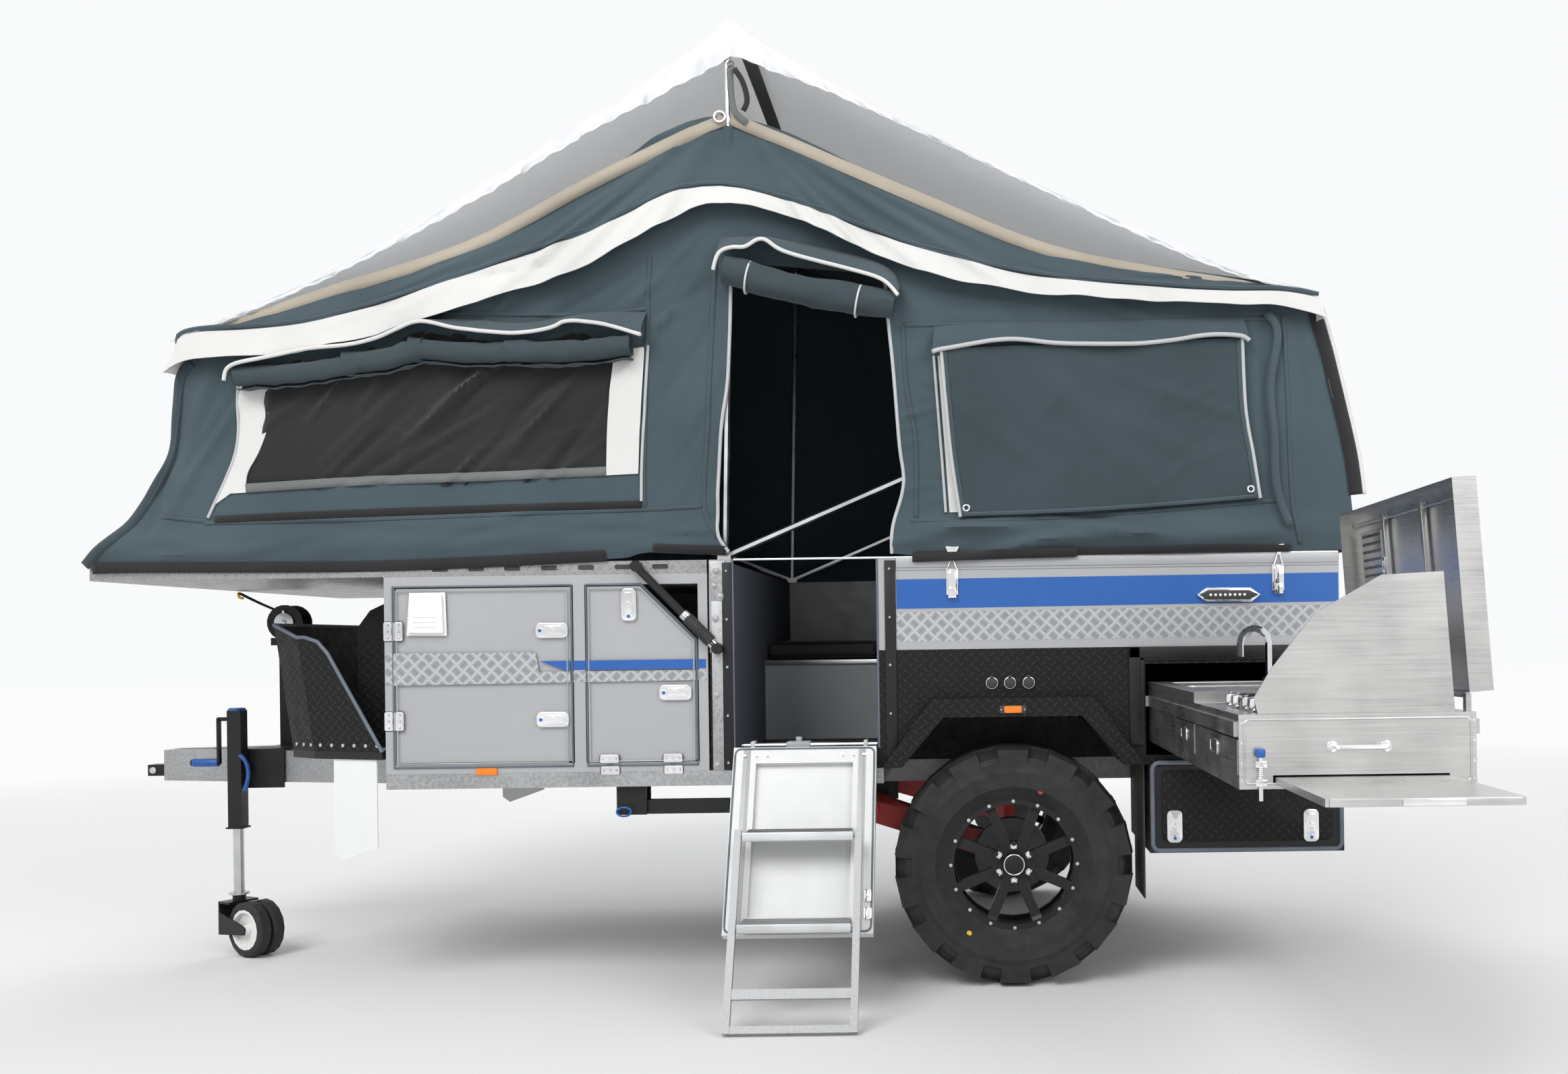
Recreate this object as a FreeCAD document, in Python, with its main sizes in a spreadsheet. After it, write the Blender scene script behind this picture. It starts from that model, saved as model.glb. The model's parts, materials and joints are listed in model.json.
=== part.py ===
"""Forward-fold camper trailer with its tent up, as a parametric FreeCAD document.

Frame: +X runs from the tow coupling to the rear, -Y is the kerb side with the entry door and
the kitchen, +Z is up. The origin is the middle of the coupling's cross bore. Heights below
are heights above the ground unless the name says otherwise, and "hitch_height" takes them
to the frame. Sizes are in millimetres.
"""
import FreeCAD
import Part
import math
import os
import re
import Sketcher
from FreeCAD import Placement, Rotation, Vector

doc = FreeCAD.newDocument("camper_trailer")
sheet = doc.addObject("Spreadsheet::Sheet", "sizes")

SIZES = [
    # main layout
    ("hitch_height", 683, "coupling bore above the ground"),
    ("half_width", 950, "half of the body width"),
    ("drawbar_end", 1290, "where the drawbar meets the chassis"),
    ("toolbox_front", 1300, "front of the side lockers"),
    ("toolbox_rear", 2372, "rear of the side lockers"),
    ("cabin_front", 2379, "front of the cabin tub"),
    ("door_left", 2457, "front edge of the doorway"),
    ("door_right", 2936, "rear edge of the doorway"),
    ("cabin_rear", 4469, "rear of the cabin tub"),
    ("deck_height", 735, "top of the chassis, underside of the bodies"),
    ("sill_height", 797, "door sill"),
    ("silver_height", 1126, "foot of the silver side panel"),
    ("cabin_top", 1434, "top of the cabin tub"),
    ("skin", 25, "wall of the tub"),
    ("floor_thick", 30, "floor of the tub"),
    ("fit_gap", 0.3, "gap between pieces that seat"),
    ("swing_gap", 6, "gap round a piece that moves"),
    # chassis
    ("rail_tall", 50, "perimeter rail height"),
    ("rail_wide", 50, "perimeter rail width"),
    ("beam_tall", 100, "inner beam height"),
    ("beam_half_space", 350, "inner beam centre from the middle"),
    ("bar_tall", 120, "drawbar height"),
    ("bar_low", 645, "underside of the drawbar"),
    ("bar_wide", 50, "drawbar width"),
    ("bar_nose", 60, "front end of the drawbar"),
    ("bar_nose_half", 35, "drawbar centre from the middle at its nose"),
    # coupling
    ("bore_dia", 17, "coupling bore"),
    ("tongue_wide", 60, "coupling block width"),
    ("tongue_tall", 44, "coupling block height"),
    # wheels
    ("wheel_centre", 3380, "axle from the coupling"),
    ("tyre_dia", 804, "tyre outside the lugs"),
    ("tyre_wide", 265, "tyre section"),
    ("rim_dia", 451, "rim lip"),
    ("lug_tall", 14, "tread lug"),
    ("hub_dia", 150, "hub flange"),
    ("spoke_count", 8, "rim spokes"),
    # jack
    ("jack_place", 445, "jack centre from the coupling"),
    ("jack_side", 245, "jack centre from the middle"),
    ("jack_tube", 52, "jack outer tube"),
    ("jack_top", 926, "top of the jack"),
    ("jack_foot", 477, "foot of the jack's outer tube"),
    ("jack_leg_dia", 38, "jack inner leg"),
    ("jack_pivot", 700, "swing-up pivot height"),
    ("jockey_dia", 209, "jockey wheel"),
    ("jockey_wide", 45, "one jockey wheel"),
    ("jockey_gap", 10, "between the jockey wheels"),
    ("jockey_trail", 100, "jockey axle behind the leg"),
    ("jockey_turn", 29, "jockey wheels' rest angle"),
    ("ring_height", 226, "swivel ring of the jack leg"),
    # stone guard, winch and front locker
    ("guard_front", 903, "front of the stone guard"),
    ("guard_bend", 1015, "bend of the stone guard's wing"),
    ("guard_low", 810, "foot of the stone guard"),
    ("guard_top", 1195, "top of the stone guard's wing"),
    ("guard_nose_top", 1240, "top of the stone guard's front"),
    ("guard_lean", 55, "how far the guard leans forward"),
    ("guard_thick", 4, "stone guard plate"),
    ("guard_front_half", 760, "half width of the guard's front"),
    ("guard_bend_half", 845, "half width at the wing's bend"),
    ("frame_bar", 26, "stone guard frame bar"),
    ("locker_front", 1120, "front of the front locker"),
    ("locker_top", 1316, "top of the front locker"),
    ("locker_half", 740, "half width of the front locker"),
    ("winch_place", 535, "winch post from the coupling"),
    ("winch_height", 1262, "winch drum"),
    ("winch_dia", 140, "winch side disc"),
    ("post_wide", 60, "winch post"),
    # side lockers
    ("toolbox_top", 1390, "top of the side lockers"),
    ("locker_door_low", 766, "foot of a locker door"),
    ("locker_door_top", 1356, "top of a locker door"),
    ("big_door_left", 1334, "large locker door, front edge"),
    ("big_door_right", 1927, "large locker door, rear edge"),
    ("small_door_left", 1965, "small locker door, front edge"),
    ("small_door_right", 2341, "small locker door, rear edge"),
    ("door_cut", 185, "cut corner of the small locker door"),
    ("locker_door_thick", 22, "locker door"),
    ("hinge_out", 5, "locker hinge pin outside the body"),
    ("hinge_long", 60, "locker hinge"),
    # bed platform
    ("platform_front", 325, "front edge of the bed platform"),
    ("platform_rear", 2372, "rear edge of the bed platform"),
    ("platform_thick", 43.4, "bed platform"),
    ("stay_dia", 28, "platform stay tube"),
    ("stay_foot_x", 2408, "stay pivot from the coupling"),
    ("stay_foot_z", 1139, "stay pivot height"),
    ("stay_head_x", 2143, "stay head from the coupling"),
    ("stay_head_z", 1414, "stay head height"),
    # wheel arches
    ("arch_half", 370, "half length of the arch at its foot"),
    ("arch_top_half", 228, "half length of the arch at its top"),
    ("arch_height", 902, "arch crown"),
    ("arch_deep", 330, "arch box depth"),
    ("flare_out", 45, "arch flare beyond the body"),
    ("flare_band", 62, "arch flare width"),
    ("rail_end", 2950, "rear end of the side rail, in front of the wheel"),
    # kitchen
    ("bay_left", 3822, "kitchen bay, front edge"),
    ("bay_right", 4405, "kitchen bay, rear edge"),
    ("bay_low", 766, "kitchen bay floor"),
    ("bay_high", 1069, "kitchen bay roof"),
    ("bay_end", 720, "kitchen bay depth past the middle"),
    ("kitchen_left", 3837, "kitchen, front side"),
    ("kitchen_right", 4371, "kitchen, rear side"),
    ("kitchen_low", 811, "kitchen underside"),
    ("kitchen_deck", 979, "hob deck"),
    ("sink_step", 28, "sink deck above the hob deck"),
    ("kitchen_out", 1519, "how far the kitchen stands out"),
    ("sink_back", 200, "sink bowl to the kitchen's inner end"),
    ("sink_long", 350, "sink bowl along the kitchen"),
    ("tap_before", 31, "tap outside the bowl"),
    ("tap_in", 288, "tap from the kitchen's front face"),
    ("kitchen_long", 1600, "kitchen length"),
    ("hob_long", 616, "hob deck length"),
    ("kitchen_wall", 5, "kitchen sheet-metal box wall"),
    ("kitchen_travel", 450, "how far the kitchen slides with its lid up"),
    ("lid_long", 965, "kitchen lid length"),
    ("lid_tall", 495, "kitchen lid width"),
    ("lid_deep", 55, "kitchen lid pan depth"),
    ("lid_lean", 4, "kitchen lid's lean"),
    ("lid_pivot", 1014, "kitchen lid hinge height"),
    ("tray_left", 3917, "serving tray, front side"),
    ("tray_right", 4306, "serving tray, rear side"),
    ("tray_low", 822, "serving tray underside"),
    ("tray_thick", 16, "serving tray"),
    ("tray_out", 444, "how far the tray stands out"),
    ("drawer_low", 846, "kitchen drawer underside"),
    ("drawer_high", 922, "kitchen drawer top"),
    ("drawer_deep", 330, "kitchen drawer depth"),
    ("front_drawer_near", 10, "front drawer from the kitchen's end"),
    ("front_drawer_far", 590, "front drawer's other end"),
    ("back_drawer_near", 610, "back drawer from the kitchen's end"),
    ("back_drawer_far", 945, "back drawer's other end"),
    # storage box
    ("storage_left", 3829, "storage box, front side"),
    ("storage_low", 444, "storage box underside"),
    ("storage_depth", 520, "storage box depth"),
    ("storage_door_thick", 20, "storage door"),
    # entry door and steps
    ("door_thick", 40, "entry door"),
    ("door_long", 632, "entry door height"),
    ("door_lean", 27, "open door's lean outwards"),
    ("door_hinge_out", 6, "door hinge pin outside the body"),
    ("leg_space", 377, "between the step legs"),
    ("leg_thick", 22, "step leg"),
    ("leg_offset", 80, "step legs from the door's face"),
    ("tread_deep", 100, "tread depth"),
    ("tread_thick", 26, "tread thickness"),
    ("tread_upper", 309, "upper tread below the hinge"),
    ("tread_lower", 600, "lower tread below the hinge"),
    ("fold_offset", 18, "folded legs from the door's face"),
    # stabilisers
    ("stab_place", 2107, "stabiliser pivot from the coupling"),
    ("stab_height", 612, "stabiliser pivot height"),
    ("stab_long", 440, "stabiliser leg"),
    ("stab_tube", 46, "stabiliser tube"),
    ("stab_side", 890, "stabiliser from the middle"),
    # suspension
    ("arm_pivot_x", 2880, "trailing arm pivot from the coupling"),
    ("arm_pivot_h", 560, "trailing arm pivot height"),
    ("axle_height", 402, "wheel centre height"),
    ("stub_dia", 54, "stub axle"),
    ("stub_gap", 0.65, "stub axle's room in the wheel's bore"),
    # tent
    ("door_lug", 20, "entry door's hinge lug"),
    ("door_lug_deep", 14, "web below that lug"),
    ("hinge_low", 911, "large locker door's lower hinge"),
    ("hinge_high", 1209, "large locker door's upper hinge"),
    ("hinge_front", 2044, "small locker door's front hinge"),
    ("hinge_back", 2254, "small locker door's rear hinge"),
    ("winch_wide", 90, "winch over its cheeks"),
    ("winch_cheek", 6, "winch cheek"),
    ("cloth", 6, "cloth solids' thickness"),
    ("tent_front_foot", 325, "tent's front foot"),
    ("tent_front_eave", 640, "tent's front eave"),
    ("tent_rear_foot", 4530, "tent's rear foot"),
    ("tent_rear_eave", 4385, "tent's rear eave"),
    ("front_eave_height", 2180, "front eave height"),
    ("rear_eave_height", 2280, "rear eave height"),
    ("ridge_place", 2465, "ridge from the coupling"),
    ("ridge_height", 2900, "tent ridge"),
    ("fly_height", 3227, "fly ridge"),
    ("fly_out", 30, "fly beyond the walls"),
    ("tent_door_left", 2417, "tent doorway, front edge"),
    ("tent_door_right", 3015, "tent doorway, rear edge"),
    ("tent_door_top", 2400, "tent doorway top"),
    ("window_left", 739, "front window, front edge"),
    ("window_right", 2171, "front window, rear edge"),
    ("window_low", 1620, "window foot"),
    ("window_top", 2120, "window top"),
    ("far_window_left", 3131, "rear window, front edge"),
    ("far_window_right", 4100, "rear window, rear edge"),
    ("pole_dia", 22, "tent pole"),
    ("pole_below", 260, "fly pole's foot below the ridge"),
    ("pole_short", 12.8, "fly pole's head below the fly's top"),
]

for row, (alias, value, meaning) in enumerate(SIZES, start=1):
    sheet.set(f"A{row}", str(value))
    sheet.setAlias(f"A{row}", alias)
    sheet.set(f"B{row}", meaning)
doc.recompute()

ALIASES = {alias for alias, _, _ in SIZES}
PLANES = {"XY": ("XY_Plane", 2, 1), "XZ": ("XZ_Plane", 1, -1), "YZ": ("YZ_Plane", 0, 1)}
ORIGIN_POINT = -1


def size(alias):
    """The value of one driving dimension."""
    return float(sheet.get(alias))


def formula(text):
    """The expression with each dimension's name pointing into the sheet."""
    return re.sub(r"[a-z_]+", lambda m: f"sizes.{m[0]}" if m[0] in ALIASES else m[0], str(text))


def worth(text):
    """The number that an expression of driving dimensions comes to."""
    holder = doc.getObject("reckoner") or doc.addObject("Part::Vertex", "reckoner")
    return float(holder.evalExpression(formula(text)))


def bind(item, prop, text):
    """Ties one property of an object to an expression of driving dimensions."""
    item.setExpression(prop, formula(text))


def height(text):
    """A height above the ground, as a place in the frame."""
    return f"({text}) - hitch_height"


def box(name, x, y, z):
    """A bound box between two places on each axis. z is in heights above the ground."""
    item = doc.addObject("Part::Box", name)
    spans = (x, y, (height(z[0]), height(z[1])))
    for prop, axis, (low, high) in zip(("Length", "Width", "Height"), "xyz", spans):
        bind(item, prop, f"({high}) - ({low})")
        bind(item, f"Placement.Base.{axis}", low)
    return item


def profile(name, plane, points, low, high):
    """A sketch of straight edges, padded from low to high along the plane's normal."""
    role, _, sense = PLANES[plane]
    body = doc.addObject("PartDesign::Body", name)
    sketch = body.newObject("Sketcher::SketchObject", f"{name}_outline")
    support = [o for o in body.Origin.OriginFeatures if o.Role == role][0]
    sketch.AttachmentSupport = (support, [""])
    sketch.MapMode = "FlatFace"
    places = [Vector(worth(a), worth(b), 0) for a, b in points]
    count = len(points)
    edges = [Part.LineSegment(places[i], places[(i + 1) % count]) for i in range(count)]
    sketch.addGeometry(edges)
    for i in range(count):
        sketch.addConstraint(Sketcher.Constraint("Coincident", i, 2, (i + 1) % count, 1))
    for i, point in enumerate(points):
        for kind, letter, k in (("DistanceX", "x", 0), ("DistanceY", "y", 1)):
            datum = places[i][k]
            mark = sketch.addConstraint(Sketcher.Constraint(kind, ORIGIN_POINT, 1, i, 1, datum))
            sketch.renameConstraint(mark, f"{letter}{i}")
            bind(sketch, f"Constraints.{letter}{i}", point[k])
    start = low if sense > 0 else f"-({high})"
    bind(sketch, "AttachmentOffset.Base.z", start)
    pad = body.newObject("PartDesign::Pad", f"{name}_pad")
    pad.Profile = sketch
    bind(pad, "Length", f"({high}) - ({low})")
    return body


def cylinder(name, centre, radius, low, high, along):
    """A bound round bar along one axis. centre gives the other two places, in X, Y, Z order."""
    item = doc.addObject("Part::Cylinder", name)
    bind(item, "Radius", radius)
    bind(item, "Height", f"({high}) - ({low})")
    turns = {"x": Rotation(Vector(0, 1, 0), 90), "y": Rotation(Vector(1, 0, 0), -90), "z": Rotation()}
    item.Placement = Placement(Vector(), turns[along])
    places = list(centre)
    places.insert("xyz".index(along), low)
    for axis, place in zip("xyz", places):
        bind(item, f"Placement.Base.{axis}", place)
    return item


def cut(name, base, tools):
    """The base with every tool taken away."""
    item = doc.addObject("Part::Cut", name)
    item.Base = base
    item.Tool = tools[0] if len(tools) == 1 else join(f"{name}_tools", tools)
    return item


def join(name, pieces):
    """Touching pieces as one solid."""
    item = doc.addObject("Part::MultiFuse", name)
    item.Shapes = pieces
    item.Refine = True
    return item


def group(name, pieces):
    """Like pieces that don't touch, in one node."""
    item = doc.addObject("Part::Compound", name)
    item.Links = pieces
    return item


def mirrored(name, source):
    """The same piece on the other side of the trailer."""
    item = doc.addObject("Part::Mirroring", name)
    item.Source = source
    item.Normal = Vector(0, 1, 0)
    return item


def worked(item):
    """An item's shape, brought up to date first."""
    doc.recompute()
    return item.Shape


def shaped(name, shape):
    """A piece made with Part's own functions."""
    item = doc.addObject("Part::Feature", name)
    item.Shape = shape
    return item


def bar(radius, length, base, way, sides=12):
    """A round bar drawn with flat sides, so that it has few faces, corners on its radius."""
    way = Vector(way)
    way.normalize()
    across = way.cross(Vector(0, 0, 1)) if abs(way.z) < 0.9 else way.cross(Vector(1, 0, 0))
    across.normalize()
    other = way.cross(across)
    corners = []
    for i in range(sides):
        turn = math.tau * (i + 0.5) / sides
        corners.append(base + across * (radius * math.cos(turn)) + other * (radius * math.sin(turn)))
    return Part.Face(Part.makePolygon(corners + corners[:1])).extrude(way * length)


def turned(section, sides):
    """A body turned about the y axis from (y, radius) points, with flat sides."""
    rings = []
    for y, reach in section:
        rings.append([Vector(reach * math.sin(math.tau * i / sides), y,
                             reach * math.cos(math.tau * i / sides)) for i in range(sides)])
    faces = []
    for a, b in zip(rings, rings[1:] + rings[:1]):
        for i in range(sides):
            j = (i + 1) % sides
            faces.append(Part.Face(Part.makePolygon([a[i], a[j], b[j], b[i], a[i]])))
    made = Part.Solid(Part.makeShell(faces))
    if made.Volume < 0:
        made.reverse()
    return made


nodes = {}


def node(label, item):
    """Names a finished sub-part. Its label is its file's name."""
    item.Label = label
    nodes[label] = item
    return item


def side(points):
    """A side outline, with its heights above the ground."""
    return [(x, height(h)) for x, h in points]


def rod(name, start, end, radius):
    """A round bar between two points."""
    way = end - start
    return shaped(name, bar(radius, way.Length, start, way))


def point(x, y, h):
    """A point of the frame from a height above the ground."""
    return Vector(x, y, h - size("hitch_height"))


EDGE = "half_width"


def chassis():
    """Perimeter rails, inner beams, cross rails and the A-shaped drawbar."""
    tall = ("deck_height - rail_tall", "deck_height")
    beams = ("deck_height - beam_tall", "deck_height")
    pieces = [
        box("rail_near", ("toolbox_front", "rail_end"), (f"-{EDGE}", f"rail_wide - {EDGE}"), tall),
        box("rail_far", ("toolbox_front", "rail_end"), (f"{EDGE} - rail_wide", EDGE), tall),
    ]
    for label, place in (("front", "toolbox_front"), ("middle", "cabin_front"),
                         ("arch", "rail_end - rail_wide")):
        pieces.append(box(f"cross_{label}", (place, f"{place} + rail_wide"), (f"-{EDGE}", EDGE), tall))
    rear = ("cabin_rear - rail_wide", "cabin_rear")
    pieces.append(box("cross_rear", rear, ("-beam_half_space", EDGE), tall))
    for label, sign in (("near", "-"), ("far", "")):
        middle = f"{sign}beam_half_space"
        span = (f"{middle} - bar_wide / 2", f"{middle} + bar_wide / 2")
        pieces.append(box(f"beam_{label}", ("toolbox_front", "cabin_rear"), span, beams))
        nose = f"{sign}bar_nose_half"
        share = "(toolbox_front - 15 - bar_nose) / (drawbar_end + rail_wide - bar_nose)"
        seat = f"{nose} + ({middle} - {nose}) * {share}"
        for kind, end, at, low, high in (
                ("low", "drawbar_end + rail_wide", middle, "bar_low", "deck_height - 10"),
                ("high", "toolbox_front - 15", seat, "deck_height - 10", "bar_low + bar_tall")):
            start = nose
            outline = [("bar_nose", f"{start} - bar_wide / 2"), (end, f"{at} - bar_wide / 2"),
                       (end, f"{at} + bar_wide / 2"), ("bar_nose", f"{start} + bar_wide / 2")]
            pieces.append(profile(f"bar_{kind}_{label}", "XY", outline, height(low), height(high)))
    return node("chassis_frame", join("chassis", pieces))


def coupling():
    """Tongue block with the cross bore, between two cheek plates bolted to the drawbar."""
    low = f"{height('hitch_height')} - tongue_tall / 2"
    half = "tongue_wide / 2"
    tongue = profile("tongue", "XZ", [
        ("-tongue_tall / 2", low), ("-tongue_tall / 2", f"{low} + tongue_tall"),
        ("bar_nose - fit_gap", f"{low} + tongue_tall"), ("bar_nose - fit_gap", low)],
        f"-({half})", half)
    bore = cylinder("coupling_bore", ("0", "0"), "bore_dia / 2", "-tongue_wide", "tongue_wide", "y")
    node("coupling", cut("coupling_cut", tongue, [bore]))


def stone_guard():
    """Folded checker-plate guard: a front plate and two angled wings, leaning forward."""
    thick = size("guard_thick")
    low, top, nose_top = size("guard_low"), size("guard_top"), size("guard_nose_top")
    lean = size("guard_lean")
    nose_lean = lean * (nose_top - low) / (top - low)
    front, bend, end = size("guard_front"), size("guard_bend"), size("toolbox_front") - 12
    half_front, half_bend, half_end = size("guard_front_half"), size("guard_bend_half"), size(EDGE)

    def plate(corners, inward):
        wire = Part.makePolygon(corners + [corners[0]])
        return Part.Face(wire).extrude(inward * thick)

    pieces = []
    for sign in (-1, 1):
        foot_a = point(front, sign * half_front, low)
        foot_b = point(bend, sign * half_bend, low)
        foot_c = point(end, sign * half_end, low)
        head_a = point(front - nose_lean, sign * half_front, nose_top)
        head_b = point(bend - lean, sign * half_bend, top)
        run = foot_c - foot_b
        rise = head_b - foot_b
        wing = [foot_b, foot_c, foot_b + run * 0.42 + rise * 0.86,
                foot_b + run * 0.30 + rise * 0.96, foot_b + run * 0.12 + rise, head_b]
        inward = Vector(0, -sign, 0)
        pieces.append(plate(wing, inward))
        pieces.append(plate([foot_a, foot_b, head_b, head_a], Vector(1, 0, 0)))
    nose = [point(front, -half_front, low), point(front, half_front, low),
            point(front - nose_lean, half_front, nose_top), point(front - nose_lean, -half_front, nose_top)]
    pieces.append(plate(nose, Vector(1, 0, 0)))
    guard = pieces[0].multiFuse(pieces[1:])
    node("stone_guard", shaped("guard_plates", guard))


def guard_frame():
    """Bars that carry the stone guard on the drawbar."""
    bar = size("frame_bar")
    top = size("guard_low") - size("fit_gap")
    front, bend, end = size("guard_front"), size("guard_bend"), size("toolbox_front") - 12
    half_front, half_bend, half_end = size("guard_front_half"), size("guard_bend_half"), size(EDGE)
    line = [(end, -half_end), (bend, -half_bend), (front, -half_front),
            (front, half_front), (bend, half_bend), (end, half_end)]
    inner = [(x + (bar if i in (2, 3) else 0), y - math.copysign(bar, y)) for i, (x, y) in enumerate(line)]
    corners = [point(x, y, top - bar) for x, y in line + inner[::-1]]
    ring = Part.Face(Part.makePolygon(corners + [corners[0]])).extrude(Vector(0, 0, bar))
    seat = point(end - bar, -half_end + bar, top - bar)
    cross = Part.makeBox(bar, 2 * (half_end - bar), bar, seat)
    low = size("bar_low") + size("bar_tall")
    legs = [Part.makeBox(bar, 2 * bar, top - bar - low + 1, point(front, s * 130 - bar, low))
            for s in (-1, 1)]
    legs += [Part.makeBox(bar, 2 * bar, top - bar - low + 1,
                          point(end - bar, s * size("beam_half_space") - bar, low)) for s in (-1, 1)]
    node("guard_frame", shaped("guard_bars", ring.multiFuse([cross] + legs)))


def front_locker():
    """Checker-plate locker across the drawbar, with a chamfered top."""
    x, high = "locker_front", "locker_top"
    outline = side([
        (x, "guard_low + fit_gap"), (x, f"{high} - 90"), (f"{x} + 45", f"{high} - 30"),
        (f"{x} + 110", high), ("toolbox_front - fit_gap", high),
        ("toolbox_front - fit_gap", "guard_low + fit_gap")])
    node("front_locker", profile("locker", "XZ", outline, "-locker_half", "locker_half"))


def winch():
    """Post on the drawbar, hand winch on its head and the strap up to the platform."""
    post = box("winch_stand", ("winch_place - post_wide / 2", "winch_place + post_wide / 2"),
               ("-post_wide / 2", "post_wide / 2"),
               ("bar_low + bar_tall", "winch_height - winch_dia / 2 - 20"))
    foot = box("winch_foot", ("winch_place - post_wide", "winch_place + post_wide"),
               ("-150", "150"), ("bar_low + bar_tall", "bar_low + bar_tall + 10"))
    node("winch_post", join("winch_mast", [post, foot]))
    seat = box("winch_base", ("winch_place - 55", "winch_place + 70"), ("-45", "45"),
               ("winch_height - winch_dia / 2 - 20 + fit_gap", "winch_height - winch_dia / 2 + 10"))
    centre = point(size("winch_place"), 0, size("winch_height"))
    along = Vector(0, 1, 0)
    cheek = size("winch_cheek")
    reach = size("winch_wide") / 2
    rounds = [bar(size("winch_dia") / 2, cheek, centre + along * low, along, 20)
              for low in (-reach, reach - cheek)]
    drum_start = centre - along * (reach - cheek / 2)
    rounds.append(bar(size("winch_dia") / 4, 2 * reach - cheek, drum_start, along, 12))
    node("winch", shaped("winch_head", worked(seat).multiFuse(rounds)))
    drum_top = point(size("winch_place") - 20, 0, size("winch_height") + size("winch_dia") / 4 + 4)
    hook = point(size("platform_front") + 18, 0, size("toolbox_top") - 6)
    way = hook - drum_top
    across = Vector(0, 1, 0)
    up = way.cross(across)
    up.normalize()
    band = Part.makePolygon([drum_top - across * 22, drum_top + across * 22, hook + across * 22,
                             hook - across * 22, drum_top - across * 22])
    clasp = Part.makeBox(40, 44, 8, hook + Vector(-14, -22, -2))
    node("winch_strap", shaped("strap", Part.Face(band).extrude(up * 3).fuse(clasp)))


def front_flaps():
    """Mud flaps hung from the stone guard's frame."""
    pieces = []
    top = size("guard_low") - size("frame_bar") - size("fit_gap") * 2
    for sign in (-1, 1):
        line = [(1090, 868), (1262, 934)]
        (x0, y0), (x1, y1) = line
        low_a, low_b = 440, 490
        nick = (x1 - x0) * 0.17
        corners = [point(x0, sign * y0, low_a + 25), point(x0 + nick, sign * (y0 + (y1 - y0) * 0.17), low_a),
                   point(x1, sign * y1, low_b), point(x1, sign * y1, top), point(x0, sign * y0, top)]
        face = Part.Face(Part.makePolygon(corners + [corners[0]]))
        pieces.append(shaped(f"flap_{sign}", face.extrude(Vector(1.5, -sign * 4, 0))))
    node("front_flaps", group("flaps_front", pieces))


LOCKER_DOORS = (("large", "big_door_left", "big_door_right"),
                ("small", "small_door_left", "small_door_right"))


def knuckle_pair(place, along, away):
    """The fixed and the moving half of a butt hinge on the near side's face."""
    out = Vector(0, -1, 0)
    radius = size("hinge_out") - size("fit_gap")
    half, third = size("hinge_long") / 2, size("hinge_long") / 6
    halves = []
    for sense, spans in ((-1, ((-half, -third), (third, half))), (1, ((0.3 - third, third - 0.3),))):
        solids = []
        for low, high in spans:
            solids.append(bar(radius, high - low, place + along * low, along, 6))
            corner = place + along * low - out * size("hinge_out")
            leaf = [corner, corner + along * (high - low), corner + along * (high - low) + away * sense * 34,
                    corner + away * sense * 34]
            solids.append(Part.Face(Part.makePolygon(leaf + leaf[:1])).extrude(out * 3))
        halves.append(solids)
    return halves


def locker_hinges():
    """Hinge halves of the near lockers: those on the body and those on each door."""
    face = -size(EDGE) - size("hinge_out")
    fixed, moving = [], {"large": [], "small": []}
    for level in (size("hinge_low"), size("hinge_high")):
        pair = knuckle_pair(point(size("big_door_left"), face, level), Vector(0, 0, 1), Vector(1, 0, 0))
        fixed += pair[0]
        moving["large"] += pair[1]
    for place in (size("hinge_front"), size("hinge_back")):
        pair = knuckle_pair(point(place, face, size("locker_door_low")), Vector(1, 0, 0), Vector(0, 0, 1))
        fixed += pair[0]
        moving["small"] += pair[1]
    return fixed, moving


def side_lockers():
    """The light-grey locker body across the trailer, with two bays a side, and its doors."""
    shell = box("locker_block", ("toolbox_front", "toolbox_rear"), (f"-{EDGE}", EDGE),
                ("deck_height + fit_gap", "toolbox_top"))
    tools = []
    for label, left, right in LOCKER_DOORS:
        for where, low, high in (("near", f"-{EDGE} - 1", "-skin / 2"), ("far", "skin / 2", f"{EDGE} + 1")):
            tools.append(box(f"bay_{label}_{where}", (left, right), (low, high),
                             ("locker_door_low", "locker_door_top")))
    body = cut("locker_body", shell, tools)
    fixed, moving = locker_hinges()
    node("side_lockers", shaped("locker_case", worked(body).multiFuse(
        [s for knuckle in fixed for s in (knuckle, knuckle.mirror(Vector(), Vector(0, 1, 0)))])))
    for label, left, right in LOCKER_DOORS:
        edges = (f"{left} + swing_gap", f"{right} - swing_gap",
                 "locker_door_low + swing_gap", "locker_door_top - swing_gap")
        x0, x1, h0, h1 = edges
        outline = [(x0, h0), (x1, h0), (x1, h1), (x0, h1)]
        if label == "small":
            outline = [(x0, h0), (x1, h0), (x1, f"{h1} - door_cut"), (f"{x1} - door_cut", h1), (x0, h1)]
        near = profile(f"{label}_door_slab", "XZ", side(outline), f"-{EDGE}",
                       f"locker_door_thick - {EDGE}")
        leaf = shaped(f"{label}_door_leaf", worked(near).multiFuse(moving[label]))
        node(f"{label}_door_near", leaf)
        node(f"{label}_door_far", mirrored(f"{label}_door_copy", leaf))


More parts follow.
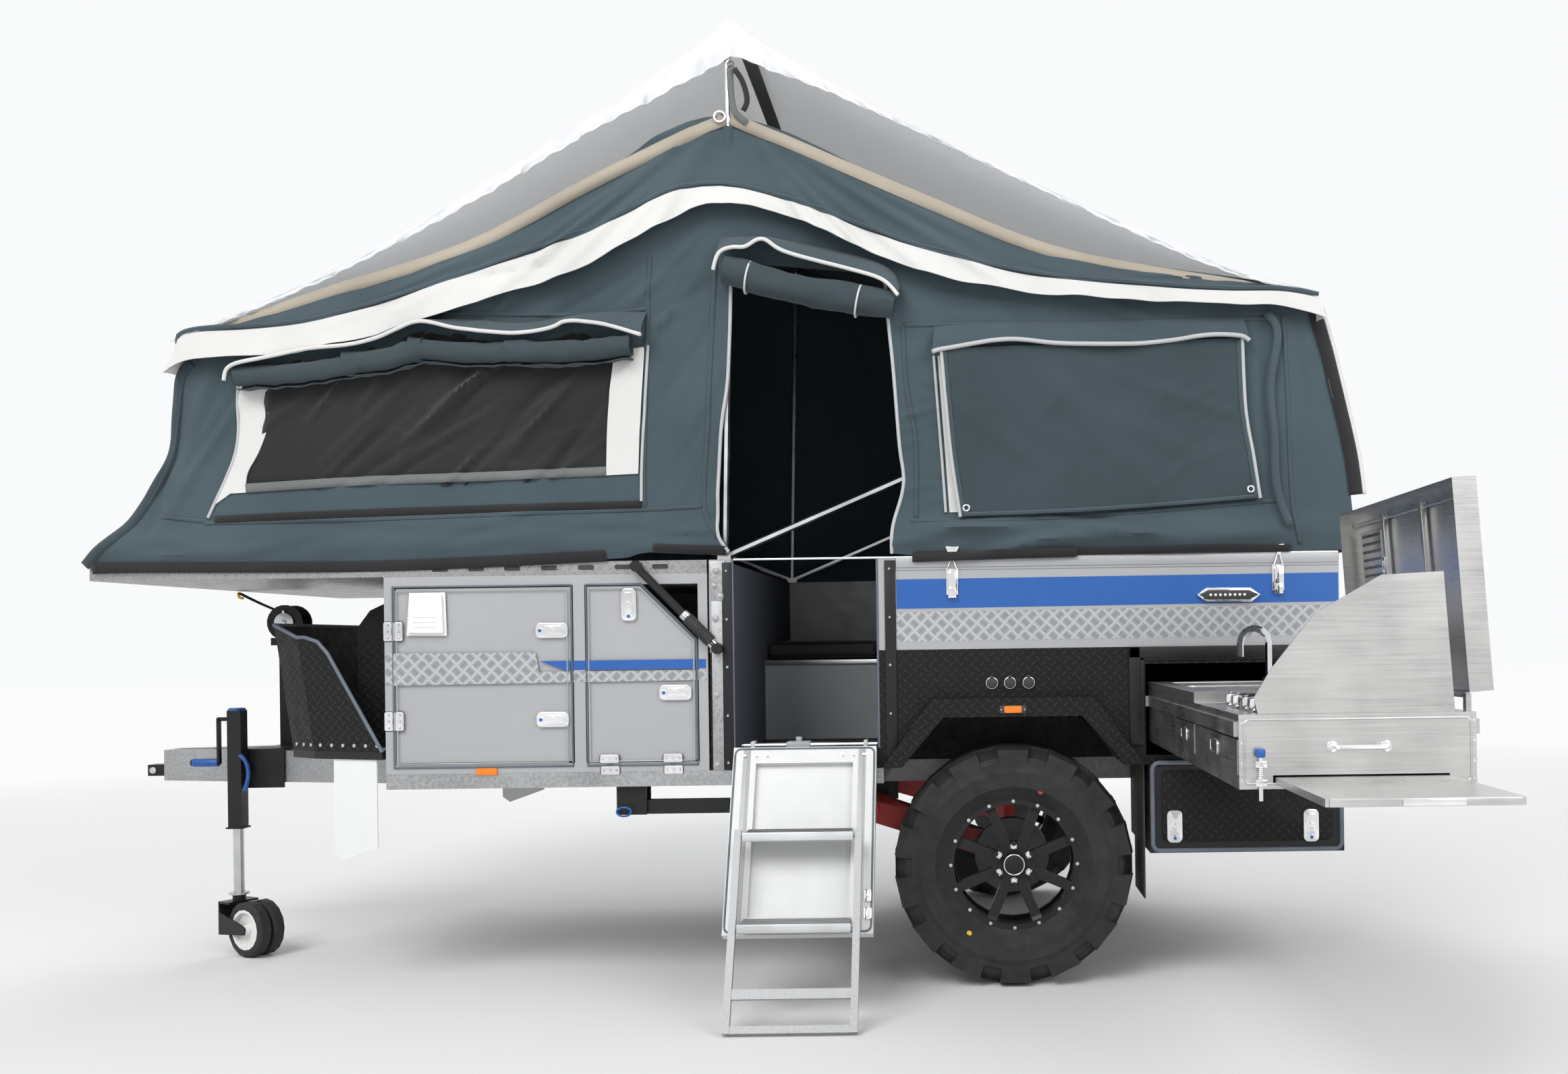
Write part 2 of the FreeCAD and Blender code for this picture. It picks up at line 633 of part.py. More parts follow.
def platform():
    """The flipped lid that carries the bed, with its slotted edge, and its two stays."""
    low, high = "toolbox_top + fit_gap", "toolbox_top + fit_gap + platform_thick"
    deck = box("platform_slab", ("platform_front", "platform_rear"), (f"-{EDGE}", EDGE), (low, high))
    node("bed_platform", deck)
    stays = []
    for sign in (-1, 1):
        y = sign * (size(EDGE) + 22)
        head = point(size("stay_head_x"), y, size("stay_head_z"))
        foot = point(size("stay_foot_x"), y, size("stay_foot_z"))
        radius = size("stay_dia") / 2
        tube = bar(radius, (foot - head).Length, head, foot - head, 8)
        pins = [bar(8, 22, Vector(p.x, sign * (size(EDGE) + size("fit_gap")), p.z), Vector(0, sign, 0), 8)
                for p in (head, foot)]
        balls = [bar(radius + 5, 2 * radius + 4, p - Vector(0, sign * (radius + 2), 0),
                     Vector(0, sign, 0), 8)
                 for p in (head, foot)]
        stays.append(shaped(f"stay_{sign}", tube.multiFuse(pins + balls)))
    node("platform_stays", group("stays", stays))


def tub():
    """The cabin's lower tub, hollow, with its doorway, wheel arches and kitchen bay."""
    rim = ("deck_height + fit_gap", "silver_height")
    outer = box("tub_outer", ("cabin_front", "cabin_rear"), (f"-{EDGE}", EDGE), rim)
    room = box("tub_room", ("cabin_front + skin", "cabin_rear - skin"), (f"skin - {EDGE}", f"{EDGE} - skin"),
               ("deck_height + floor_thick", "silver_height + 1"))
    arches = []
    hollows = []
    for label, sign in (("near", -1), ("far", 1)):
        for kind, wall in (("shell", "15"), ("hollow", "0")):
            mid = "wheel_centre"
            outline = side([
                (f"{mid} - arch_half - {wall}", "deck_height + fit_gap"),
                (f"{mid} - arch_top_half - {wall}", f"arch_height + {wall}"),
                (f"{mid} + arch_top_half + {wall}", f"arch_height + {wall}"),
                (f"{mid} + arch_half + {wall}", "deck_height + fit_gap")])
            if kind == "hollow":
                outline[0] = (outline[0][0], height("deck_height - 1"))
                outline[3] = (outline[3][0], height("deck_height - 1"))
            deep = f"{EDGE} - arch_deep - {wall}"
            edge = EDGE if kind == "shell" else f"{EDGE} + 1"
            span = (f"-({edge})", f"-({deep})") if sign < 0 else (deep, edge)
            made = profile(f"arch_{kind}_{label}", "XZ", outline, *span)
            (arches if kind == "shell" else hollows).append(made)
    bay = box("bay_shell", ("bay_left - 15", "bay_right + 15"), (f"-{EDGE}", "bay_end + 15"),
              ("deck_height + fit_gap", "bay_high + 15"))
    hollows.append(box("bay_hollow", ("bay_left", "bay_right"), (f"-{EDGE} - 1", "bay_end"),
                       ("bay_low", "bay_high")))
    hollows.append(box("tub_doorway", ("door_left", "door_right"), (f"-{EDGE} - 1", f"skin + 1 - {EDGE}"),
                       ("sill_height - swing_gap", "silver_height + 1")))
    open_tub = cut("tub_open", outer, [room])
    open_body = cut("tub_cut", join("tub_solid", [open_tub, bay] + arches), hollows)
    out = size("door_hinge_out")
    lugs = []
    lug_long = size("door_lug") - size("fit_gap")
    for start in (size("door_left") + size("swing_gap"), size("door_right") - size("swing_gap") - lug_long):
        pin = point(start, -size(EDGE) - out, size("sill_height"))
        lugs.append(Part.makeCylinder(out - size("fit_gap"), lug_long, pin, Vector(1, 0, 0)))
        web = size("door_lug_deep")
        lugs.append(Part.makeBox(lug_long, out + 1, web, pin - Vector(0, 0, web)))
    node("cabin_tub", shaped("tub_body", worked(open_body).multiFuse(lugs)))


def upper_body():
    """The silver upper side panels as one hollow ring, open at the doorway."""
    rim = ("silver_height + fit_gap", "cabin_top")
    outer = box("ring_outer", ("cabin_front", "cabin_rear"), (f"-{EDGE}", EDGE), rim)
    room = box("ring_room", ("cabin_front + skin", "cabin_rear - skin"), (f"skin - {EDGE}", f"{EDGE} - skin"),
               ("silver_height", "cabin_top + 1"))
    gap = box("ring_doorway", ("door_left", "door_right"), (f"-{EDGE} - 1", f"skin + 1 - {EDGE}"),
              ("silver_height", "cabin_top + 1"))
    node("cabin_ring", cut("ring_cut", outer, [room, gap]))


def interior():
    """Carpeted bulkhead, seat box along the far side, and its cushion."""
    inside = ("cabin_front + skin + fit_gap", "cabin_front + skin + 12")
    span = (f"skin + fit_gap - {EDGE}", f"{EDGE} - skin - fit_gap")
    floor = "deck_height + floor_thick + fit_gap"
    node("bulkhead", box("bulkhead_panel", inside, span, (floor, "cabin_top")))
    x = ("cabin_front + skin + 12 + fit_gap", "bay_left - 15 - fit_gap")
    front = box("seat_front", x, ("80", "95"), (floor, "1085"))
    top = box("seat_top", x, ("80", f"{EDGE} - skin - fit_gap"), ("1070", "1085"))
    node("seat_box", join("seat", [front, top]))
    cushion = box("seat_pad", (x[0], "bay_left - 20"), ("84", f"{EDGE} - skin - 1"),
                  ("1085 + fit_gap", "1165"))
    node("seat_cushion", cushion)


def flares():
    """Trapezoid flares over the wheels."""
    mid, band = "wheel_centre", "flare_band"
    outline = side([
        (f"{mid} - arch_half - {band}", "deck_height + 5"),
        (f"{mid} - arch_top_half - {band} * 0.6", f"arch_height + {band}"),
        (f"{mid} + arch_top_half + {band} * 0.6", f"arch_height + {band}"),
        (f"{mid} + arch_half + {band}", "deck_height + 5"),
        (f"{mid} + arch_half", "deck_height + 5"), (f"{mid} + arch_top_half", "arch_height"),
        (f"{mid} - arch_top_half", "arch_height"), (f"{mid} - arch_half", "deck_height + 5")])
    near = profile("flare_near", "XZ", outline, f"-{EDGE} - flare_out", f"-{EDGE} - fit_gap")
    node("arch_flares", group("flares", [near, mirrored("flare_far", near)]))


def rear_flaps():
    """Flaps behind the wheels, hung from the tub."""
    x = ("wheel_centre + arch_half + 60", "wheel_centre + arch_half + 65")
    near = box("rear_flap_near", x, (f"5 - {EDGE}", "5 - half_width + 250"), ("290", "deck_height"))
    node("rear_flaps", group("flaps_rear", [near, mirrored("rear_flap_far", near)]))


def storage():
    """The low storage box behind the near wheel, and its top-hung door."""
    high = "deck_height"
    shell = box("store_block", ("storage_left", "cabin_rear"), (f"-{EDGE}", f"storage_depth - {EDGE}"),
                ("storage_low", high))
    room = box("store_room", ("storage_left + 15", "cabin_rear - 15"),
               (f"-{EDGE} - 1", f"storage_depth - 15 - {EDGE}"),
               ("storage_low + 15", f"{high} - 15"))
    node("storage_box", cut("store_shell", shell, [room]))
    slab = box("store_slab", ("storage_left", "cabin_rear"),
               (f"-{EDGE} - storage_door_thick - 2", f"-{EDGE} - 2"), ("storage_low", f"{high} - 4"))
    pin = cylinder("store_pin", (f"-{EDGE} - 12", height(f"{high} + 4")), "12 - fit_gap", "storage_left + 40",
                   "cabin_rear - 40", "x")
    node("storage_door", join("store_door", [slab, pin]))


def lug_row(low, high, low_reach, high_reach, floor, count, share, shift):
    """One row of tread lugs: a toothed ring from y low to high, its outer radius changing between."""
    wires = []
    for y, reach in ((low, low_reach), (high, high_reach)):
        points = []
        step = math.tau / count
        for i in range(count):
            for turn, radius in ((-share / 2, 1), (share / 2, 1), (share / 2, floor), (1 - share / 2, floor)):
                spin = step * (i + turn + shift)
                points.append(Vector(reach * radius * math.sin(spin), y, reach * radius * math.cos(spin)))
        wires.append(Part.makePolygon(points + points[:1]))
    return Part.makeLoft(wires, True, True)


WHEEL_SIDES = 28
LUG_SHARE = 0.6
STUB_SIDES = 20


def tyre(label, side_sign):
    """A tyre turned from its section, with four rows of lugs that run out over its shoulders."""
    radius = size("tyre_dia") / 2
    half = size("tyre_wide") / 2
    tall = size("lug_tall")
    bead = size("rim_dia") / 2 - 6
    crown = radius - tall
    section = [(-half * 0.66, bead), (-half * 0.95, bead + 45), (-half, bead + 95),
               (-half * 0.9, crown - 24), (-half * 0.6, crown), (half * 0.6, crown), (half * 0.9, crown - 24),
               (half, bead + 95), (half * 0.95, bead + 45), (half * 0.66, bead)]
    carcass = turned(section, WHEEL_SIDES)
    floor = (crown - 6) / radius
    edge = radius - 12
    rows = [(-0.97, -0.55, edge, radius, 0.0), (-0.49, -0.03, radius, radius, 0.5),
            (0.03, 0.49, radius, radius, 0.0), (0.55, 0.97, radius, edge, 0.5)]
    pieces = []
    for low, high, low_reach, high_reach, shift in rows:
        base = floor if abs(low) < 0.5 else (crown - 34) / radius
        pieces.append(lug_row(low * half, high * half, low_reach, high_reach, base, WHEEL_SIDES // 2,
                              LUG_SHARE, shift))
    room = turned([(-half, bead + 60), (-half, radius + 10), (half, radius + 10), (half, bead + 60)],
                  WHEEL_SIDES)
    solid = carcass.multiFuse([piece.common(room) for piece in pieces])
    solid.translate(point(size("wheel_centre"), side_sign * (size(EDGE) - half), size("axle_height")))
    node(f"tyre_{label}", shaped(f"tyre_solid_{label}", solid))


def rim(label, side_sign):
    """A deep rim turned from its section, with spokes and a nut flange, on the outer side."""
    half = size("tyre_wide") / 2
    bead = size("rim_dia") / 2 - 6
    outer = half * 0.66
    wall = 9
    seat = bead - size("fit_gap")
    section = [(-outer, seat), (-outer, seat - wall - 8), (-outer + 20, seat - wall - 8),
               (-outer + 30, seat - wall), (outer - 30, seat - wall), (outer - 20, seat - wall - 8),
               (outer, seat - wall - 8), (outer, seat)]
    barrel = turned(section, WHEEL_SIDES)
    face_low = outer - 46
    along = Vector(0, 1, 0)
    hub = bar(size("hub_dia") / 2, 34, Vector(0, face_low - 14, 0), along, 12)
    cap = bar(38, 26, Vector(0, face_low + 18, 0), along, 12)
    pieces = [hub, cap]
    count = int(size("spoke_count"))
    for i in range(count):
        profile_points = [(face_low - 10, 40), (face_low + 22, 40), (face_low + 30, seat - 30),
                          (outer - 6, seat - 14), (outer - 6, seat - 4), (face_low + 8, seat - 4)]
        spoke_wire = Part.makePolygon([Vector(-17, y, z) for y, z in profile_points + profile_points[:1]])
        spoke = Part.Face(spoke_wire).extrude(Vector(34, 0, 0))
        spoke.rotate(Vector(), along, (i + 0.5) * 360 / count)
        pieces.append(spoke)
    nuts = 6
    for i in range(nuts):
        turn = math.radians(i * 360 / nuts)
        reach = 139.7 / 2
        nut = Vector(reach * math.sin(turn), face_low + 12, reach * math.cos(turn))
        pieces.append(bar(9, 32, nut, along, 6))
    solid = barrel.multiFuse(pieces)
    bore = bar(size("stub_dia") / 2 + size("stub_gap"), face_low + 4 + outer, Vector(0, -outer, 0), along,
               STUB_SIDES)
    solid = solid.cut(bore)
    if side_sign < 0:
        solid = solid.mirror(Vector(), along)
    solid.translate(point(size("wheel_centre"), side_sign * (size(EDGE) - half), size("axle_height")))
    node(f"rim_{label}", shaped(f"rim_solid_{label}", solid))


def suspension(label, sign):
    """Trailing arm with its pivot tube, brake drum and stub axle, and a damper."""
    pivot = point(size("arm_pivot_x"), sign * 520, size("arm_pivot_h"))
    hub = point(size("wheel_centre"), sign * 640, size("axle_height"))
    reach = 520 - size("beam_half_space") - 6 - size("fit_gap")
    tube = bar(38, reach + 160, pivot - Vector(0, sign * reach, 0), Vector(0, sign, 0))
    arms = []
    for shift in (-100, 110):
        start = pivot + Vector(0, sign * shift, 0)
        end = hub - Vector(0, sign * 30, 0)
        way = end - start
        side_way = way.cross(Vector(0, 0, 1))
        side_way.normalize()
        corners = [start + Vector(0, 0, 38), start - Vector(0, 0, 38),
                   end - Vector(0, 0, 45), end + Vector(0, 0, 45)]
        face = Part.Face(Part.makePolygon([c - side_way * 25 for c in corners + corners[:1]]))
        arms.append(face.extrude(side_way * 50))
    knuckle = bar(55, 40, hub - Vector(0, sign * 40, 0), Vector(0, sign, 0), 10)
    arm = shaped(f"arm_{label}", tube.multiFuse(arms + [knuckle]))
    hanger_top = size("deck_height") - size("beam_tall") - size("hitch_height")
    low_y = sign * size("beam_half_space")
    plate = Part.makeBox(110, 12, 145, Vector(pivot.x - 55, low_y - 6, hanger_top - 145 - size("fit_gap")))
    hanger = shaped(f"hanger_{label}", plate)
    seat = hub + Vector(0, sign * size("fit_gap"), 0)
    stub = bar(size("stub_dia") / 2, 215, seat, Vector(0, sign, 0), STUB_SIDES)
    drum = bar(130, 50, seat, Vector(0, sign, 0), 20)
    return arm, hanger, shaped(f"drum_{label}", stub.fuse(drum))


def jack():
    """Swing-up jockey jack: bracket, square outer tube, round leg, swivelling fork, twin wheels."""
    x, y = size("jack_place"), -size("jack_side")
    half = size("jack_tube") / 2
    ground = -size("hitch_height")
    pivot = size("jack_pivot")
    gap = size("fit_gap")

    slope = (size("beam_half_space") - size("bar_nose_half")) / (
        size("drawbar_end") + size("rail_wide") - size("bar_nose"))
    left, right = x - 45, x + 155

    def rail_face(place):
        return -(size("bar_nose_half") + slope * (place - size("bar_nose")) + size("bar_wide") / 2 + gap)

    back = y + half + 14
    corners = [Vector(left, rail_face(left), 0), Vector(right, rail_face(right), 0),
               Vector(right, rail_face(right) - 8, 0), Vector(left + 95, back, 0), Vector(left, back, 0)]
    face = Part.Face(Part.makePolygon(corners + corners[:1]))
    plate = face.extrude(Vector(0, 0, 150))
    plate.translate(Vector(0, 0, 625 + ground))
    pin = bar(14, 13.7, Vector(x, back + gap, pivot + ground), Vector(0, -1, 0))
    node("jack_bracket", shaped("bracket", plate.fuse(pin)))

    foot, top = size("jack_foot"), size("jack_top")
    tube = Part.makeBox(2 * half, 2 * half, top - foot, point(x - half, y - half, foot))
    radius = size("jack_leg_dia") / 2
    upright = Vector(0, 0, 1)
    bore = bar(radius + 1.2 * gap, top - foot - 12, point(x, y, foot - 1), upright)
    boss = bar(40, 12, Vector(x, y + half, pivot + ground), Vector(0, 1, 0), 16)
    flange = Part.makeBox(2 * half + 12, 2 * half + 12, 6, point(x - half - 6, y - half - 6, foot))
    hole = bar(15, 14, Vector(x, y + half + 0.5, pivot + ground), Vector(0, 1, 0))
    body = tube.multiFuse([boss, flange]).cut(bore).cut(hole)
    crank_side = bar(8, 50, point(x - half + 2, y, 893), Vector(-1, 0, 0), 8)
    arm = Part.makeBox(8, 22, 175, point(x - half - 48, y - 11, 722))
    grip = bar(13, 105, point(x - half - 44, y, 728), Vector(-1, 0, 0), 10)
    body = body.multiFuse([crank_side, arm, grip])
    node("jack_tube", shaped("jack_body", body))

    ring_height = size("ring_height")
    leg = bar(radius, 640 - ring_height, point(x, y, ring_height), upright)
    ring = bar(36, 8, point(x, y, ring_height), upright, 16)
    node("jack_leg", shaped("leg", leg.fuse(ring)))

    wheel = size("jockey_dia") / 2
    trail = size("jockey_trail")
    pair = size("jockey_wide") + size("jockey_gap") / 2
    outer = pair + 6
    centre = point(0, 0, wheel)
    neck = bar(24, 26, point(0, 0, ring_height - gap - 26), upright)
    cap = Part.makeBox(64, 2 * outer + 10, 8, point(-38, -outer - 5, ring_height - gap - 30))
    back_plate = Part.makeBox(6, 2 * outer + 10, 118, point(-38, -outer - 5, ring_height - gap - 140))
    cheeks = []
    for sign in (-1, 1):
        outline = [point(-38, 0, 78), point(trail + 14, 0, 88), point(trail + 18, 0, 112),
                   point(trail, 0, 124), point(-38, 0, 165)]
        cheek = Part.Face(Part.makePolygon(outline + outline[:1])).extrude(Vector(0, 5 * sign, 0))
        cheek.translate(Vector(0, sign * outer, 0))
        cheeks.append(cheek)
    axle = bar(6, 2 * outer + 8, centre + Vector(trail, -outer - 4, 0), Vector(0, 1, 0), 8)
    fork = neck.multiFuse([cap, back_plate, axle] + cheeks)

    def wheel_section(corners):
        made = turned(corners, 16)
        made.translate(centre + Vector(trail, 0, 0))
        return made

    inner = size("jockey_gap") / 2
    hubs = []
    tyres = []
    for sign in (-1, 1):
        a0, a1 = sign * inner, sign * pair
        tread = [(a0, 76), (a0, wheel - 8), (a0 + sign * 6, wheel),
                 (a1 - sign * 6, wheel), (a1, wheel - 8), (a1, 76)]
        tyres.append(wheel_section(tread))
        mid = (a0 + a1) / 2
        hubs.append(wheel_section([(a0, 66), (a0, 76 - gap), (a1, 76 - gap), (a1, 66)]))
        hubs.append(wheel_section([(mid - 5, 10), (mid - 5, 70), (mid + 5, 70), (mid + 5, 10)]))
    tube = wheel_section([(-pair - 4, 6 + gap), (-pair - 4, 19), (pair + 4, 19), (pair + 4, 6 + gap)])
    hub = tube.multiFuse(hubs)
    swivel = Placement(Vector(x, y, 0), Rotation(Vector(0, 0, 1), -size("jockey_turn")))
    for label, shape in (("jockey_fork", fork), ("jockey_hubs", hub),
                         ("jockey_tyres", Part.makeCompound(tyres))):
        made = shaped(f"{label}_shape", shape)
        made.Placement = swivel
        node(label, made)


def door_place():
    """Where the open entry door's own frame sits: x along, y from outer to inner face, z up the door."""
    hinge = point(0, -size(EDGE) - size("door_hinge_out"), size("sill_height"))
    return Placement(hinge, Rotation(Vector(1, 0, 0), 180 - size("door_lean")))


def entry_door():
    """The fold-down entry door, with the steps' ears on its inner face."""
    gap = size("swing_gap")
    left, right = size("door_left") + gap, size("door_right") - gap
    face = size("door_hinge_out") + size("door_thick")
    slab = Part.makeBox(right - left, size("door_thick"), size("door_long") - gap,
                        Vector(left, size("door_hinge_out"), gap))
    recess = Part.makeBox(right - left - 150, 40, size("door_long") - 120, Vector(left + 75, face - 24, 62))
    knuckle = bar(size("door_hinge_out") - size("fit_gap"), right - left - 40, Vector(left + 20, 0, 0),
                  Vector(1, 0, 0), 10)
    web = Part.makeBox(right - left - 40, 12, 9, Vector(left + 20, 0, 0))
    middle = (left + right) / 2
    ears = []
    for level in ("tread_upper", "tread_lower"):
        for sign in (-1, 1):
            start = middle + sign * (size("leg_space") / 2 - size("leg_thick") / 2 - 8.5) - 2.5
            ears.append(Part.makeBox(5, size("fold_offset") + 8 + 26, 24,
                                     Vector(start, face - 26, size(level) - 12)))
    solid = slab.cut(recess).multiFuse([knuckle, web] + ears)
    made = shaped("door_leaf", solid)
    made.Placement = door_place()
    node("entry_door", made)


def steps():
    """Two treads that fold as a parallelogram against the door, and the leg frame."""
    face = size("door_hinge_out") + size("door_thick")
    lean = math.radians(size("door_lean"))
    fold = face + size("fold_offset")
    out = face + size("leg_offset")
    link = (out - fold) / math.cos(lean)
    middle = (size("door_left") + size("door_right")) / 2
    half = size("leg_space") / 2 - size("leg_thick") / 2
    board_half = half - 12
    thick = size("tread_thick") / 2
    for label in ("upper", "lower"):
        level = size(f"tread_{label}")
        board = Part.makeBox(2 * board_half, size("tread_deep"), 2 * thick,
                             Vector(middle - board_half, -8, -thick))
        slots = [Part.makeBox(2 * board_half - 30, 5, 5, Vector(middle - board_half + 15, y, thick - 4))
                 for y in range(8, int(size("tread_deep")) - 16, 16)]
        board = board.cut(Part.makeCompound(slots))
        across = Vector(1, 0, 0)
        pins = [bar(6, 2 * board_half + 1.2, Vector(middle - board_half - 0.6, 0, 0), across, 8),
                bar(6, 2 * (half - size("fit_gap")), Vector(middle - half + size("fit_gap"), link, 0),
                    across, 8)]
        made = shaped(f"tread_board_{label}", board.multiFuse(pins))
        turn = Rotation(Vector(1, 0, 0), size("door_lean"))
        own = Placement(Vector(0, fold, level), turn)
        made.Placement = door_place().multiply(own)
        node(f"tread_{label}", made)
    stock = size("leg_thick")
    drop = link * math.sin(lean)
    head = size("tread_upper") + drop - 20
    end = (size("sill_height") - 4 + (out - stock / 2) * math.sin(lean)) / math.cos(lean)
    half = size("leg_space") / 2
    legs = [Part.makeBox(stock, stock, end - head,
                         Vector(middle + sign * half - stock / 2, out - stock / 2, head)) for sign in (-1, 1)]
    bars = [Part.makeBox(2 * half, stock * 0.8, wide, Vector(middle - half, out - stock * 0.4, place))
            for wide, place in ((30, end - 130), (stock, end - stock))]
    made = shaped("leg_frame", legs[0].multiFuse([legs[1]] + bars))
    made.Placement = door_place()
    node("step_legs", made)


def stabilisers():
    """Drop-down corner legs, folded up along the chassis, on their hangers."""
    hangers = []
    tube = size("stab_tube")
    x, h = size("stab_place"), size("stab_height")
    gap = size("fit_gap")
    rail_low = size("deck_height") - size("rail_tall")
    for label, sign in (("near", -1), ("far", 1)):
        y = sign * size("stab_side")
        top = Part.makeBox(100, tube + 24, 6, point(x - 50, y - tube / 2 - 12, rail_low - 6 - gap))
        ears = [Part.makeBox(100, 5, rail_low - h + 20, point(x - 50, y + s * (tube / 2 + 9) - 2.5, h - 24))
                for s in (-1, 1)]
        hangers.append(shaped(f"hanger_stab_{label}", top.multiFuse(ears)))
        leg = Part.makeBox(size("stab_long"), tube, tube, point(x - 18, y - tube / 2, h - tube / 2))
        pin = bar(9, tube + 13 - 2 * gap, point(x, y - tube / 2 - 6.5 + gap, h), Vector(0, 1, 0), 10)
        inner_start = point(x - 18 + size("stab_long"), y - tube / 2 + 6, h - tube / 2 + 6)
        inner = Part.makeBox(40, tube - 12, tube - 12, inner_start)
        foot = Part.makeBox(5, 110, 90, point(x + 22 + size("stab_long"), y - 55, h - 45))
        node(f"stabiliser_{label}", shaped(f"stab_{label}", leg.multiFuse([pin, inner, foot])))
    node("stabiliser_hangers", group("stab_hangers", hangers))


def kitchen():
    """Slide-out kitchen: box with hob and sink decks, drawers, tray, lid and wind guard."""
    near = f"-{EDGE} - kitchen_out"
    x = ("kitchen_left", "kitchen_right")
    low = box("kitchen_low_box", x, (near, f"{near} + kitchen_long"), ("kitchen_low", "kitchen_deck"))
    sink = box("kitchen_sink_box", x, (f"{near} + hob_long", f"{near} + kitchen_long"),
               ("kitchen_deck - 1", "kitchen_deck + sink_step"))
    rails = [box(f"kitchen_rail_{where}", span, (f"{near} + 20", f"{near} + kitchen_long"), ("928", "962"))
             for where, span in (("front", ("bay_left + 7 + fit_gap", "kitchen_left + 1")),
                                 ("rear", ("kitchen_right - 1", "bay_right - 7 - fit_gap - 12")))]
    wall = "kitchen_wall"
    tools = []
    for which in ("front", "back"):
        tools.append(box(f"pocket_{which}", ("kitchen_left - 20", "kitchen_left + drawer_deep + 6"),
                         (f"{near} + {which}_drawer_near - 3", f"{near} + {which}_drawer_far + 3"),
                         ("drawer_low - 3", "drawer_high + 3")))
    tools.append(box("tray_slot", ("tray_left - 4", "tray_right + 4"),
                     (f"{near} - 1", f"{near} + tray_out + 40"),
                     ("tray_low - fit_gap", "tray_low + tray_thick + 4")))
    under = ("kitchen_deck - 120", f"kitchen_deck + sink_step - {wall}")
    bowl_end = f"{near} + kitchen_long - sink_back"
    bowl_start = f"{bowl_end} - sink_long"
    tools.append(box("sink_bowl", ("kitchen_left + 50", "kitchen_right - 130"), (bowl_start, bowl_end),
                     ("kitchen_deck - 120", "kitchen_deck + sink_step + 1")))
    tools.append(box("hob_tray", ("kitchen_left + 40", "kitchen_right - 60"),
                     (f"{near} + 60", f"{near} + hob_long - 40"), ("kitchen_deck - 8", "kitchen_deck + 1")))
    beside = ("kitchen_left + drawer_deep + 6 + " + wall, "kitchen_right - " + wall)
    past = (f"{near} + back_drawer_far + 3 + {wall}", f"{near} + kitchen_long - {wall}")
    tools.append(box("hollow_front", beside, (f"{near} + {wall}", f"{near} + back_drawer_far"),
                     (f"tray_low + tray_thick + 4 + {wall}", f"kitchen_deck - 8 - {wall}")))
    tools.append(box("hollow_rear", (f"kitchen_left + {wall}", f"kitchen_right - {wall}"), past,
                     (f"kitchen_low + {wall}", f"kitchen_deck - 120 - {wall}")))
    tools.append(box("hollow_side", (f"kitchen_right - 130 + {wall}", f"kitchen_right - {wall}"), past,
                     (f"kitchen_deck - 120", f"kitchen_deck + sink_step - {wall}")))
    tools.append(box("hollow_mid", (f"kitchen_left + {wall}", f"kitchen_right - 130"),
                     (past[0], f"{bowl_start} - {wall}"), under))
    tools.append(box("hollow_end", (f"kitchen_left + {wall}", f"kitchen_right - 130"),
                     (f"{bowl_end} + {wall}", past[1]), under))
    node("kitchen_box", cut("kitchen_cut", join("kitchen_solid", [low, sink] + rails), tools))

    tap_x = size("kitchen_left") + size("tap_in")
    tap_y = (size("kitchen_long") - size("kitchen_out") - size(EDGE) - size("sink_back") - size("sink_long")
             - size("tap_before"))
    tap = [bar(20, 26, point(tap_x, tap_y, size("kitchen_deck") + size("sink_step") + size("fit_gap")),
               Vector(0, 0, 1))]
    base = point(tap_x, tap_y, size("kitchen_deck") + size("sink_step") + 20)
    bend = [base]
    for step in range(7):
        turn = math.pi * step / 6
        bend.append(base + Vector(-42 + 42 * math.cos(turn), 0, 110 + 42 * math.sin(turn)))
    bend.append(base + Vector(-84, 0, 70))
    for start, end in zip(bend, bend[1:]):
        tap.append(bar(10, (end - start).Length + 2, start, end - start, 6))
    burners = []
    for place in (190, 430):
        for shift in (150, 330):
            centre = point(size("kitchen_left") + shift, -size(EDGE) - size("kitchen_out") + place,
                           size("kitchen_deck") - 8 + size("fit_gap"))
            burners.append(bar(38, 16, centre, Vector(0, 0, 1)))
            for turn in (0, 90):
                arm = Part.makeBox(150, 8, 10, centre + Vector(-75, -4, 14))
                arm.rotate(centre, Vector(0, 0, 1), turn)
                burners.append(arm)
    node("tap_and_burners", shaped("taps", Part.makeCompound([tap[0].multiFuse(tap[1:])] + [
        burners[i].multiFuse(burners[i + 1:i + 3]) for i in range(0, len(burners), 3)])))

    for which in ("front", "back"):
        y = (f"{near} + {which}_drawer_near", f"{near} + {which}_drawer_far")
        block = box(f"drawer_block_{which}", ("kitchen_left - 2", "kitchen_left + drawer_deep"), y,
                    ("drawer_low - 3 + fit_gap", "drawer_high"))
        room = box(f"drawer_room_{which}", ("kitchen_left + 8", "kitchen_left + drawer_deep - 8"),
                   (f"{y[0]} + 8", f"{y[1]} - 8"), ("drawer_low + 5", "drawer_high + 1"))
        node(f"drawer_{which}", cut(f"drawer_shell_{which}", block, [room]))
    tray = box("tray_plate", ("tray_left", "tray_right"), (f"{near} - tray_out", f"{near} + 30"),
               ("tray_low", "tray_low + tray_thick"))
    node("kitchen_tray", tray)

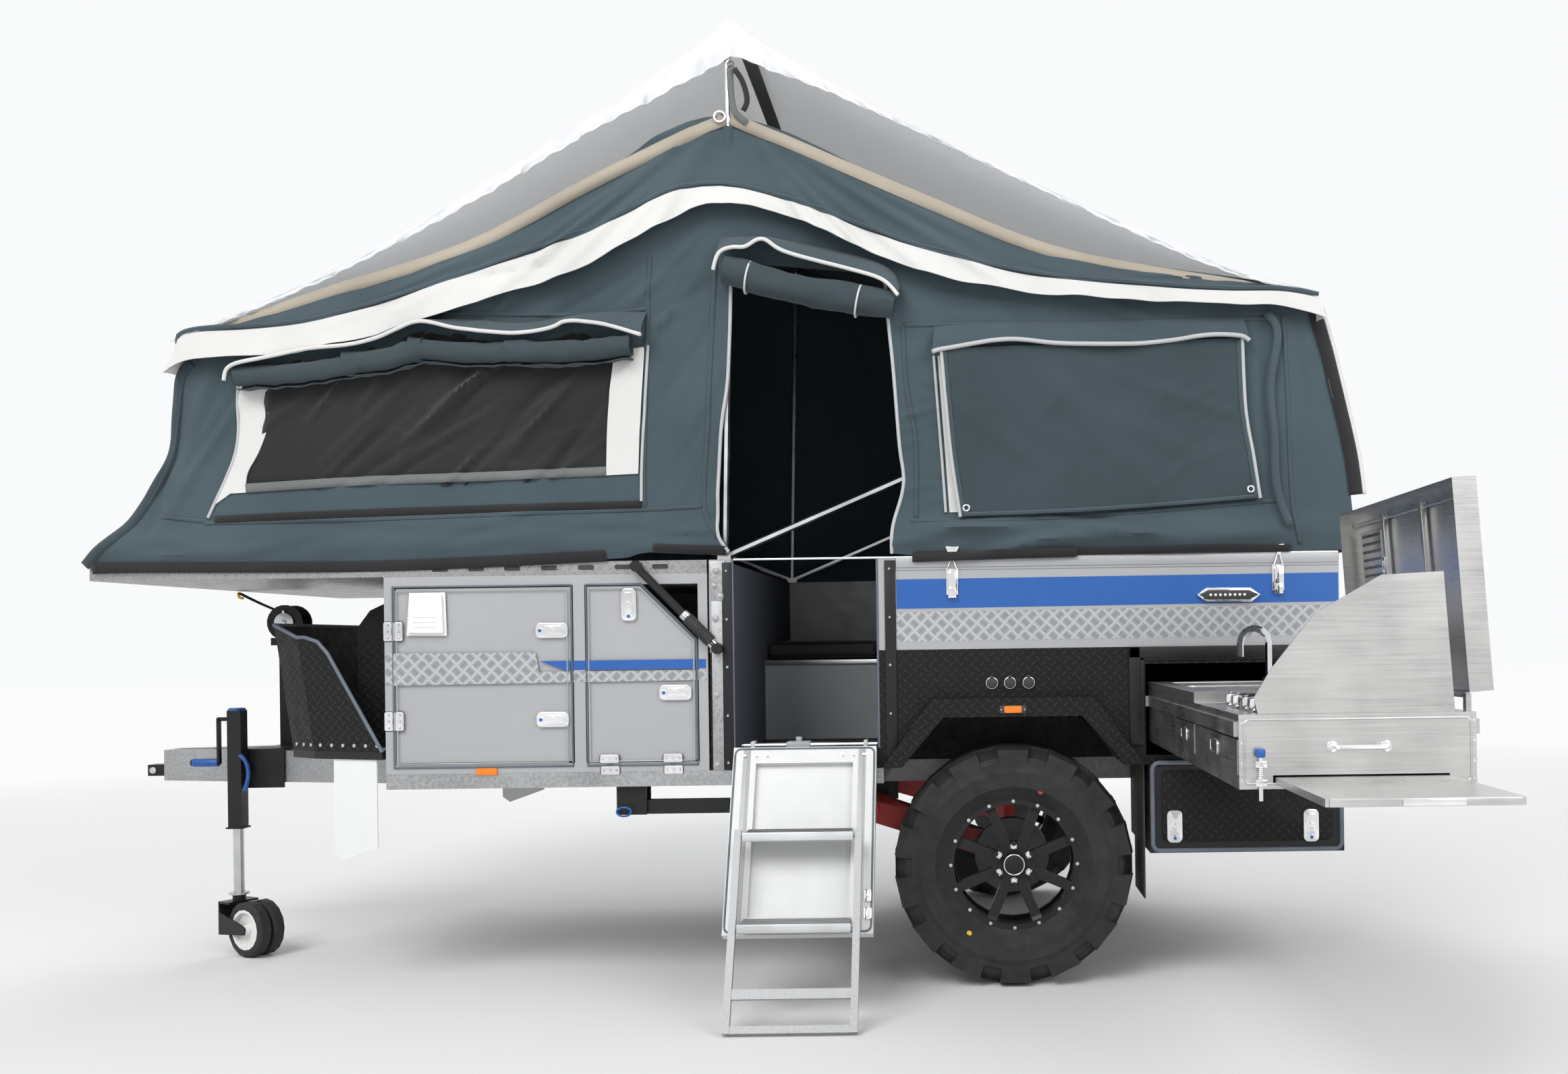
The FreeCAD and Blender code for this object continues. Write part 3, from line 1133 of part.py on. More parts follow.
    lean = size("lid_lean")
    base = point(size("kitchen_right") - 8, -size(EDGE) - size("kitchen_out") + 16, size("lid_pivot"))
    pan = Part.makeBox(size("lid_deep"), size("lid_long"), size("lid_tall") - 8, Vector(0, 0, 8))
    hollow = Part.makeBox(size("lid_deep"), size("lid_long") - 6, size("lid_tall") - 14, Vector(-3, 3, 11))
    barrel_long = size("hob_long") - 40 - 30 - 2 * size("fit_gap")
    barrel = bar(6, barrel_long, Vector(0, 28 + size("fit_gap"), 0), Vector(0, 1, 0), 10)
    web = Part.makeBox(10, barrel_long, 12, Vector(0, 28 + size("fit_gap"), 0))
    lid = shaped("lid_pan", pan.cut(hollow).multiFuse([barrel, web]))
    lid.Placement = Placement(base, Rotation(Vector(0, 1, 0), -lean))
    node("kitchen_lid", lid)
    ear = [Part.makeBox(12, 20, size("lid_pivot") - size("kitchen_deck") + 5,
                        point(base.x - 6, base.y + spot, size("kitchen_deck") + size("fit_gap")))
           for spot in (8, size("hob_long") - 40)]
    node("lid_ears", shaped("ears", Part.makeCompound(ear)))

    guard = profile("guard_plate", "XZ", side([
        ("kitchen_left + 45", "kitchen_deck + fit_gap"), ("kitchen_left + 36", "1016"),
        ("kitchen_left + 77", "1083"),
        ("kitchen_left + 176", "1205"), ("kitchen_left + 326", "1289"), ("kitchen_left + 467", "1296"),
        ("kitchen_left + 489", "kitchen_deck + fit_gap")]), f"{near} + 6", f"{near} + 9")
    node("wind_guard", guard)
    slides = [box(f"slide_{where}", span, (f"5 - {EDGE}", "bay_end - fit_gap"), ("928", "962"))
              for where, span in (("front", ("bay_left + fit_gap", "bay_left + 7")),
                                  ("rear", ("bay_right - 19", "bay_right - fit_gap")))]
    node("kitchen_slides", group("slides", slides))


def tent_gable(inset):
    """The tent's end outline, drawn in by a cloth's thickness."""
    return side([
        (f"tent_front_foot + {inset}", "cabin_top + fit_gap"),
        (f"tent_front_eave + {inset}", f"front_eave_height - {inset}"),
        ("ridge_place", f"ridge_height - {inset}"),
        (f"tent_rear_eave - {inset}", f"rear_eave_height - {inset}"),
        (f"tent_rear_foot - {inset}", "cabin_top + fit_gap")])


def tent():
    """Canvas body, hollow and open below, with its doorway and windows, the fly and the poles."""
    inside = tent_gable("cloth")
    inside[0] = (inside[0][0], height("cabin_top - 5"))
    inside[4] = (inside[4][0], height("cabin_top - 5"))
    seam = f"{EDGE} - cloth - fit_gap"
    outer = profile("tent_outer", "XZ", tent_gable(0), f"-({seam})", seam)
    inner = profile("tent_inner", "XZ", inside, f"-{EDGE}", EDGE)
    band = cut("tent_band", outer, [inner])
    near_wall, far_wall = (f"-{EDGE} - 1", f"cloth + 1 - {EDGE}"), (f"{EDGE} - cloth - 1", f"{EDGE} + 1")
    near = cut("tent_near", profile("near_gable", "XZ", tent_gable(0), f"-{EDGE}", f"cloth - {EDGE}"), [
        box("tent_doorway", ("tent_door_left", "tent_door_right"), near_wall,
            ("cabin_top - 5", "tent_door_top")),
        box("near_window", ("window_left", "window_right"), near_wall, ("window_low", "window_top"))])
    far = cut("tent_far", profile("far_gable", "XZ", tent_gable(0), f"{EDGE} - cloth", EDGE), [
        box("far_window", ("far_window_left", "far_window_right"), far_wall, ("window_low", "window_top")),
        box("far_front_window", ("window_left", "window_right"), far_wall, ("window_low", "window_top"))])
    node("tent_canvas", group("canvas", [band, near, far]))
    fly = profile("fly_sheet", "XZ", side([
        ("tent_front_eave - 40", "front_eave_height + 2"), ("ridge_place", "fly_height - cloth"),
        ("tent_rear_eave + 40", "rear_eave_height + 2"), ("tent_rear_eave + 40", "rear_eave_height + 8"),
        ("ridge_place", "fly_height"), ("tent_front_eave - 40", "front_eave_height + 8")]),
        f"-{EDGE} - fly_out", f"{EDGE} + fly_out")
    node("tent_fly", fly)
    radius = size("pole_dia") / 2
    gap = size("fit_gap")
    poles = []
    for sign in (-1, 1):
        y = sign * (size(EDGE) + radius + gap)
        foot = point(size("ridge_place"), y, size("ridge_height") - size("pole_below"))
        head = point(size("ridge_place"), y, size("fly_height") - size("pole_short"))
        poles.append(rod(f"fly_pole_{sign}", foot, head, radius))
    node("fly_poles", group("flypoles", poles))
    inset = size("cloth") + radius + 12
    wide = size(EDGE) - inset
    knuckle = point(size("door_left") - 28, 0, size("cabin_top") + radius + size("fit_gap"))
    heads = (point(size("tent_front_eave") + 30, 0, size("front_eave_height") - 24),
             point(size("ridge_place"), 0, size("ridge_height") - 24),
             point(size("tent_rear_eave") - 30, 0, size("rear_eave_height") - 24))
    bars = []
    for head_point in heads:
        for sign in (-1, 1):
            shift = Vector(0, sign * wide, 0)
            way = head_point - knuckle
            bars.append(bar(radius, way.Length + radius / 2, knuckle + shift, way, 6))
        reach = wide + radius
        bars.append(bar(radius, 2 * reach, head_point - Vector(0, reach, 0), Vector(0, 1, 0), 6))
    for sign in (-1, 1):
        foot = Part.makeBox(44, 36, 16, Vector(-22, -18, 0))
        foot.translate(Vector(knuckle.x, sign * (wide + 4), knuckle.z - radius))
        bars.append(foot)
    node("tent_bows", shaped("bows", bars[0].multiFuse(bars[1:])))


def tail_lamps():
    """Plain rear lamps on the tub."""
    near = box("lamp_near", ("cabin_rear + fit_gap", "cabin_rear + 22"),
               (f"40 - {EDGE}", f"260 - {EDGE}"), ("980", "1080"))
    node("tail_lamps", group("lamps", [near, mirrored("lamp_far", near)]))


for make in (chassis, coupling, stone_guard, guard_frame, front_locker, winch, front_flaps,
             side_lockers, platform, tub, upper_body, interior, flares, rear_flaps, storage, jack,
             entry_door, steps, stabilisers, kitchen, tent, tail_lamps):
    make()
for where, sense in (("near", -1), ("far", 1)):
    tyre(where, sense)
    rim(where, sense)
carriers = [suspension(where, sense) for where, sense in (("near", -1), ("far", 1))]
for label, pair in zip(("trailing_arms", "arm_hangers", "brake_drums"), zip(*carriers)):
    node(label, group(f"{label}_pair", list(pair)))


doc.recompute()
os.makedirs("parts", exist_ok=True)
for item in doc.Objects:
    if "Invalid" in item.State or "Error" in item.State:
        raise RuntimeError(f"{item.Name} did not recompute: {item.State}")
for label, item in nodes.items():
    shape = item.Shape
    if shape.isNull() or not shape.isValid():
        raise RuntimeError(f"{label} has no valid shape")
    shape.exportStep(f"parts/{label}.step")
    print(label, len(shape.Solids), round(shape.Volume / 1e6, 2), "litres")
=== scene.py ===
"""Looks for a forward-fold camper trailer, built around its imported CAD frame.

Everything is in metres in the row frame: +X to the rear, -Y the kerb side, +Z up, with the
origin at the coupling's bore. Each sub-assembly is a class that models its pieces and dresses
them, and main builds the classes in order.
"""

import json
import logging
import math
import random
from dataclasses import dataclass, field
from enum import Enum
from typing import Callable, Iterable, Optional, Sequence, Union

import bmesh
import bpy
from mathutils import Matrix, Vector, geometry, noise

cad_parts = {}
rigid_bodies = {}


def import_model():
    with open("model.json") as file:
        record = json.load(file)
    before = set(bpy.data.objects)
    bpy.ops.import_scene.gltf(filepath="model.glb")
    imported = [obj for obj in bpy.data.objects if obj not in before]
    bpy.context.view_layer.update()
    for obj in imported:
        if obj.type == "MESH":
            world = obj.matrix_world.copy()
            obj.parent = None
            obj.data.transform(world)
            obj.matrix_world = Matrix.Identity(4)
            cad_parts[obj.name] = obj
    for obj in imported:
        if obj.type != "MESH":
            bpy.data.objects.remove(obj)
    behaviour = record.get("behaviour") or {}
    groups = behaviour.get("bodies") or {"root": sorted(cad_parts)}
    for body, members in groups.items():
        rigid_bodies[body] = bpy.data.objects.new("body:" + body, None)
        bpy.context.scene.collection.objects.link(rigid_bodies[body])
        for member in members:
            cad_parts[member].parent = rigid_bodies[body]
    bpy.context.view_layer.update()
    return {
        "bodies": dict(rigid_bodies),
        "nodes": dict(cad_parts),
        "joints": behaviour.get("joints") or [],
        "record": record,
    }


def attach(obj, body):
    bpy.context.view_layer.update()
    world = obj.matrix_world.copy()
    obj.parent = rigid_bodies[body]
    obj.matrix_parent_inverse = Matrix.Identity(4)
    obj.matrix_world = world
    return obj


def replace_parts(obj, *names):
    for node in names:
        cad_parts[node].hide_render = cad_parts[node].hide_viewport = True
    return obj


LOG = logging.getLogger("camper")
GROUND = -0.683
HALF = 0.950
SMOOTH_ANGLE = math.radians(40)
CLOTH_ANGLE = math.radians(60)
BAR_ANGLE = math.radians(50)
FABRIC = 0.003
SILVER = 0.002
BEAD = 0.0065
SEAM = 0.014
PHOTO_WIDTH = 36.0
REARWARD = (1, 0, 0)
NEARWARD = (0, -1, 0)
UPWARD = (0, 0, 1)
Colour = tuple[float, float, float]
Point = tuple[float, float, float]
Flat = tuple[float, float]
Line = tuple[Flat, ...]
Thing = bpy.types.Object
Socket = bpy.types.NodeSocket
Feed = Union[Socket, float, Point]


def up(height: float) -> float:
    """The frame's z of a height above the ground."""
    return height + GROUND


class Side(Enum):
    """The two long sides of the trailer, by the sign of y."""

    NEAR = -1
    FAR = 1

    @property
    def word(self) -> str:
        """Its name as the pieces' names have it."""
        return self.name.lower()


# materials


class Nodes:
    """Builds a shader tree with short calls."""

    def __init__(self, name: str) -> None:
        """Starts a material with a Principled surface and object coordinates.

        Args:
            name: the material's name.
        """
        self.material = bpy.data.materials.new(name)
        self.material.use_nodes = True
        self.tree = self.material.node_tree
        self.shader = self.tree.nodes["Principled BSDF"]
        self.coords = self.tree.nodes.new("ShaderNodeTexCoord")

    def link(self, source: Feed, target: Socket) -> None:
        """Joins an output, or sets a number, on an input socket.

        Args:
            source: an output, or the value to set.
            target: the input socket.
        """
        if isinstance(source, Socket):
            self.tree.links.new(source, target)
        else:
            target.default_value = source

    def place(self) -> Socket:
        """The object coordinates."""
        return self.coords.outputs["Object"]

    def math(self, kind: str, a: Feed, b: Feed = 0.0, c: Optional[Feed] = None) -> Socket:
        """A Math node.

        Args:
            kind: the operation, as Blender names it.
            a: the first value or socket.
            b: the second value or socket.
            c: the third value or socket, if the operation has one.

        Returns:
            The node's output socket.
        """
        node = self.tree.nodes.new("ShaderNodeMath")
        node.operation = kind
        self.link(a, node.inputs[0])
        self.link(b, node.inputs[1])
        if c is not None:
            self.link(c, node.inputs[2])
        return node.outputs[0]

    def split(self, vector: Socket) -> list[Socket]:
        """The three parts of a vector.

        Args:
            vector: the coordinates, or none for the object's own.

        Returns:
            The outputs for X, Y and Z.
        """
        node = self.tree.nodes.new("ShaderNodeSeparateXYZ")
        self.link(vector, node.inputs[0])
        return list(node.outputs)

    def scaled(self, factors: Point, turn: Point = (0, 0, 0),
               source: Optional[Socket] = None) -> Socket:
        """Object coordinates through a Mapping node.

        Args:
            factors: scale along each axis.
            turn: rotation in radians.
            source: a vector socket in place of the object coordinates.

        Returns:
            The mapped vector socket.
        """
        node = self.tree.nodes.new("ShaderNodeMapping")
        self.link(source or self.place(), node.inputs["Vector"])
        node.inputs["Scale"].default_value = factors
        node.inputs["Rotation"].default_value = turn
        return node.outputs[0]

    def noise(self, scale: float, detail: float = 3.0, vector: Optional[Socket] = None,
              rough: float = 0.5) -> Socket:
        """A Noise texture's value.

        Args:
            scale: how fine it is.
            detail: its levels of detail.
            vector: the coordinates, or none for the object's own.
            rough: how strong the fine levels are.

        Returns:
            The texture's value.
        """
        node = self.tree.nodes.new("ShaderNodeTexNoise")
        self.link(vector or self.place(), node.inputs["Vector"])
        node.inputs["Scale"].default_value = scale
        node.inputs["Detail"].default_value = detail
        node.inputs["Roughness"].default_value = rough
        return node.outputs["Fac"]

    def cells(self, scale: float, vector: Optional[Socket] = None, feature: str = "F1") -> Socket:
        """A Voronoi texture's distance.

        Args:
            scale: how fine it is.
            vector: the coordinates, or none for the object's own.
            feature: which distance is taken.

        Returns:
            The distance.
        """
        node = self.tree.nodes.new("ShaderNodeTexVoronoi")
        node.feature = feature
        self.link(vector or self.place(), node.inputs["Vector"])
        node.inputs["Scale"].default_value = scale
        return node.outputs["Distance"]

    def ramp(self, value: Feed, low: float, high: float, start: float = 0.0,
             end: float = 1.0) -> Socket:
        """A clamped Map Range from low..high to start..end.

        Args:
            value: what is mapped.
            low: the value that gives the start.
            high: the value that gives the end.
            start: the result at the low value.
            end: the result at the high value.

        Returns:
            The mapped value.
        """
        node = self.tree.nodes.new("ShaderNodeMapRange")
        self.link(value, node.inputs["Value"])
        for name, number in (("From Min", low), ("From Max", high), ("To Min", start), ("To Max", end)):
            self.link(number, node.inputs[name])
        return node.outputs["Result"]

    def mix(self, fac: Feed, a: Feed, b: Feed) -> Socket:
        """A colour mix.

        Args:
            fac: share of the second colour.
            a: the first colour or socket.
            b: the second colour or socket.

        Returns:
            The mixed colour socket.
        """
        node = self.tree.nodes.new("ShaderNodeMix")
        node.data_type = "RGBA"
        self.link(fac, node.inputs["Factor"])
        for value, socket in ((a, node.inputs[6]), (b, node.inputs[7])):
            self.link((*value, 1.0) if isinstance(value, tuple) else value, socket)
        return node.outputs[2]

    def colour(self, value: Feed) -> None:
        """Sets the base colour."""
        self.link((*value, 1.0) if isinstance(value, tuple) else value, self.shader.inputs["Base Color"])

    def rough(self, value: Feed) -> None:
        """Sets the roughness."""
        self.link(value, self.shader.inputs["Roughness"])

    def bump(self, height: Socket, depth: float, strength: float = 1.0) -> None:
        """Adds a bump to the surface's normal, on top of any that is there.

        Args:
            height: the height's output.
            depth: how deep a height of 1 is, in metres.
            strength: how strong it looks.
        """
        node = self.tree.nodes.new("ShaderNodeBump")
        node.inputs["Strength"].default_value = strength
        node.inputs["Distance"].default_value = depth
        self.link(height, node.inputs["Height"])
        before = self.shader.inputs["Normal"]
        if before.is_linked:
            self.tree.links.new(before.links[0].from_socket, node.inputs["Normal"])
        self.tree.links.new(node.outputs[0], before)

    def constant(self, **values: float) -> None:
        """Sets constants straight on the shader's sockets, by name with _ for a space."""
        for name, value in values.items():
            self.shader.inputs[name.replace("_", " ")].default_value = value

    def plane(self) -> tuple[Socket, Socket]:
        """Two coordinates that lie in the surface, picked by the way it faces.

        Returns:
            The coordinates across and along the surface.
        """
        x, y, z = self.split(self.place())
        nx, _, nz = self.split(self.coords.outputs["Normal"])
        end_on = self.math("GREATER_THAN", self.math("ABSOLUTE", nx), 0.75)
        flat = self.math("GREATER_THAN", self.math("ABSOLUTE", nz), 0.75)
        across = self.math("ADD", x, self.math("MULTIPLY", end_on, self.math("SUBTRACT", y, x)))
        along = self.math("ADD", z, self.math("MULTIPLY", flat, self.math("SUBTRACT", y, z)))
        return across, along


@dataclass(frozen=True)
class Paint:
    """A sprayed or powder-coated metal, with slight orange peel and dust."""

    name: str
    colour: Colour
    rough: float = 0.35
    metal: float = 0.0
    coat: float = 0.0
    dust: float = 0.06
    peel: float = 0.00015
    shine: float = 0.5

    def make(self) -> bpy.types.Material:
        """Builds the material.

        Returns:
            The material.
        """
        n = Nodes(self.name)
        cloud = n.noise(3.0, 4.0)
        fine = n.noise(900.0, 2.0)
        darker = tuple(c * (1 - 1.2 * self.dust) for c in self.colour)
        lighter = tuple(min(1.0, c * (1 + 1.2 * self.dust) + 0.25 * self.dust) for c in self.colour)
        n.colour(n.mix(n.ramp(cloud, 0.3, 0.7), darker, lighter))
        n.rough(n.ramp(n.noise(14.0, 3.0), 0.3, 0.7, self.rough - 0.06, self.rough + 0.08))
        n.constant(Metallic=self.metal, Coat_Weight=self.coat, Specular_IOR_Level=self.shine)
        n.bump(fine, self.peel)
        return n.material


@dataclass(frozen=True)
class Steel:
    """Bare metal: brushed, zinc-plated or hot-dip galvanised with its spangle."""

    name: str
    colour: Colour = (0.62, 0.63, 0.64)
    rough: float = 0.34
    brushed: Optional[Point] = None
    spangle: float = 0.0
    metal: float = 1.0

    def make(self) -> bpy.types.Material:
        """Builds the material.

        Returns:
            The material.
        """
        n = Nodes(self.name)
        n.constant(Metallic=self.metal)
        tone = n.noise(6.0, 5.0)
        if self.spangle:
            flakes = n.cells(90.0)
            tone = n.math("ADD", n.math("MULTIPLY", tone, 0.6), n.math("MULTIPLY", flakes, self.spangle))
        if self.brushed:
            lines = n.noise(1.0, 4.0, n.scaled(self.brushed), 0.7)
            tone = n.math("ADD", n.math("MULTIPLY", tone, 0.5), n.math("MULTIPLY", lines, 0.5))
            n.bump(lines, 0.00012)
        dark = tuple(c * 0.8 for c in self.colour)
        light = tuple(min(1.0, c * 1.15) for c in self.colour)
        n.colour(n.mix(n.ramp(tone, 0.3, 0.7), dark, light))
        n.rough(n.ramp(tone, 0.3, 0.75, self.rough - 0.08, self.rough + 0.12))
        return n.material


@dataclass(frozen=True)
class TreadPlate:
    """Checker plate: short raised bars in two directions on a grid."""

    name: str
    colour: Colour
    pitch: float = 0.034
    rough: float = 0.42
    metal: float = 0.0
    wear: float = 0.05
    shine: float = 0.5

    def bars(self, n: Nodes, across: Socket, along: Socket, shift: float, sign: float) -> Socket:
        """The height of one family of bars.

        Args:
            n: the shader under construction.
            across: first in-surface coordinate.
            along: second in-surface coordinate.
            shift: offset of this family in pitches.
            sign: which way its bars lean.

        Returns:
            1 on a bar and 0 between bars.
        """
        parts = []
        for value in (across, along):
            cell = n.math("ADD", n.math("DIVIDE", value, self.pitch), 100.0 + shift)
            parts.append(n.math("SUBTRACT", n.math("FRACT", cell), 0.5))
        lean = n.math("MULTIPLY", parts[1], sign)
        long = n.math("MULTIPLY", n.math("ADD", parts[0], lean), 1.55)
        thin = n.math("MULTIPLY", n.math("SUBTRACT", parts[0], lean), 5.2)
        reach = n.math("ADD", n.math("MULTIPLY", long, long), n.math("MULTIPLY", thin, thin))
        return n.ramp(reach, 0.25, 0.62, 1.0, 0.0)

    def make(self) -> bpy.types.Material:
        """Builds the material.

        Returns:
            The material.
        """
        n = Nodes(self.name)
        across, along = n.plane()
        height = n.math("MAXIMUM", self.bars(n, across, along, 0.0, 1.0),
                        self.bars(n, across, along, 0.5, -1.0))
        dusty = n.ramp(n.noise(5.0, 4.0), 0.35, 0.75)
        low = tuple(min(1.0, c * (1 + self.wear) + self.wear * 0.5) for c in self.colour)
        crown = tuple(min(1.0, c * 1.25 + 0.03) for c in self.colour)
        base = n.mix(n.math("MULTIPLY", dusty, 0.6), self.colour, low)
        n.colour(n.mix(n.math("MULTIPLY", height, 0.55), base, crown))
        n.rough(n.ramp(n.noise(20.0, 3.0), 0.3, 0.7, self.rough - 0.07, self.rough + 0.1))
        n.constant(Metallic=self.metal, Specular_IOR_Level=self.shine)
        n.bump(height, 0.0016)
        n.bump(n.noise(700.0, 2.0), 0.0001)
        return n.material


@dataclass(frozen=True)
class PrintedTread:
    """A printed checker-plate band: groups of five dark strokes that lean one way and then the other."""

    name: str
    colour: Colour
    ink: Colour
    pitch: float = 0.046

    def strokes(self, n: Nodes, across: Socket, along: Socket, shift: float, sign: float) -> Socket:
        """One family of stroke groups, 1 on a stroke.

        Args:
            n: the material's nodes.
            across: the coordinate across the sheet.
            along: the coordinate along the sheet.
            shift: the family's shift in its grid.
            sign: which way it leans.

        Returns:
            The family's output.
        """
        parts = []
        for value in (across, along):
            cell = n.math("ADD", n.math("DIVIDE", value, self.pitch), 100.0 + shift)
            parts.append(n.math("SUBTRACT", n.math("FRACT", cell), 0.5))
        lean = n.math("MULTIPLY", parts[1], sign)
        long = n.math("MULTIPLY", n.math("ADD", parts[0], lean), 2.1)
        turn = n.math("SUBTRACT", parts[0], lean)
        step = n.math("SUBTRACT", n.math("FRACT", n.math("ADD", n.math("DIVIDE", turn, 0.155), 50.5)), 0.5)
        thin = n.math("MULTIPLY", step, 2.3)
        reach = n.math("ADD", n.math("MULTIPLY", long, long), n.math("MULTIPLY", thin, thin))
        stroke = n.ramp(reach, 0.5, 0.8, 1.0, 0.0)
        return n.math("MULTIPLY", stroke, n.ramp(n.math("ABSOLUTE", turn), 0.37, 0.39, 1.0, 0.0))

    def make(self) -> bpy.types.Material:
        """Builds the material.

        Returns:
            The material.
        """
        n = Nodes(self.name)
        x, _, z = n.split(n.place())
        ink = n.math("MAXIMUM", self.strokes(n, x, z, 0.0, 1.0), self.strokes(n, x, z, 0.5, -1.0))
        cloud = n.ramp(n.noise(4.0, 3.0), 0.3, 0.7)
        gain = n.math("MULTIPLY", ink, 0.8)
        base = n.mix(cloud, self.colour, tuple(c * 0.93 for c in self.colour))
        n.colour(n.mix(gain, base, self.ink))
        n.rough(n.ramp(ink, 0.0, 1.0, 0.34, 0.5))
        n.constant(Metallic=0.2)
        n.bump(ink, 0.00008)
        return n.material


@dataclass(frozen=True)
class Plastic:
    """Moulded plastic or rubber."""

    name: str
    colour: Colour
    rough: float = 0.5
    grain: float = 0.0002
    alpha: float = 1.0
    dust: float = 0.08
    glow: float = 0.0

    def make(self) -> bpy.types.Material:
        """Builds the material.

        Returns:
            The material.
        """
        n = Nodes(self.name)
        cloud = n.ramp(n.noise(9.0, 4.0), 0.35, 0.7)
        pale = tuple(min(1.0, c * (1 + self.dust) + self.dust * 0.22) for c in self.colour)
        n.colour(n.mix(cloud, self.colour, pale))
        n.rough(n.ramp(n.noise(30.0, 3.0), 0.3, 0.7, self.rough - 0.07, self.rough + 0.09))
        n.constant(Alpha=self.alpha)
        n.bump(n.noise(500.0, 3.0), self.grain)
        return n.material


@dataclass(frozen=True)
class Cloth:
    """Woven cloth: a fine weave, soft creases and a little fading."""

    name: str
    colour: Colour
    thread: float = 0.0016
    fade: float = 0.14
    crease: float = 0.003
    sheen: float = 0.15
    rough: float = 0.85
    alpha: float = 1.0
    gloss: float = 0.3
    stitch: Optional[Colour] = None
    glow: float = 0.0

    def sew(self, n: Nodes, tone: Feed) -> Socket:
        """Two rows of stitches along a tape, by its own UV map.

        Args:
            n: the shader under construction.
            tone: the cloth's colour under the thread.

        Returns:
            The colour with the thread on it.
        """
        run = n.tree.nodes.new("ShaderNodeUVMap")
        run.uv_map = "run"
        along, across, _ = n.split(run.outputs[0])
        dash = n.math("LESS_THAN", n.math("FRACT", n.math("MULTIPLY", along, 150.0)), 0.68)
        rows = [n.math("COMPARE", across, place, 0.055) for place in (0.22, 0.78)]
        thread = n.math("MULTIPLY", dash, n.math("MAXIMUM", *rows))
        n.bump(thread, 0.0008)
        return n.mix(thread, tone, self.stitch)

    def make(self) -> bpy.types.Material:
        """Builds the material.

        Returns:
            The material.
        """
        n = Nodes(self.name)
        across, along = n.plane()
        turns = math.tau / self.thread
        warp = n.math("SINE", n.math("MULTIPLY", across, turns))
        weft = n.math("SINE", n.math("MULTIPLY", along, turns))
        weave = n.math("MULTIPLY", warp, weft)
        patchy = n.ramp(n.noise(2.2, 5.0), 0.3, 0.7)
        dark = tuple(c * (1 - self.fade) for c in self.colour)
        light = tuple(min(1.0, c * (1 + self.fade) + 0.01) for c in self.colour)
        tone = n.mix(patchy, dark, light)
        tone = n.mix(n.ramp(weave, -1.0, 1.0, 0.0, 0.25), tone, tuple(c * 0.6 for c in self.colour))
        n.colour(self.sew(n, tone) if self.stitch else tone)
        n.rough(n.ramp(patchy, 0.0, 1.0, self.rough - 0.06, min(1.0, self.rough + 0.06)))
        n.constant(Sheen_Weight=self.sheen, Sheen_Roughness=0.5, Alpha=self.alpha,
                   Specular_IOR_Level=self.gloss, Subsurface_Weight=self.glow, Subsurface_Scale=0.02)
        n.shader.inputs["Subsurface Radius"].default_value = (1.0, 1.0, 1.0)
        n.bump(n.noise(7.0, 3.0, n.scaled((1.0, 1.0, 0.6))), self.crease * 2.0, 0.35)
        n.bump(n.noise(38.0, 3.0), self.crease * 0.3, 0.4)
        n.bump(weave, self.thread * 0.18, 0.6)
        return n.material


# finishes


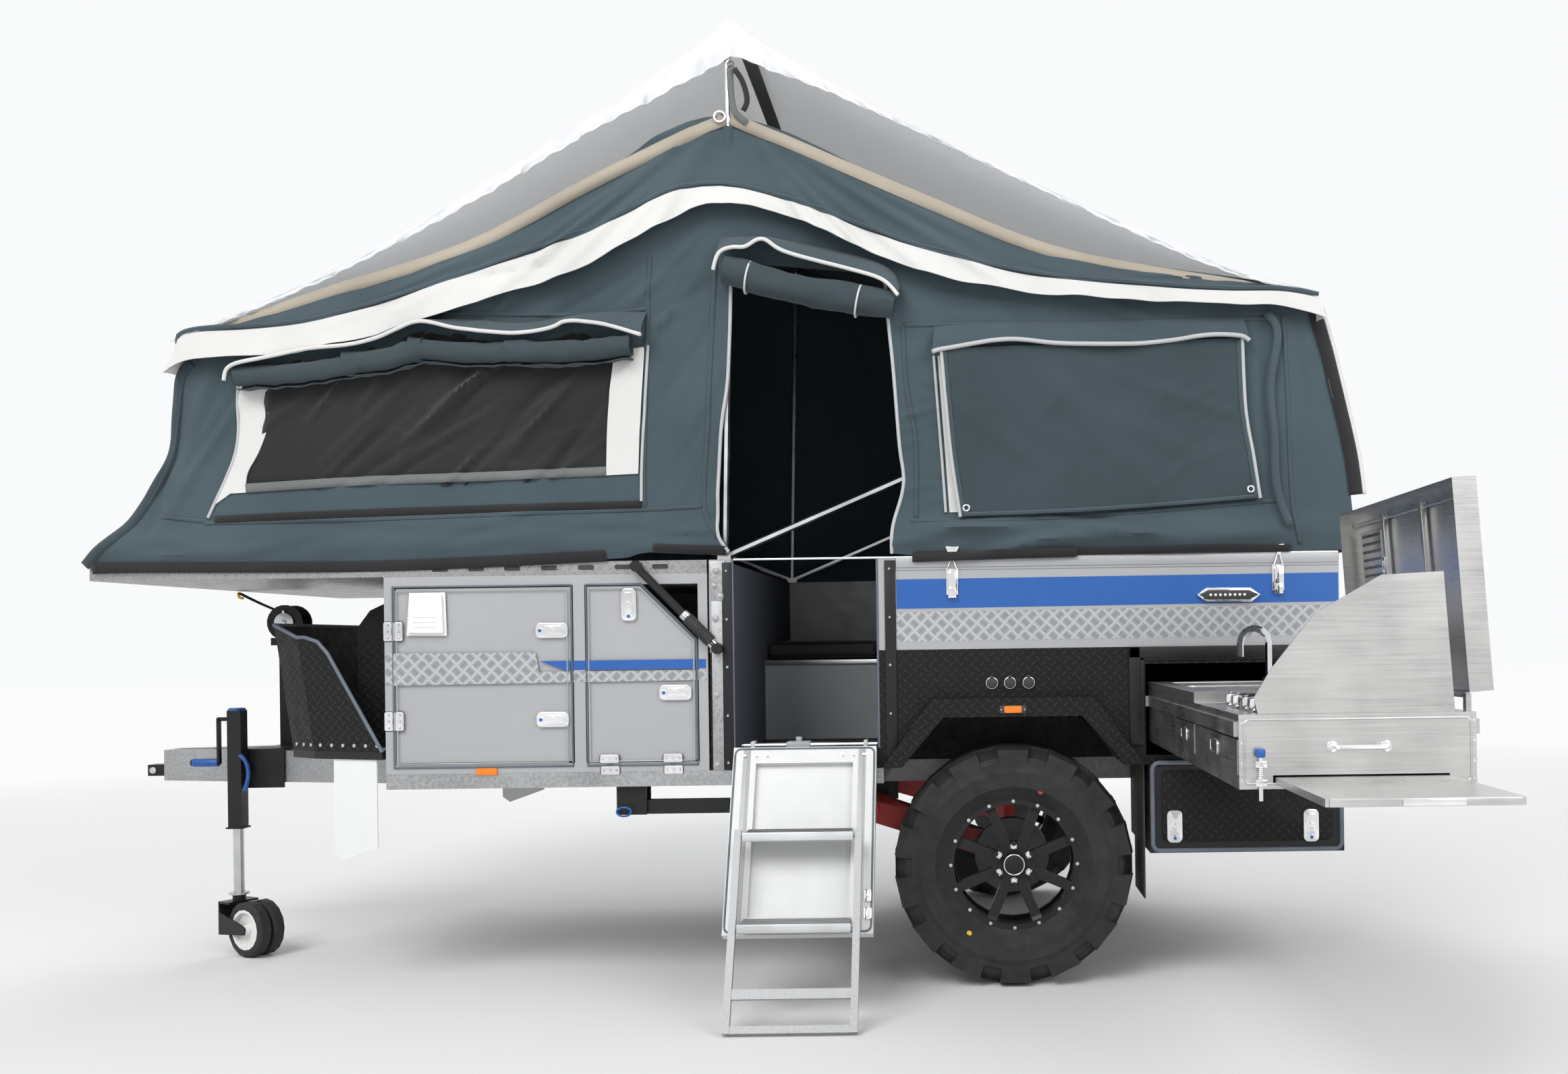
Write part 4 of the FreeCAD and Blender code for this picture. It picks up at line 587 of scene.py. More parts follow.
FINISHES = {f.name: f for f in (
    Steel("galvanised", (0.36, 0.365, 0.37), 0.45, spangle=0.5),
    Steel("step_zinc", (0.36, 0.365, 0.37), 0.5, spangle=0.6, metal=0.35),
    Paint("black_paint", (0.009, 0.009, 0.010), 0.4, dust=0.02, shine=0.3),
    TreadPlate("checker_black", (0.0065, 0.0065, 0.007), rough=0.5, wear=0.006, shine=0.2),
    TreadPlate("checker_silver", (0.30, 0.30, 0.30), metal=0.9, rough=0.4, wear=0.02),
    PrintedTread("printed_tread", (0.46, 0.47, 0.49), (0.10, 0.105, 0.11)),
    Cloth("black_webbing", (0.02, 0.02, 0.021), thread=0.0025),
    Plastic("flap_plastic", (0.74, 0.75, 0.75), 0.35, dust=0.02),
    Paint("silver_paint", (0.37, 0.375, 0.385), 0.38, metal=0.15, dust=0.012),
    Cloth("blue_lining", (0.030, 0.045, 0.095), thread=0.003, crease=0.0005, rough=0.95),
    Plastic("grey_board", (0.40, 0.42, 0.44), 0.45, dust=0.03),
    Plastic("rubber", (0.022, 0.022, 0.023), 0.6),
    Plastic("trim_rubber", (0.10, 0.12, 0.15), 0.5),
    Plastic("white_plastic", (0.78, 0.78, 0.76), 0.4, dust=0.02),
    Plastic("tyre", (0.011, 0.011, 0.0105), 0.75, grain=0.0005, dust=0.05),
    Paint("white_panel", (0.62, 0.63, 0.62), 0.35, dust=0.012),
    Steel("aluminium", (0.70, 0.71, 0.72), 0.36, brushed=(3.0, 160.0, 160.0)),
    Steel("stainless", (0.56, 0.555, 0.545), 0.3, brushed=(5.0, 5.0, 240.0)),
    Steel("chrome", (0.80, 0.80, 0.81), 0.08),
    Steel("pole_silver", (0.66, 0.67, 0.68), 0.3),
    Plastic("red_plastic", (0.45, 0.012, 0.012), 0.2, dust=0.02),
    Plastic("amber_lens", (0.85, 0.20, 0.01), 0.18, dust=0.01),
    Paint("red_paint", (0.42, 0.02, 0.02), 0.4),
    Steel("cast_iron", (0.16, 0.16, 0.165), 0.6),
    Steel("zinc_tube", (0.55, 0.56, 0.57), 0.3),
    Paint("blue_paint", (0.012, 0.095, 0.36), 0.35, dust=0.01),
    Paint("yellow_paint", (0.75, 0.48, 0.02), 0.4),
    Cloth("canvas", (0.052, 0.080, 0.096)),
    # canvas_dark is the canvas darkened by about a third: painted shade, used on the rolls, the closed rear
    # flaps and the front corners.
    Cloth("canvas_dark", (0.036, 0.055, 0.066)),
    Cloth("canvas_seam", (0.046, 0.072, 0.086), stitch=(0.12, 0.16, 0.18)),
    Cloth("fly_cloth", (0.60, 0.61, 0.63), thread=0.0022, crease=0.002, fade=0.04, gloss=0.4, rough=0.6,
          glow=0.8),
    Cloth("silver_cloth", (0.74, 0.75, 0.77), thread=0.0022, crease=0.003, fade=0.03, gloss=0.5, rough=0.5),
    Cloth("fly_tape", (0.16, 0.17, 0.17), thread=0.0022, crease=0.001),
    Cloth("net", (0.012, 0.012, 0.013), thread=0.0014, crease=0.002, alpha=0.93, sheen=0.3),
    Cloth("hook_tape", (0.012, 0.012, 0.013), thread=0.003, crease=0.001),
    Cloth("beige_tape", (0.42, 0.37, 0.30), thread=0.0022, crease=0.001),
    Cloth("white_cloth", (0.70, 0.70, 0.68), thread=0.002, crease=0.002, fade=0.05),
    Cloth("pale_piping", (0.52, 0.53, 0.54), thread=0.002, crease=0.001, fade=0.06),
    Cloth("black_cloth", (0.015, 0.015, 0.017), crease=0.002),
    Cloth("cushion_cloth", (0.016, 0.016, 0.018), crease=0.002, gloss=0.5, rough=0.5),
)}
MADE: dict[str, bpy.types.Material] = {}


def finish(name: str) -> bpy.types.Material:
    """The material of a finish, made the first time it is asked for.

    Args:
        name: the finish's name.

    Returns:
        The material.
    """
    if name not in MADE:
        MADE[name] = FINISHES[name].make()
    return MADE[name]


# modelling


def settle(obj: Thing, name: str, material: str, body: str) -> Thing:
    """Names a finished piece, puts its place in its mesh, dresses it and lets it ride on a body.

    Args:
        obj: the piece.
        name: its name.
        material: the finish's name.
        body: the CAD body it moves with.

    Returns:
        The same piece.
    """
    obj.name = name
    obj.data.name = name
    bpy.context.view_layer.update()
    obj.data.transform(obj.matrix_world)
    obj.matrix_world = Matrix.Identity(4)
    if material:
        obj.data.materials.clear()
        obj.data.materials.append(finish(material))
    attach(obj, body)
    LOG.info("%s: %d faces on %s", name, len(obj.data.polygons), body)
    return obj


def alone(obj: Thing) -> Thing:
    """Selects one object only and makes it active.

    Args:
        obj: the object.

    Returns:
        The same object.
    """
    bpy.ops.object.select_all(action="DESELECT")
    obj.select_set(True)
    bpy.context.view_layer.objects.active = obj
    return obj


def modify(obj: Thing, kind: str, **settings: object) -> Thing:
    """Adds a modifier with settings and applies it.

    Args:
        obj: the object.
        kind: the modifier's kind.
        settings: the values of its fields.

    Returns:
        The same object.
    """
    alone(obj)
    modifier = obj.modifiers.new(kind.lower(), kind)
    for key, value in settings.items():
        setattr(modifier, key, value)
    bpy.ops.object.modifier_apply(modifier=modifier.name)
    return obj


def bevelled(obj: Thing, width: float, segments: int = 2, angle: float = 35) -> Thing:
    """Rounds an object's sharp edges and shades it smooth by angle.

    Args:
        obj: the object.
        width: the bevel's width.
        segments: its steps.
        angle: the least angle of an edge, in degrees.

    Returns:
        The same object.
    """
    modify(obj, "BEVEL", width=width, segments=segments, limit_method="ANGLE",
           angle_limit=math.radians(angle))
    alone(obj)
    bpy.ops.object.shade_smooth_by_angle(angle=SMOOTH_ANGLE)
    return obj


def block(low: Point, high: Point, bevel: float = 0.0, segments: int = 2) -> Thing:
    """A box between two corners, with its edges rounded.

    Args:
        low: the lowest corner.
        high: the highest corner.
        bevel: radius of the edges.
        segments: steps in each rounding.

    Returns:
        The new object.
    """
    bpy.ops.object.select_all(action="DESELECT")
    middle = [(a + b) / 2 for a, b in zip(low, high)]
    bpy.ops.mesh.primitive_cube_add(size=1, location=middle, scale=[b - a for a, b in zip(low, high)])
    obj = bpy.context.object
    bpy.ops.object.transform_apply(location=True, rotation=True, scale=True)
    return bevelled(obj, bevel, segments) if bevel else obj


def disc(centre: Point, radius: float, depth: float, facing: Point = NEARWARD, sides: int = 32,
         bevel: float = 0.0, top: Optional[float] = None) -> Thing:
    """A cylinder or cone along a direction, with its edges rounded.

    Args:
        centre: the middle of its axis.
        radius: its radius.
        depth: its length.
        facing: the direction of its axis.
        sides: how many sides it has.
        bevel: radius of the edges.
        top: radius at the facing end, if another.

    Returns:
        The new object.
    """
    bpy.ops.object.select_all(action="DESELECT")
    turn = Vector(UPWARD).rotation_difference(Vector(facing).normalized()).to_euler()
    bpy.ops.mesh.primitive_cone_add(vertices=sides, radius1=radius, radius2=radius if top is None else top,
                                    depth=depth, location=centre, rotation=turn)
    obj = bpy.context.object
    bpy.ops.object.transform_apply(location=True, rotation=True, scale=True)
    if bevel:
        return bevelled(obj, bevel)
    bpy.ops.object.shade_smooth_by_angle(angle=SMOOTH_ANGLE)
    return obj


def ring(centre: Point, radius: float, thick: float, facing: Point = NEARWARD, sides: int = 40,
         fine: int = 10) -> Thing:
    """A round ring of round section.

    Args:
        centre: its middle.
        radius: the radius of its middle line.
        thick: half its thickness.
        facing: the direction of its axis.
        sides: its steps round the axis.
        fine: its steps round the section.

    Returns:
        The ring.
    """
    bpy.ops.object.select_all(action="DESELECT")
    turn = Vector(UPWARD).rotation_difference(Vector(facing).normalized()).to_euler()
    bpy.ops.mesh.primitive_torus_add(major_radius=radius, minor_radius=thick, major_segments=sides,
                                     minor_segments=fine, location=centre, rotation=turn)
    obj = bpy.context.object
    bpy.ops.object.transform_apply(location=True, rotation=True, scale=True)
    bpy.ops.object.shade_smooth()
    return obj


def tube(points: Sequence[Point], radius: float, smooth: bool = True, sides: int = 3,
         closed: bool = False) -> Thing:
    """A round bar or hose along points, as a closed mesh.

    Args:
        points: the line's points.
        radius: the bar's radius.
        smooth: whether the line bends smoothly or has corners.
        sides: the bevel's resolution.
        closed: whether the line is a loop.

    Returns:
        The new object.
    """
    curve = bpy.data.curves.new("line", "CURVE")
    curve.dimensions = "3D"
    spline = curve.splines.new("NURBS" if smooth else "POLY")
    spline.points.add(len(points) - 1)
    for spot, place in zip(spline.points, points):
        spot.co = (*place, 1.0)
    if smooth:
        spline.order_u = 3
        spline.use_endpoint_u = not closed
    spline.use_cyclic_u = closed
    curve.bevel_depth = radius
    curve.bevel_resolution = sides
    curve.use_fill_caps = True
    curve.resolution_u = 6
    obj = bpy.data.objects.new("line", curve)
    bpy.context.collection.objects.link(obj)
    alone(obj)
    bpy.ops.object.convert(target="MESH")
    bpy.ops.object.shade_smooth_by_angle(angle=BAR_ANGLE)
    return bpy.context.object


def plate(outline: Sequence[Point], depth: Point, bevel: float = 0.0) -> Thing:
    """A flat plate from an outline, drawn out along a vector.

    Args:
        outline: its corners in order.
        depth: the vector that it is drawn out along.
        bevel: radius of the edges.

    Returns:
        The new object.
    """
    mesh = bpy.data.meshes.new("plate")
    obj = bpy.data.objects.new("plate", mesh)
    bpy.context.collection.objects.link(obj)
    form = bmesh.new()
    form.faces.new([form.verts.new(p) for p in outline])
    form.to_mesh(mesh)
    form.free()
    alone(obj)
    bpy.ops.object.mode_set(mode="EDIT")
    bpy.ops.mesh.select_all(action="SELECT")
    bpy.ops.mesh.extrude_region_move(TRANSFORM_OT_translate={"value": depth})
    bpy.ops.mesh.select_all(action="SELECT")
    bpy.ops.mesh.normals_make_consistent(inside=False)
    bpy.ops.object.mode_set(mode="OBJECT")
    return bevelled(obj, bevel) if bevel else obj


def fused(parts: Iterable[Thing]) -> Thing:
    """Joins several objects into one mesh object.

    Args:
        parts: the objects, of which the first is kept.

    Returns:
        The joined object.
    """
    parts = list(parts)
    alone(parts[0])
    for part in parts[1:]:
        part.select_set(True)
    if len(parts) > 1:
        bpy.ops.object.join()
    return bpy.context.view_layer.objects.active


def surface(rows: Sequence[Sequence[Point]], thick: float = 0.0, smooth: int = 0) -> Thing:
    """A sheet over a grid of points, with a thickness and finer faces if asked.

    Args:
        rows: rows of points, all of one length.
        thick: the sheet's thickness.
        smooth: levels of subdivision.

    Returns:
        The new object.
    """
    mesh = bpy.data.meshes.new("sheet")
    count = len(rows[0])
    faces = [(i * count + j, i * count + j + 1, (i + 1) * count + j + 1, (i + 1) * count + j)
             for i in range(len(rows) - 1) for j in range(count - 1)]
    mesh.from_pydata([p for row in rows for p in row], [], faces)
    obj = bpy.data.objects.new("sheet", mesh)
    bpy.context.collection.objects.link(obj)
    if smooth:
        modify(obj, "SUBSURF", levels=smooth, render_levels=smooth)
    if thick:
        modify(obj, "SOLIDIFY", thickness=thick, offset=0.0)
    alone(obj)
    bpy.ops.object.shade_smooth_by_angle(angle=BAR_ANGLE)
    return obj


# camera, floor and lamps


@dataclass(frozen=True)
class Studio:
    """The photograph's viewpoint, a plain floor and soft light."""

    eye: Point = (3.225, -5.650, 0.470)
    roll: float = 0.0135
    lens: float = 32.53
    shift: Flat = (-0.1153, 0.0663)

    def camera(self) -> None:
        """Adds the camera."""
        data = bpy.data.cameras.new("camera")
        data.lens = self.lens
        data.sensor_width = PHOTO_WIDTH
        data.shift_x, data.shift_y = self.shift
        data.clip_end = 200.0
        obj = bpy.data.objects.new("camera", data)
        obj.location = self.eye
        obj.rotation_euler = (math.pi / 2, self.roll, 0)
        bpy.context.collection.objects.link(obj)
        bpy.context.scene.camera = obj

    def floor(self) -> None:
        """Adds the pale floor."""
        bpy.ops.object.select_all(action="DESELECT")
        bpy.ops.mesh.primitive_plane_add(size=80, location=(3, 0, GROUND))
        obj = bpy.context.object
        obj.name = "floor"
        n = Nodes("floor_paint")
        x, y, _ = n.split(n.place())
        away = n.math("SQRT", n.math("ADD", n.math("POWER", x, 2.0), n.math("POWER", y, 2.0)))
        far = n.ramp(away, 4.5, 11.0)
        n.colour(n.mix(far, (0.80, 0.80, 0.80), (0.0, 0.0, 0.0)))
        n.link(n.math("MULTIPLY", far, 0.97), n.shader.inputs["Emission Strength"])
        n.shader.inputs["Emission Color"].default_value = (1.0, 1.0, 1.0, 1.0)
        n.constant(Specular_IOR_Level=0.0)
        n.rough(0.9)
        obj.data.materials.append(n.material)

    def lamp(self, name: str, place: Point, aim: Point, size: float, power: float) -> None:
        """Adds one soft square lamp.

        Args:
            name: its name.
            place: where it stands.
            aim: the point that it faces.
            size: its width.
            power: its power in watts.
        """
        data = bpy.data.lights.new(name, "AREA")
        data.size = size
        data.energy = power
        obj = bpy.data.objects.new(name, data)
        obj.location = place
        obj.rotation_euler = (Vector(aim) - Vector(place)).to_track_quat("-Z", "Y").to_euler()
        bpy.context.collection.objects.link(obj)

    def light(self) -> None:
        """Adds the lamps and the world's fill."""
        self.lamp("key", (-1.0, -9.0, 8.0), (2.5, 0, 0.4), 6.0, 780.0)
        self.lamp("fill", (8.5, -7.5, 5.0), (2.8, 0, 0.4), 6.0, 330.0)
        self.lamp("back", (3.0, 8.0, 7.0), (2.5, 0, 0.6), 6.0, 420.0)
        world = bpy.data.worlds.new("sky")
        world.use_nodes = True
        tree = world.node_tree
        path = tree.nodes.new("ShaderNodeLightPath")
        seen = tree.nodes.new("ShaderNodeMath")
        seen.operation = "MAXIMUM"
        tree.links.new(path.outputs["Is Camera Ray"], seen.inputs[0])
        tree.links.new(path.outputs["Is Glossy Ray"], seen.inputs[1])
        strength = tree.nodes.new("ShaderNodeMapRange")
        tree.links.new(seen.outputs[0], strength.inputs["Value"])
        strength.inputs["To Min"].default_value = 0.62
        strength.inputs["To Max"].default_value = 0.97
        ground = tree.nodes["Background"]
        ground.inputs["Color"].default_value = (0.98, 0.99, 1.0, 1)
        tree.links.new(strength.outputs["Result"], ground.inputs["Strength"])
        bpy.context.scene.world = world

    def build(self) -> None:
        """Sets up the view, the floor and the light."""
        self.camera()
        self.floor()
        self.light()
        bpy.context.scene.view_settings.view_transform = "Standard"


@dataclass
class CadDress:
    """Puts a finish on every CAD node that stays in view."""

    nodes: dict[str, Thing]
    slots: dict[str, str] = field(default_factory=dict)

    def build(self, record: dict) -> None:
        """Dresses each node by its slot in the record.

        Args:
            record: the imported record.
        """
        for part in record["subparts"]:
            self.slots[part["node"]] = part["material_slot"]
        for name, obj in self.nodes.items():
            chosen = SPECIAL.get(name, self.slots.get(name, "black_paint"))
            obj.data.materials.clear()
            obj.data.materials.append(finish(chosen))
            for face in obj.data.polygons:
                face.material_index = 0
        LOG.info("dressed %d CAD nodes", len(self.nodes))


SPECIAL: dict[str, str] = {"step_legs": "step_zinc", "tread_upper": "step_zinc", "tread_lower": "step_zinc"}


# cloth


@dataclass(frozen=True)
class Fold:
    """One long soft fold of a wall, between two flat points."""

    start: Flat
    end: Flat
    width: float
    height: float

    def depth(self, x: float, z: float) -> float:
        """How far the fold lifts the cloth at a flat point.

        Args:
            x: its place along the trailer.
            z: its height.

        Returns:
            The lift at that point.
        """
        ax, az = self.start
        bx, bz = self.end[0] - ax, self.end[1] - az
        share = max(0.0, min(1.0, ((x - ax) * bx + (z - az) * bz) / (bx * bx + bz * bz)))
        away = math.hypot(x - ax - share * bx, z - az - share * bz) / self.width
        if away > 2.6:
            return 0.0
        return self.height * math.exp(-away * away) * math.sin(math.pi * (0.12 + 0.8 * share))


def fan(hub: Flat, low: float, high: float, count: int, reach: float, width: float, height: float,
        seed: int) -> list[Fold]:
    """Folds that spread from a point where the cloth hangs.

    Args:
        hub: the flat point that they spread from.
        low: the first fold's angle in degrees.
        high: the last fold's angle in degrees.
        count: how many there are.
        reach: their length.
        width: their half width.
        height: their height.
        seed: seed of their small differences.

    Returns:
        The folds.
    """
    dice = random.Random(seed)
    folds = []
    for number in range(count):
        angle = math.radians(low + (high - low) * (number + dice.uniform(-0.3, 0.3)) / max(1, count - 1))
        near, far = dice.uniform(0.03, 0.2) * reach, dice.uniform(0.6, 1.05) * reach
        folds.append(Fold((hub[0] + near * math.cos(angle), hub[1] + near * math.sin(angle)),
                          (hub[0] + far * math.cos(angle), hub[1] + far * math.sin(angle)),
                          width * dice.uniform(0.6, 1.3), height * dice.uniform(0.5, 1.2)))
    return folds


def slants(low: Flat, high: Flat, angle: float, count: int, reach: float, width: float, height: float,
           seed: int) -> list[Fold]:
    """Folds in one direction, scattered over a flat box.

    Args:
        low: the box's lowest corner.
        high: the box's highest corner.
        angle: their direction in degrees.
        count: how many there are.
        reach: their length.
        width: their half width.
        height: their height.
        seed: seed of their places.

    Returns:
        The folds.
    """
    dice = random.Random(seed)
    folds = []
    for _ in range(count):
        x, z = dice.uniform(low[0], high[0]), dice.uniform(low[1], high[1])
        turn = math.radians(angle + dice.uniform(-14, 14))
        half = reach * dice.uniform(0.3, 0.6)
        folds.append(Fold((x - half * math.cos(turn), z - half * math.sin(turn)),
                          (x + half * math.cos(turn), z + half * math.sin(turn)),
                          width * dice.uniform(0.5, 1.4), height * dice.uniform(0.4, 1.3)
                          * dice.choice((1, 1, -0.7))))
    return folds


@dataclass
class Wall:
    """An upright side of the tent: flat points and the folds that lift them."""

    side: Side
    folds: list[Fold]
    ripple: float = 0.005
    seed: float = 0.0
    base: float = 0.0
    swell: Optional[Callable[[float, float], float]] = None

    def at(self, x: float, z: float, lift: float = 0.0) -> Point:
        """Where a flat point of the wall lies.

        Args:
            x: its place along the trailer.
            z: its height above the ground.
            lift: how far it stands off the cloth.

        Returns:
            The point in the frame.
        """
        depth = self.base + lift + sum(fold.depth(x, z) for fold in self.folds)
        depth += self.ripple * noise.fractal(Vector((x * 2.4, self.seed, z * 2.4)), 1.0, 2.2, 4)
        if self.swell:
            depth += self.swell(x, z)
        return (x, self.side.value * (HALF + depth), up(z))


def spaced(line: Sequence[Flat], step: float) -> list[Flat]:
    """A line's points at even steps, its ends kept, rounded through its corners.

    Args:
        line: the line's corners.
        step: the length of a step.

    Returns:
        The points, from the first corner to the last.
    """
    count = len(line)
    dense = []
    for i in range(count - 1):
        p0, p1, p2, p3 = line[max(i - 1, 0)], line[i], line[i + 1], line[min(i + 2, count - 1)]
        for k in range(8):
            t = k / 8
            dense.append(tuple(0.5 * (2 * b + (c - a) * t + (2 * a - 5 * b + 4 * c - d) * t * t
                                      + (3 * b - a - 3 * c + d) * t ** 3) for a, b, c,
                               d in zip(p0, p1, p2, p3)))
    dense.append(tuple(line[-1]))
    reach = [0.0]
    for a, b in zip(dense, dense[1:]):
        reach.append(reach[-1] + math.dist(a, b))
    steps = max(1, round(reach[-1] / step))
    out, i = [], 0
    for k in range(steps + 1):
        want = reach[-1] * k / steps
        while i < len(dense) - 2 and reach[i + 1] < want:
            i += 1
        share = (want - reach[i]) / max(1e-9, reach[i + 1] - reach[i])
        out.append(tuple(a + (b - a) * min(1.0, max(0.0, share)) for a, b in zip(dense[i], dense[i + 1])))
    return out


def evenly(line: Sequence[Flat], count: int) -> list[Flat]:
    """A line's points in a fixed number of even steps.

    Args:
        line: the line's corners.
        count: how many steps.

    Returns:
        The points, one more than the steps.
    """
    length = sum(math.dist(a, b) for a, b in zip(line, line[1:]))
    fine = spaced(line, length / 400)
    return [fine[round(k * (len(fine) - 1) / count)] for k in range(count + 1)]


def sheeted(vertices: Sequence[Point], faces: Sequence[Sequence[int]], thick: float) -> Thing:
    """A cloth object from points and faces, loose points left out, with its thickness.

    Args:
        vertices: its points.
        faces: the point numbers of each face.
        thick: the cloth's thickness.

    Returns:
        The cloth.
    """
    mesh = bpy.data.meshes.new("cloth")
    mesh.from_pydata(vertices, [], faces)
    obj = bpy.data.objects.new("cloth", mesh)
    bpy.context.collection.objects.link(obj)
    alone(obj)
    bpy.ops.object.mode_set(mode="EDIT")
    bpy.ops.mesh.select_all(action="SELECT")
    bpy.ops.mesh.delete_loose()
    bpy.ops.object.mode_set(mode="OBJECT")
    if thick:
        modify(obj, "SOLIDIFY", thickness=thick, offset=0.0)
    alone(obj)
    bpy.ops.object.shade_smooth_by_angle(angle=CLOTH_ANGLE)
    return obj


def inside(loop: Sequence[Flat], spot: Vector) -> bool:
    """Whether a flat point lies inside a closed line.

    Args:
        loop: the closed line's corners.
        spot: the flat point.

    Returns:
        True where it lies inside.
    """
    crossings = 0
    for (x0, z0), (x1, z1) in zip(loop, [*loop[1:], loop[0]]):
        if (z0 > spot.y) != (z1 > spot.y) and spot.x < x0 + (x1 - x0) * (spot.y - z0) / (z1 - z0):
            crossings += 1
    return crossings % 2 == 1


def cut_sheet(outline: Sequence[Flat], holes: Sequence[Sequence[Flat]], step: float,
              place: Callable[[float, float], Point], thick: float = FABRIC) -> Thing:
    """A cloth cut to a flat outline with holes, and set out point by point.

    Args:
        outline: the outline's corners in order.
        holes: each hole's corners in order.
        step: the size of its faces.
        place: where each flat point lies.
        thick: the cloth's thickness.

    Returns:
        The new object.
    """
    points: list[Vector] = []
    edges = []
    for loop in (outline, *holes):
        first = len(points)
        for a, b in zip(loop, [*loop[1:], loop[0]]):
            count = max(1, round(math.dist(a, b) / step))
            points += [Vector(a).lerp(Vector(b), k / count) for k in range(count)]
        edges += [(i, i + 1) for i in range(first, len(points) - 1)] + [(len(points) - 1, first)]
    low = [min(p[i] for p in outline) for i in (0, 1)]
    high = [max(p[i] for p in outline) for i in (0, 1)]
    for i in range(1, int((high[0] - low[0]) / step)):
        for j in range(1, int((high[1] - low[1]) / step)):
            points.append(Vector((low[0] + (i + 0.5 * (j % 2)) * step, low[1] + j * step)))
    flat, _, faces, *_ = geometry.delaunay_2d_cdt(points, edges, [], 1, step * 0.05)
    kept = [f for f in faces if not any(inside(loop, sum((flat[i] for i in f), Vector((0, 0))) / 3)
                                        for loop in holes)]
    return sheeted([place(p.x, p.y) for p in flat], kept, thick)


def grid(line: Sequence[Flat], count: int,
         place: Callable[[float, float, float], Point]) -> list[list[Point]]:
    """Rows of points, one row for each flat point of a line, each in even steps across the trailer.

    Args:
        line: the line's flat points.
        count: the steps across.
        place: where a point lies, given its flat point and its share of the way across.

    Returns:
        The rows.
    """
    return [[place(x, z, k / count) for k in range(count + 1)] for x, z in line]


def between(one: Sequence[Flat], other: Sequence[Flat], across: int, along: int,
            place: Callable[[float, float, float], Point], thick: float = FABRIC) -> Thing:
    """A cloth stretched from one flat line to another.

    Args:
        one: the first line.
        other: the second line.
        across: steps from line to line.
        along: steps along the lines.
        place: where a flat point lies, given also its share of the way across.
        thick: the cloth's thickness.

    Returns:
        The new object.
    """
    first, second = evenly(one, along), evenly(other, along)
    rows = []
    for i in range(across + 1):
        share = i / across
        rows.append([place(a[0] + (b[0] - a[0]) * share, a[1] + (b[1] - a[1]) * share, share)
                     for a, b in zip(first, second)])
    return surface(rows, thick)


def tape(line: Sequence[Flat], width: float, wall: Wall, lift: float = 0.003, thick: float = 0.0015,
         step: float = 0.015) -> Thing:
    """A flat tape sewn along a line of a wall, with a UV map that runs along it.

    Args:
        line: the line's flat points.
        width: the tape's width.
        wall: the wall that it is sewn on.
        lift: how far it stands off the cloth.
        thick: the tape's thickness.
        step: the size of its faces.

    Returns:
        The new object.
    """
    path = spaced(line, step)
    vertices, faces = [], []
    for i, (x, z) in enumerate(path):
        before, after = path[max(i - 1, 0)], path[min(i + 1, len(path) - 1)]
        dx, dz = after[0] - before[0], after[1] - before[1]
        size = math.hypot(dx, dz) or 1.0
        for k, rise in ((-0.5, 0.0), (0.0, 0.0006), (0.5, 0.0)):
            vertices.append(wall.at(x - dz / size * width * k, z + dx / size * width * k, lift + rise))
    for i in range(len(path) - 1):
        faces += [(3 * i + k, 3 * i + k + 1, 3 * i + k + 4, 3 * i + k + 3) for k in (0, 1)]
    obj = sheeted(vertices, faces, 0.0)
    coords = obj.data.uv_layers.new(name="run")
    length = sum(math.dist(a, b) for a, b in zip(path, path[1:]))
    for loop in obj.data.loops:
        row, k = divmod(loop.vertex_index, 3)
        coords.data[loop.index].uv = (length * row / (len(path) - 1), k / 2)
    return modify(obj, "SOLIDIFY", thickness=thick, offset=0.0)


def piping(line: Sequence[Flat], wall: Wall, radius: float = 0.005, lift: float = 0.006) -> Thing:
    """A round piped edge along a line of a wall."""
    return tube([wall.at(x, z, lift) for x, z in spaced(line, 0.04)], radius, sides=2)


def rolled(start: Point, end: Point, radius: float, seed: int, turns: float = 1.8,
           sag: float = 0.02) -> Thing:
    """A rolled-up flap: a spiral of cloth along a line, loose and lumpy.

    Args:
        start: one end of its axis.
        end: the other end.
        radius: its radius.
        seed: seed of its lumps.
        turns: how many times the cloth goes round.
        sag: how far it hangs in the middle.

    Returns:
        The new object.
    """
    a, b = Vector(start), Vector(end)
    way = (b - a).normalized()
    out = way.cross(Vector(UPWARD)).normalized()
    rise = out.cross(way)
    rows = []
    steps, around = max(8, int((b - a).length / 0.03)), 34
    for i in range(steps + 1):
        share = i / steps
        middle = a.lerp(b, share) - Vector((0, 0, sag * math.sin(math.pi * share)))
        row = []
        for k in range(around + 1):
            angle = math.tau * turns * k / around
            wide = radius * (0.45 + 0.55 * k / around)
            lump = noise.noise(Vector((share * 9, math.cos(angle) * 1.2, math.sin(angle) * 1.2 + seed)))
            wide *= 1 + 0.22 * lump
            row.append(tuple(middle + (out * math.cos(angle) + rise * math.sin(angle)) * wide))
        rows.append(row)
    return surface(rows, SILVER)


# tent


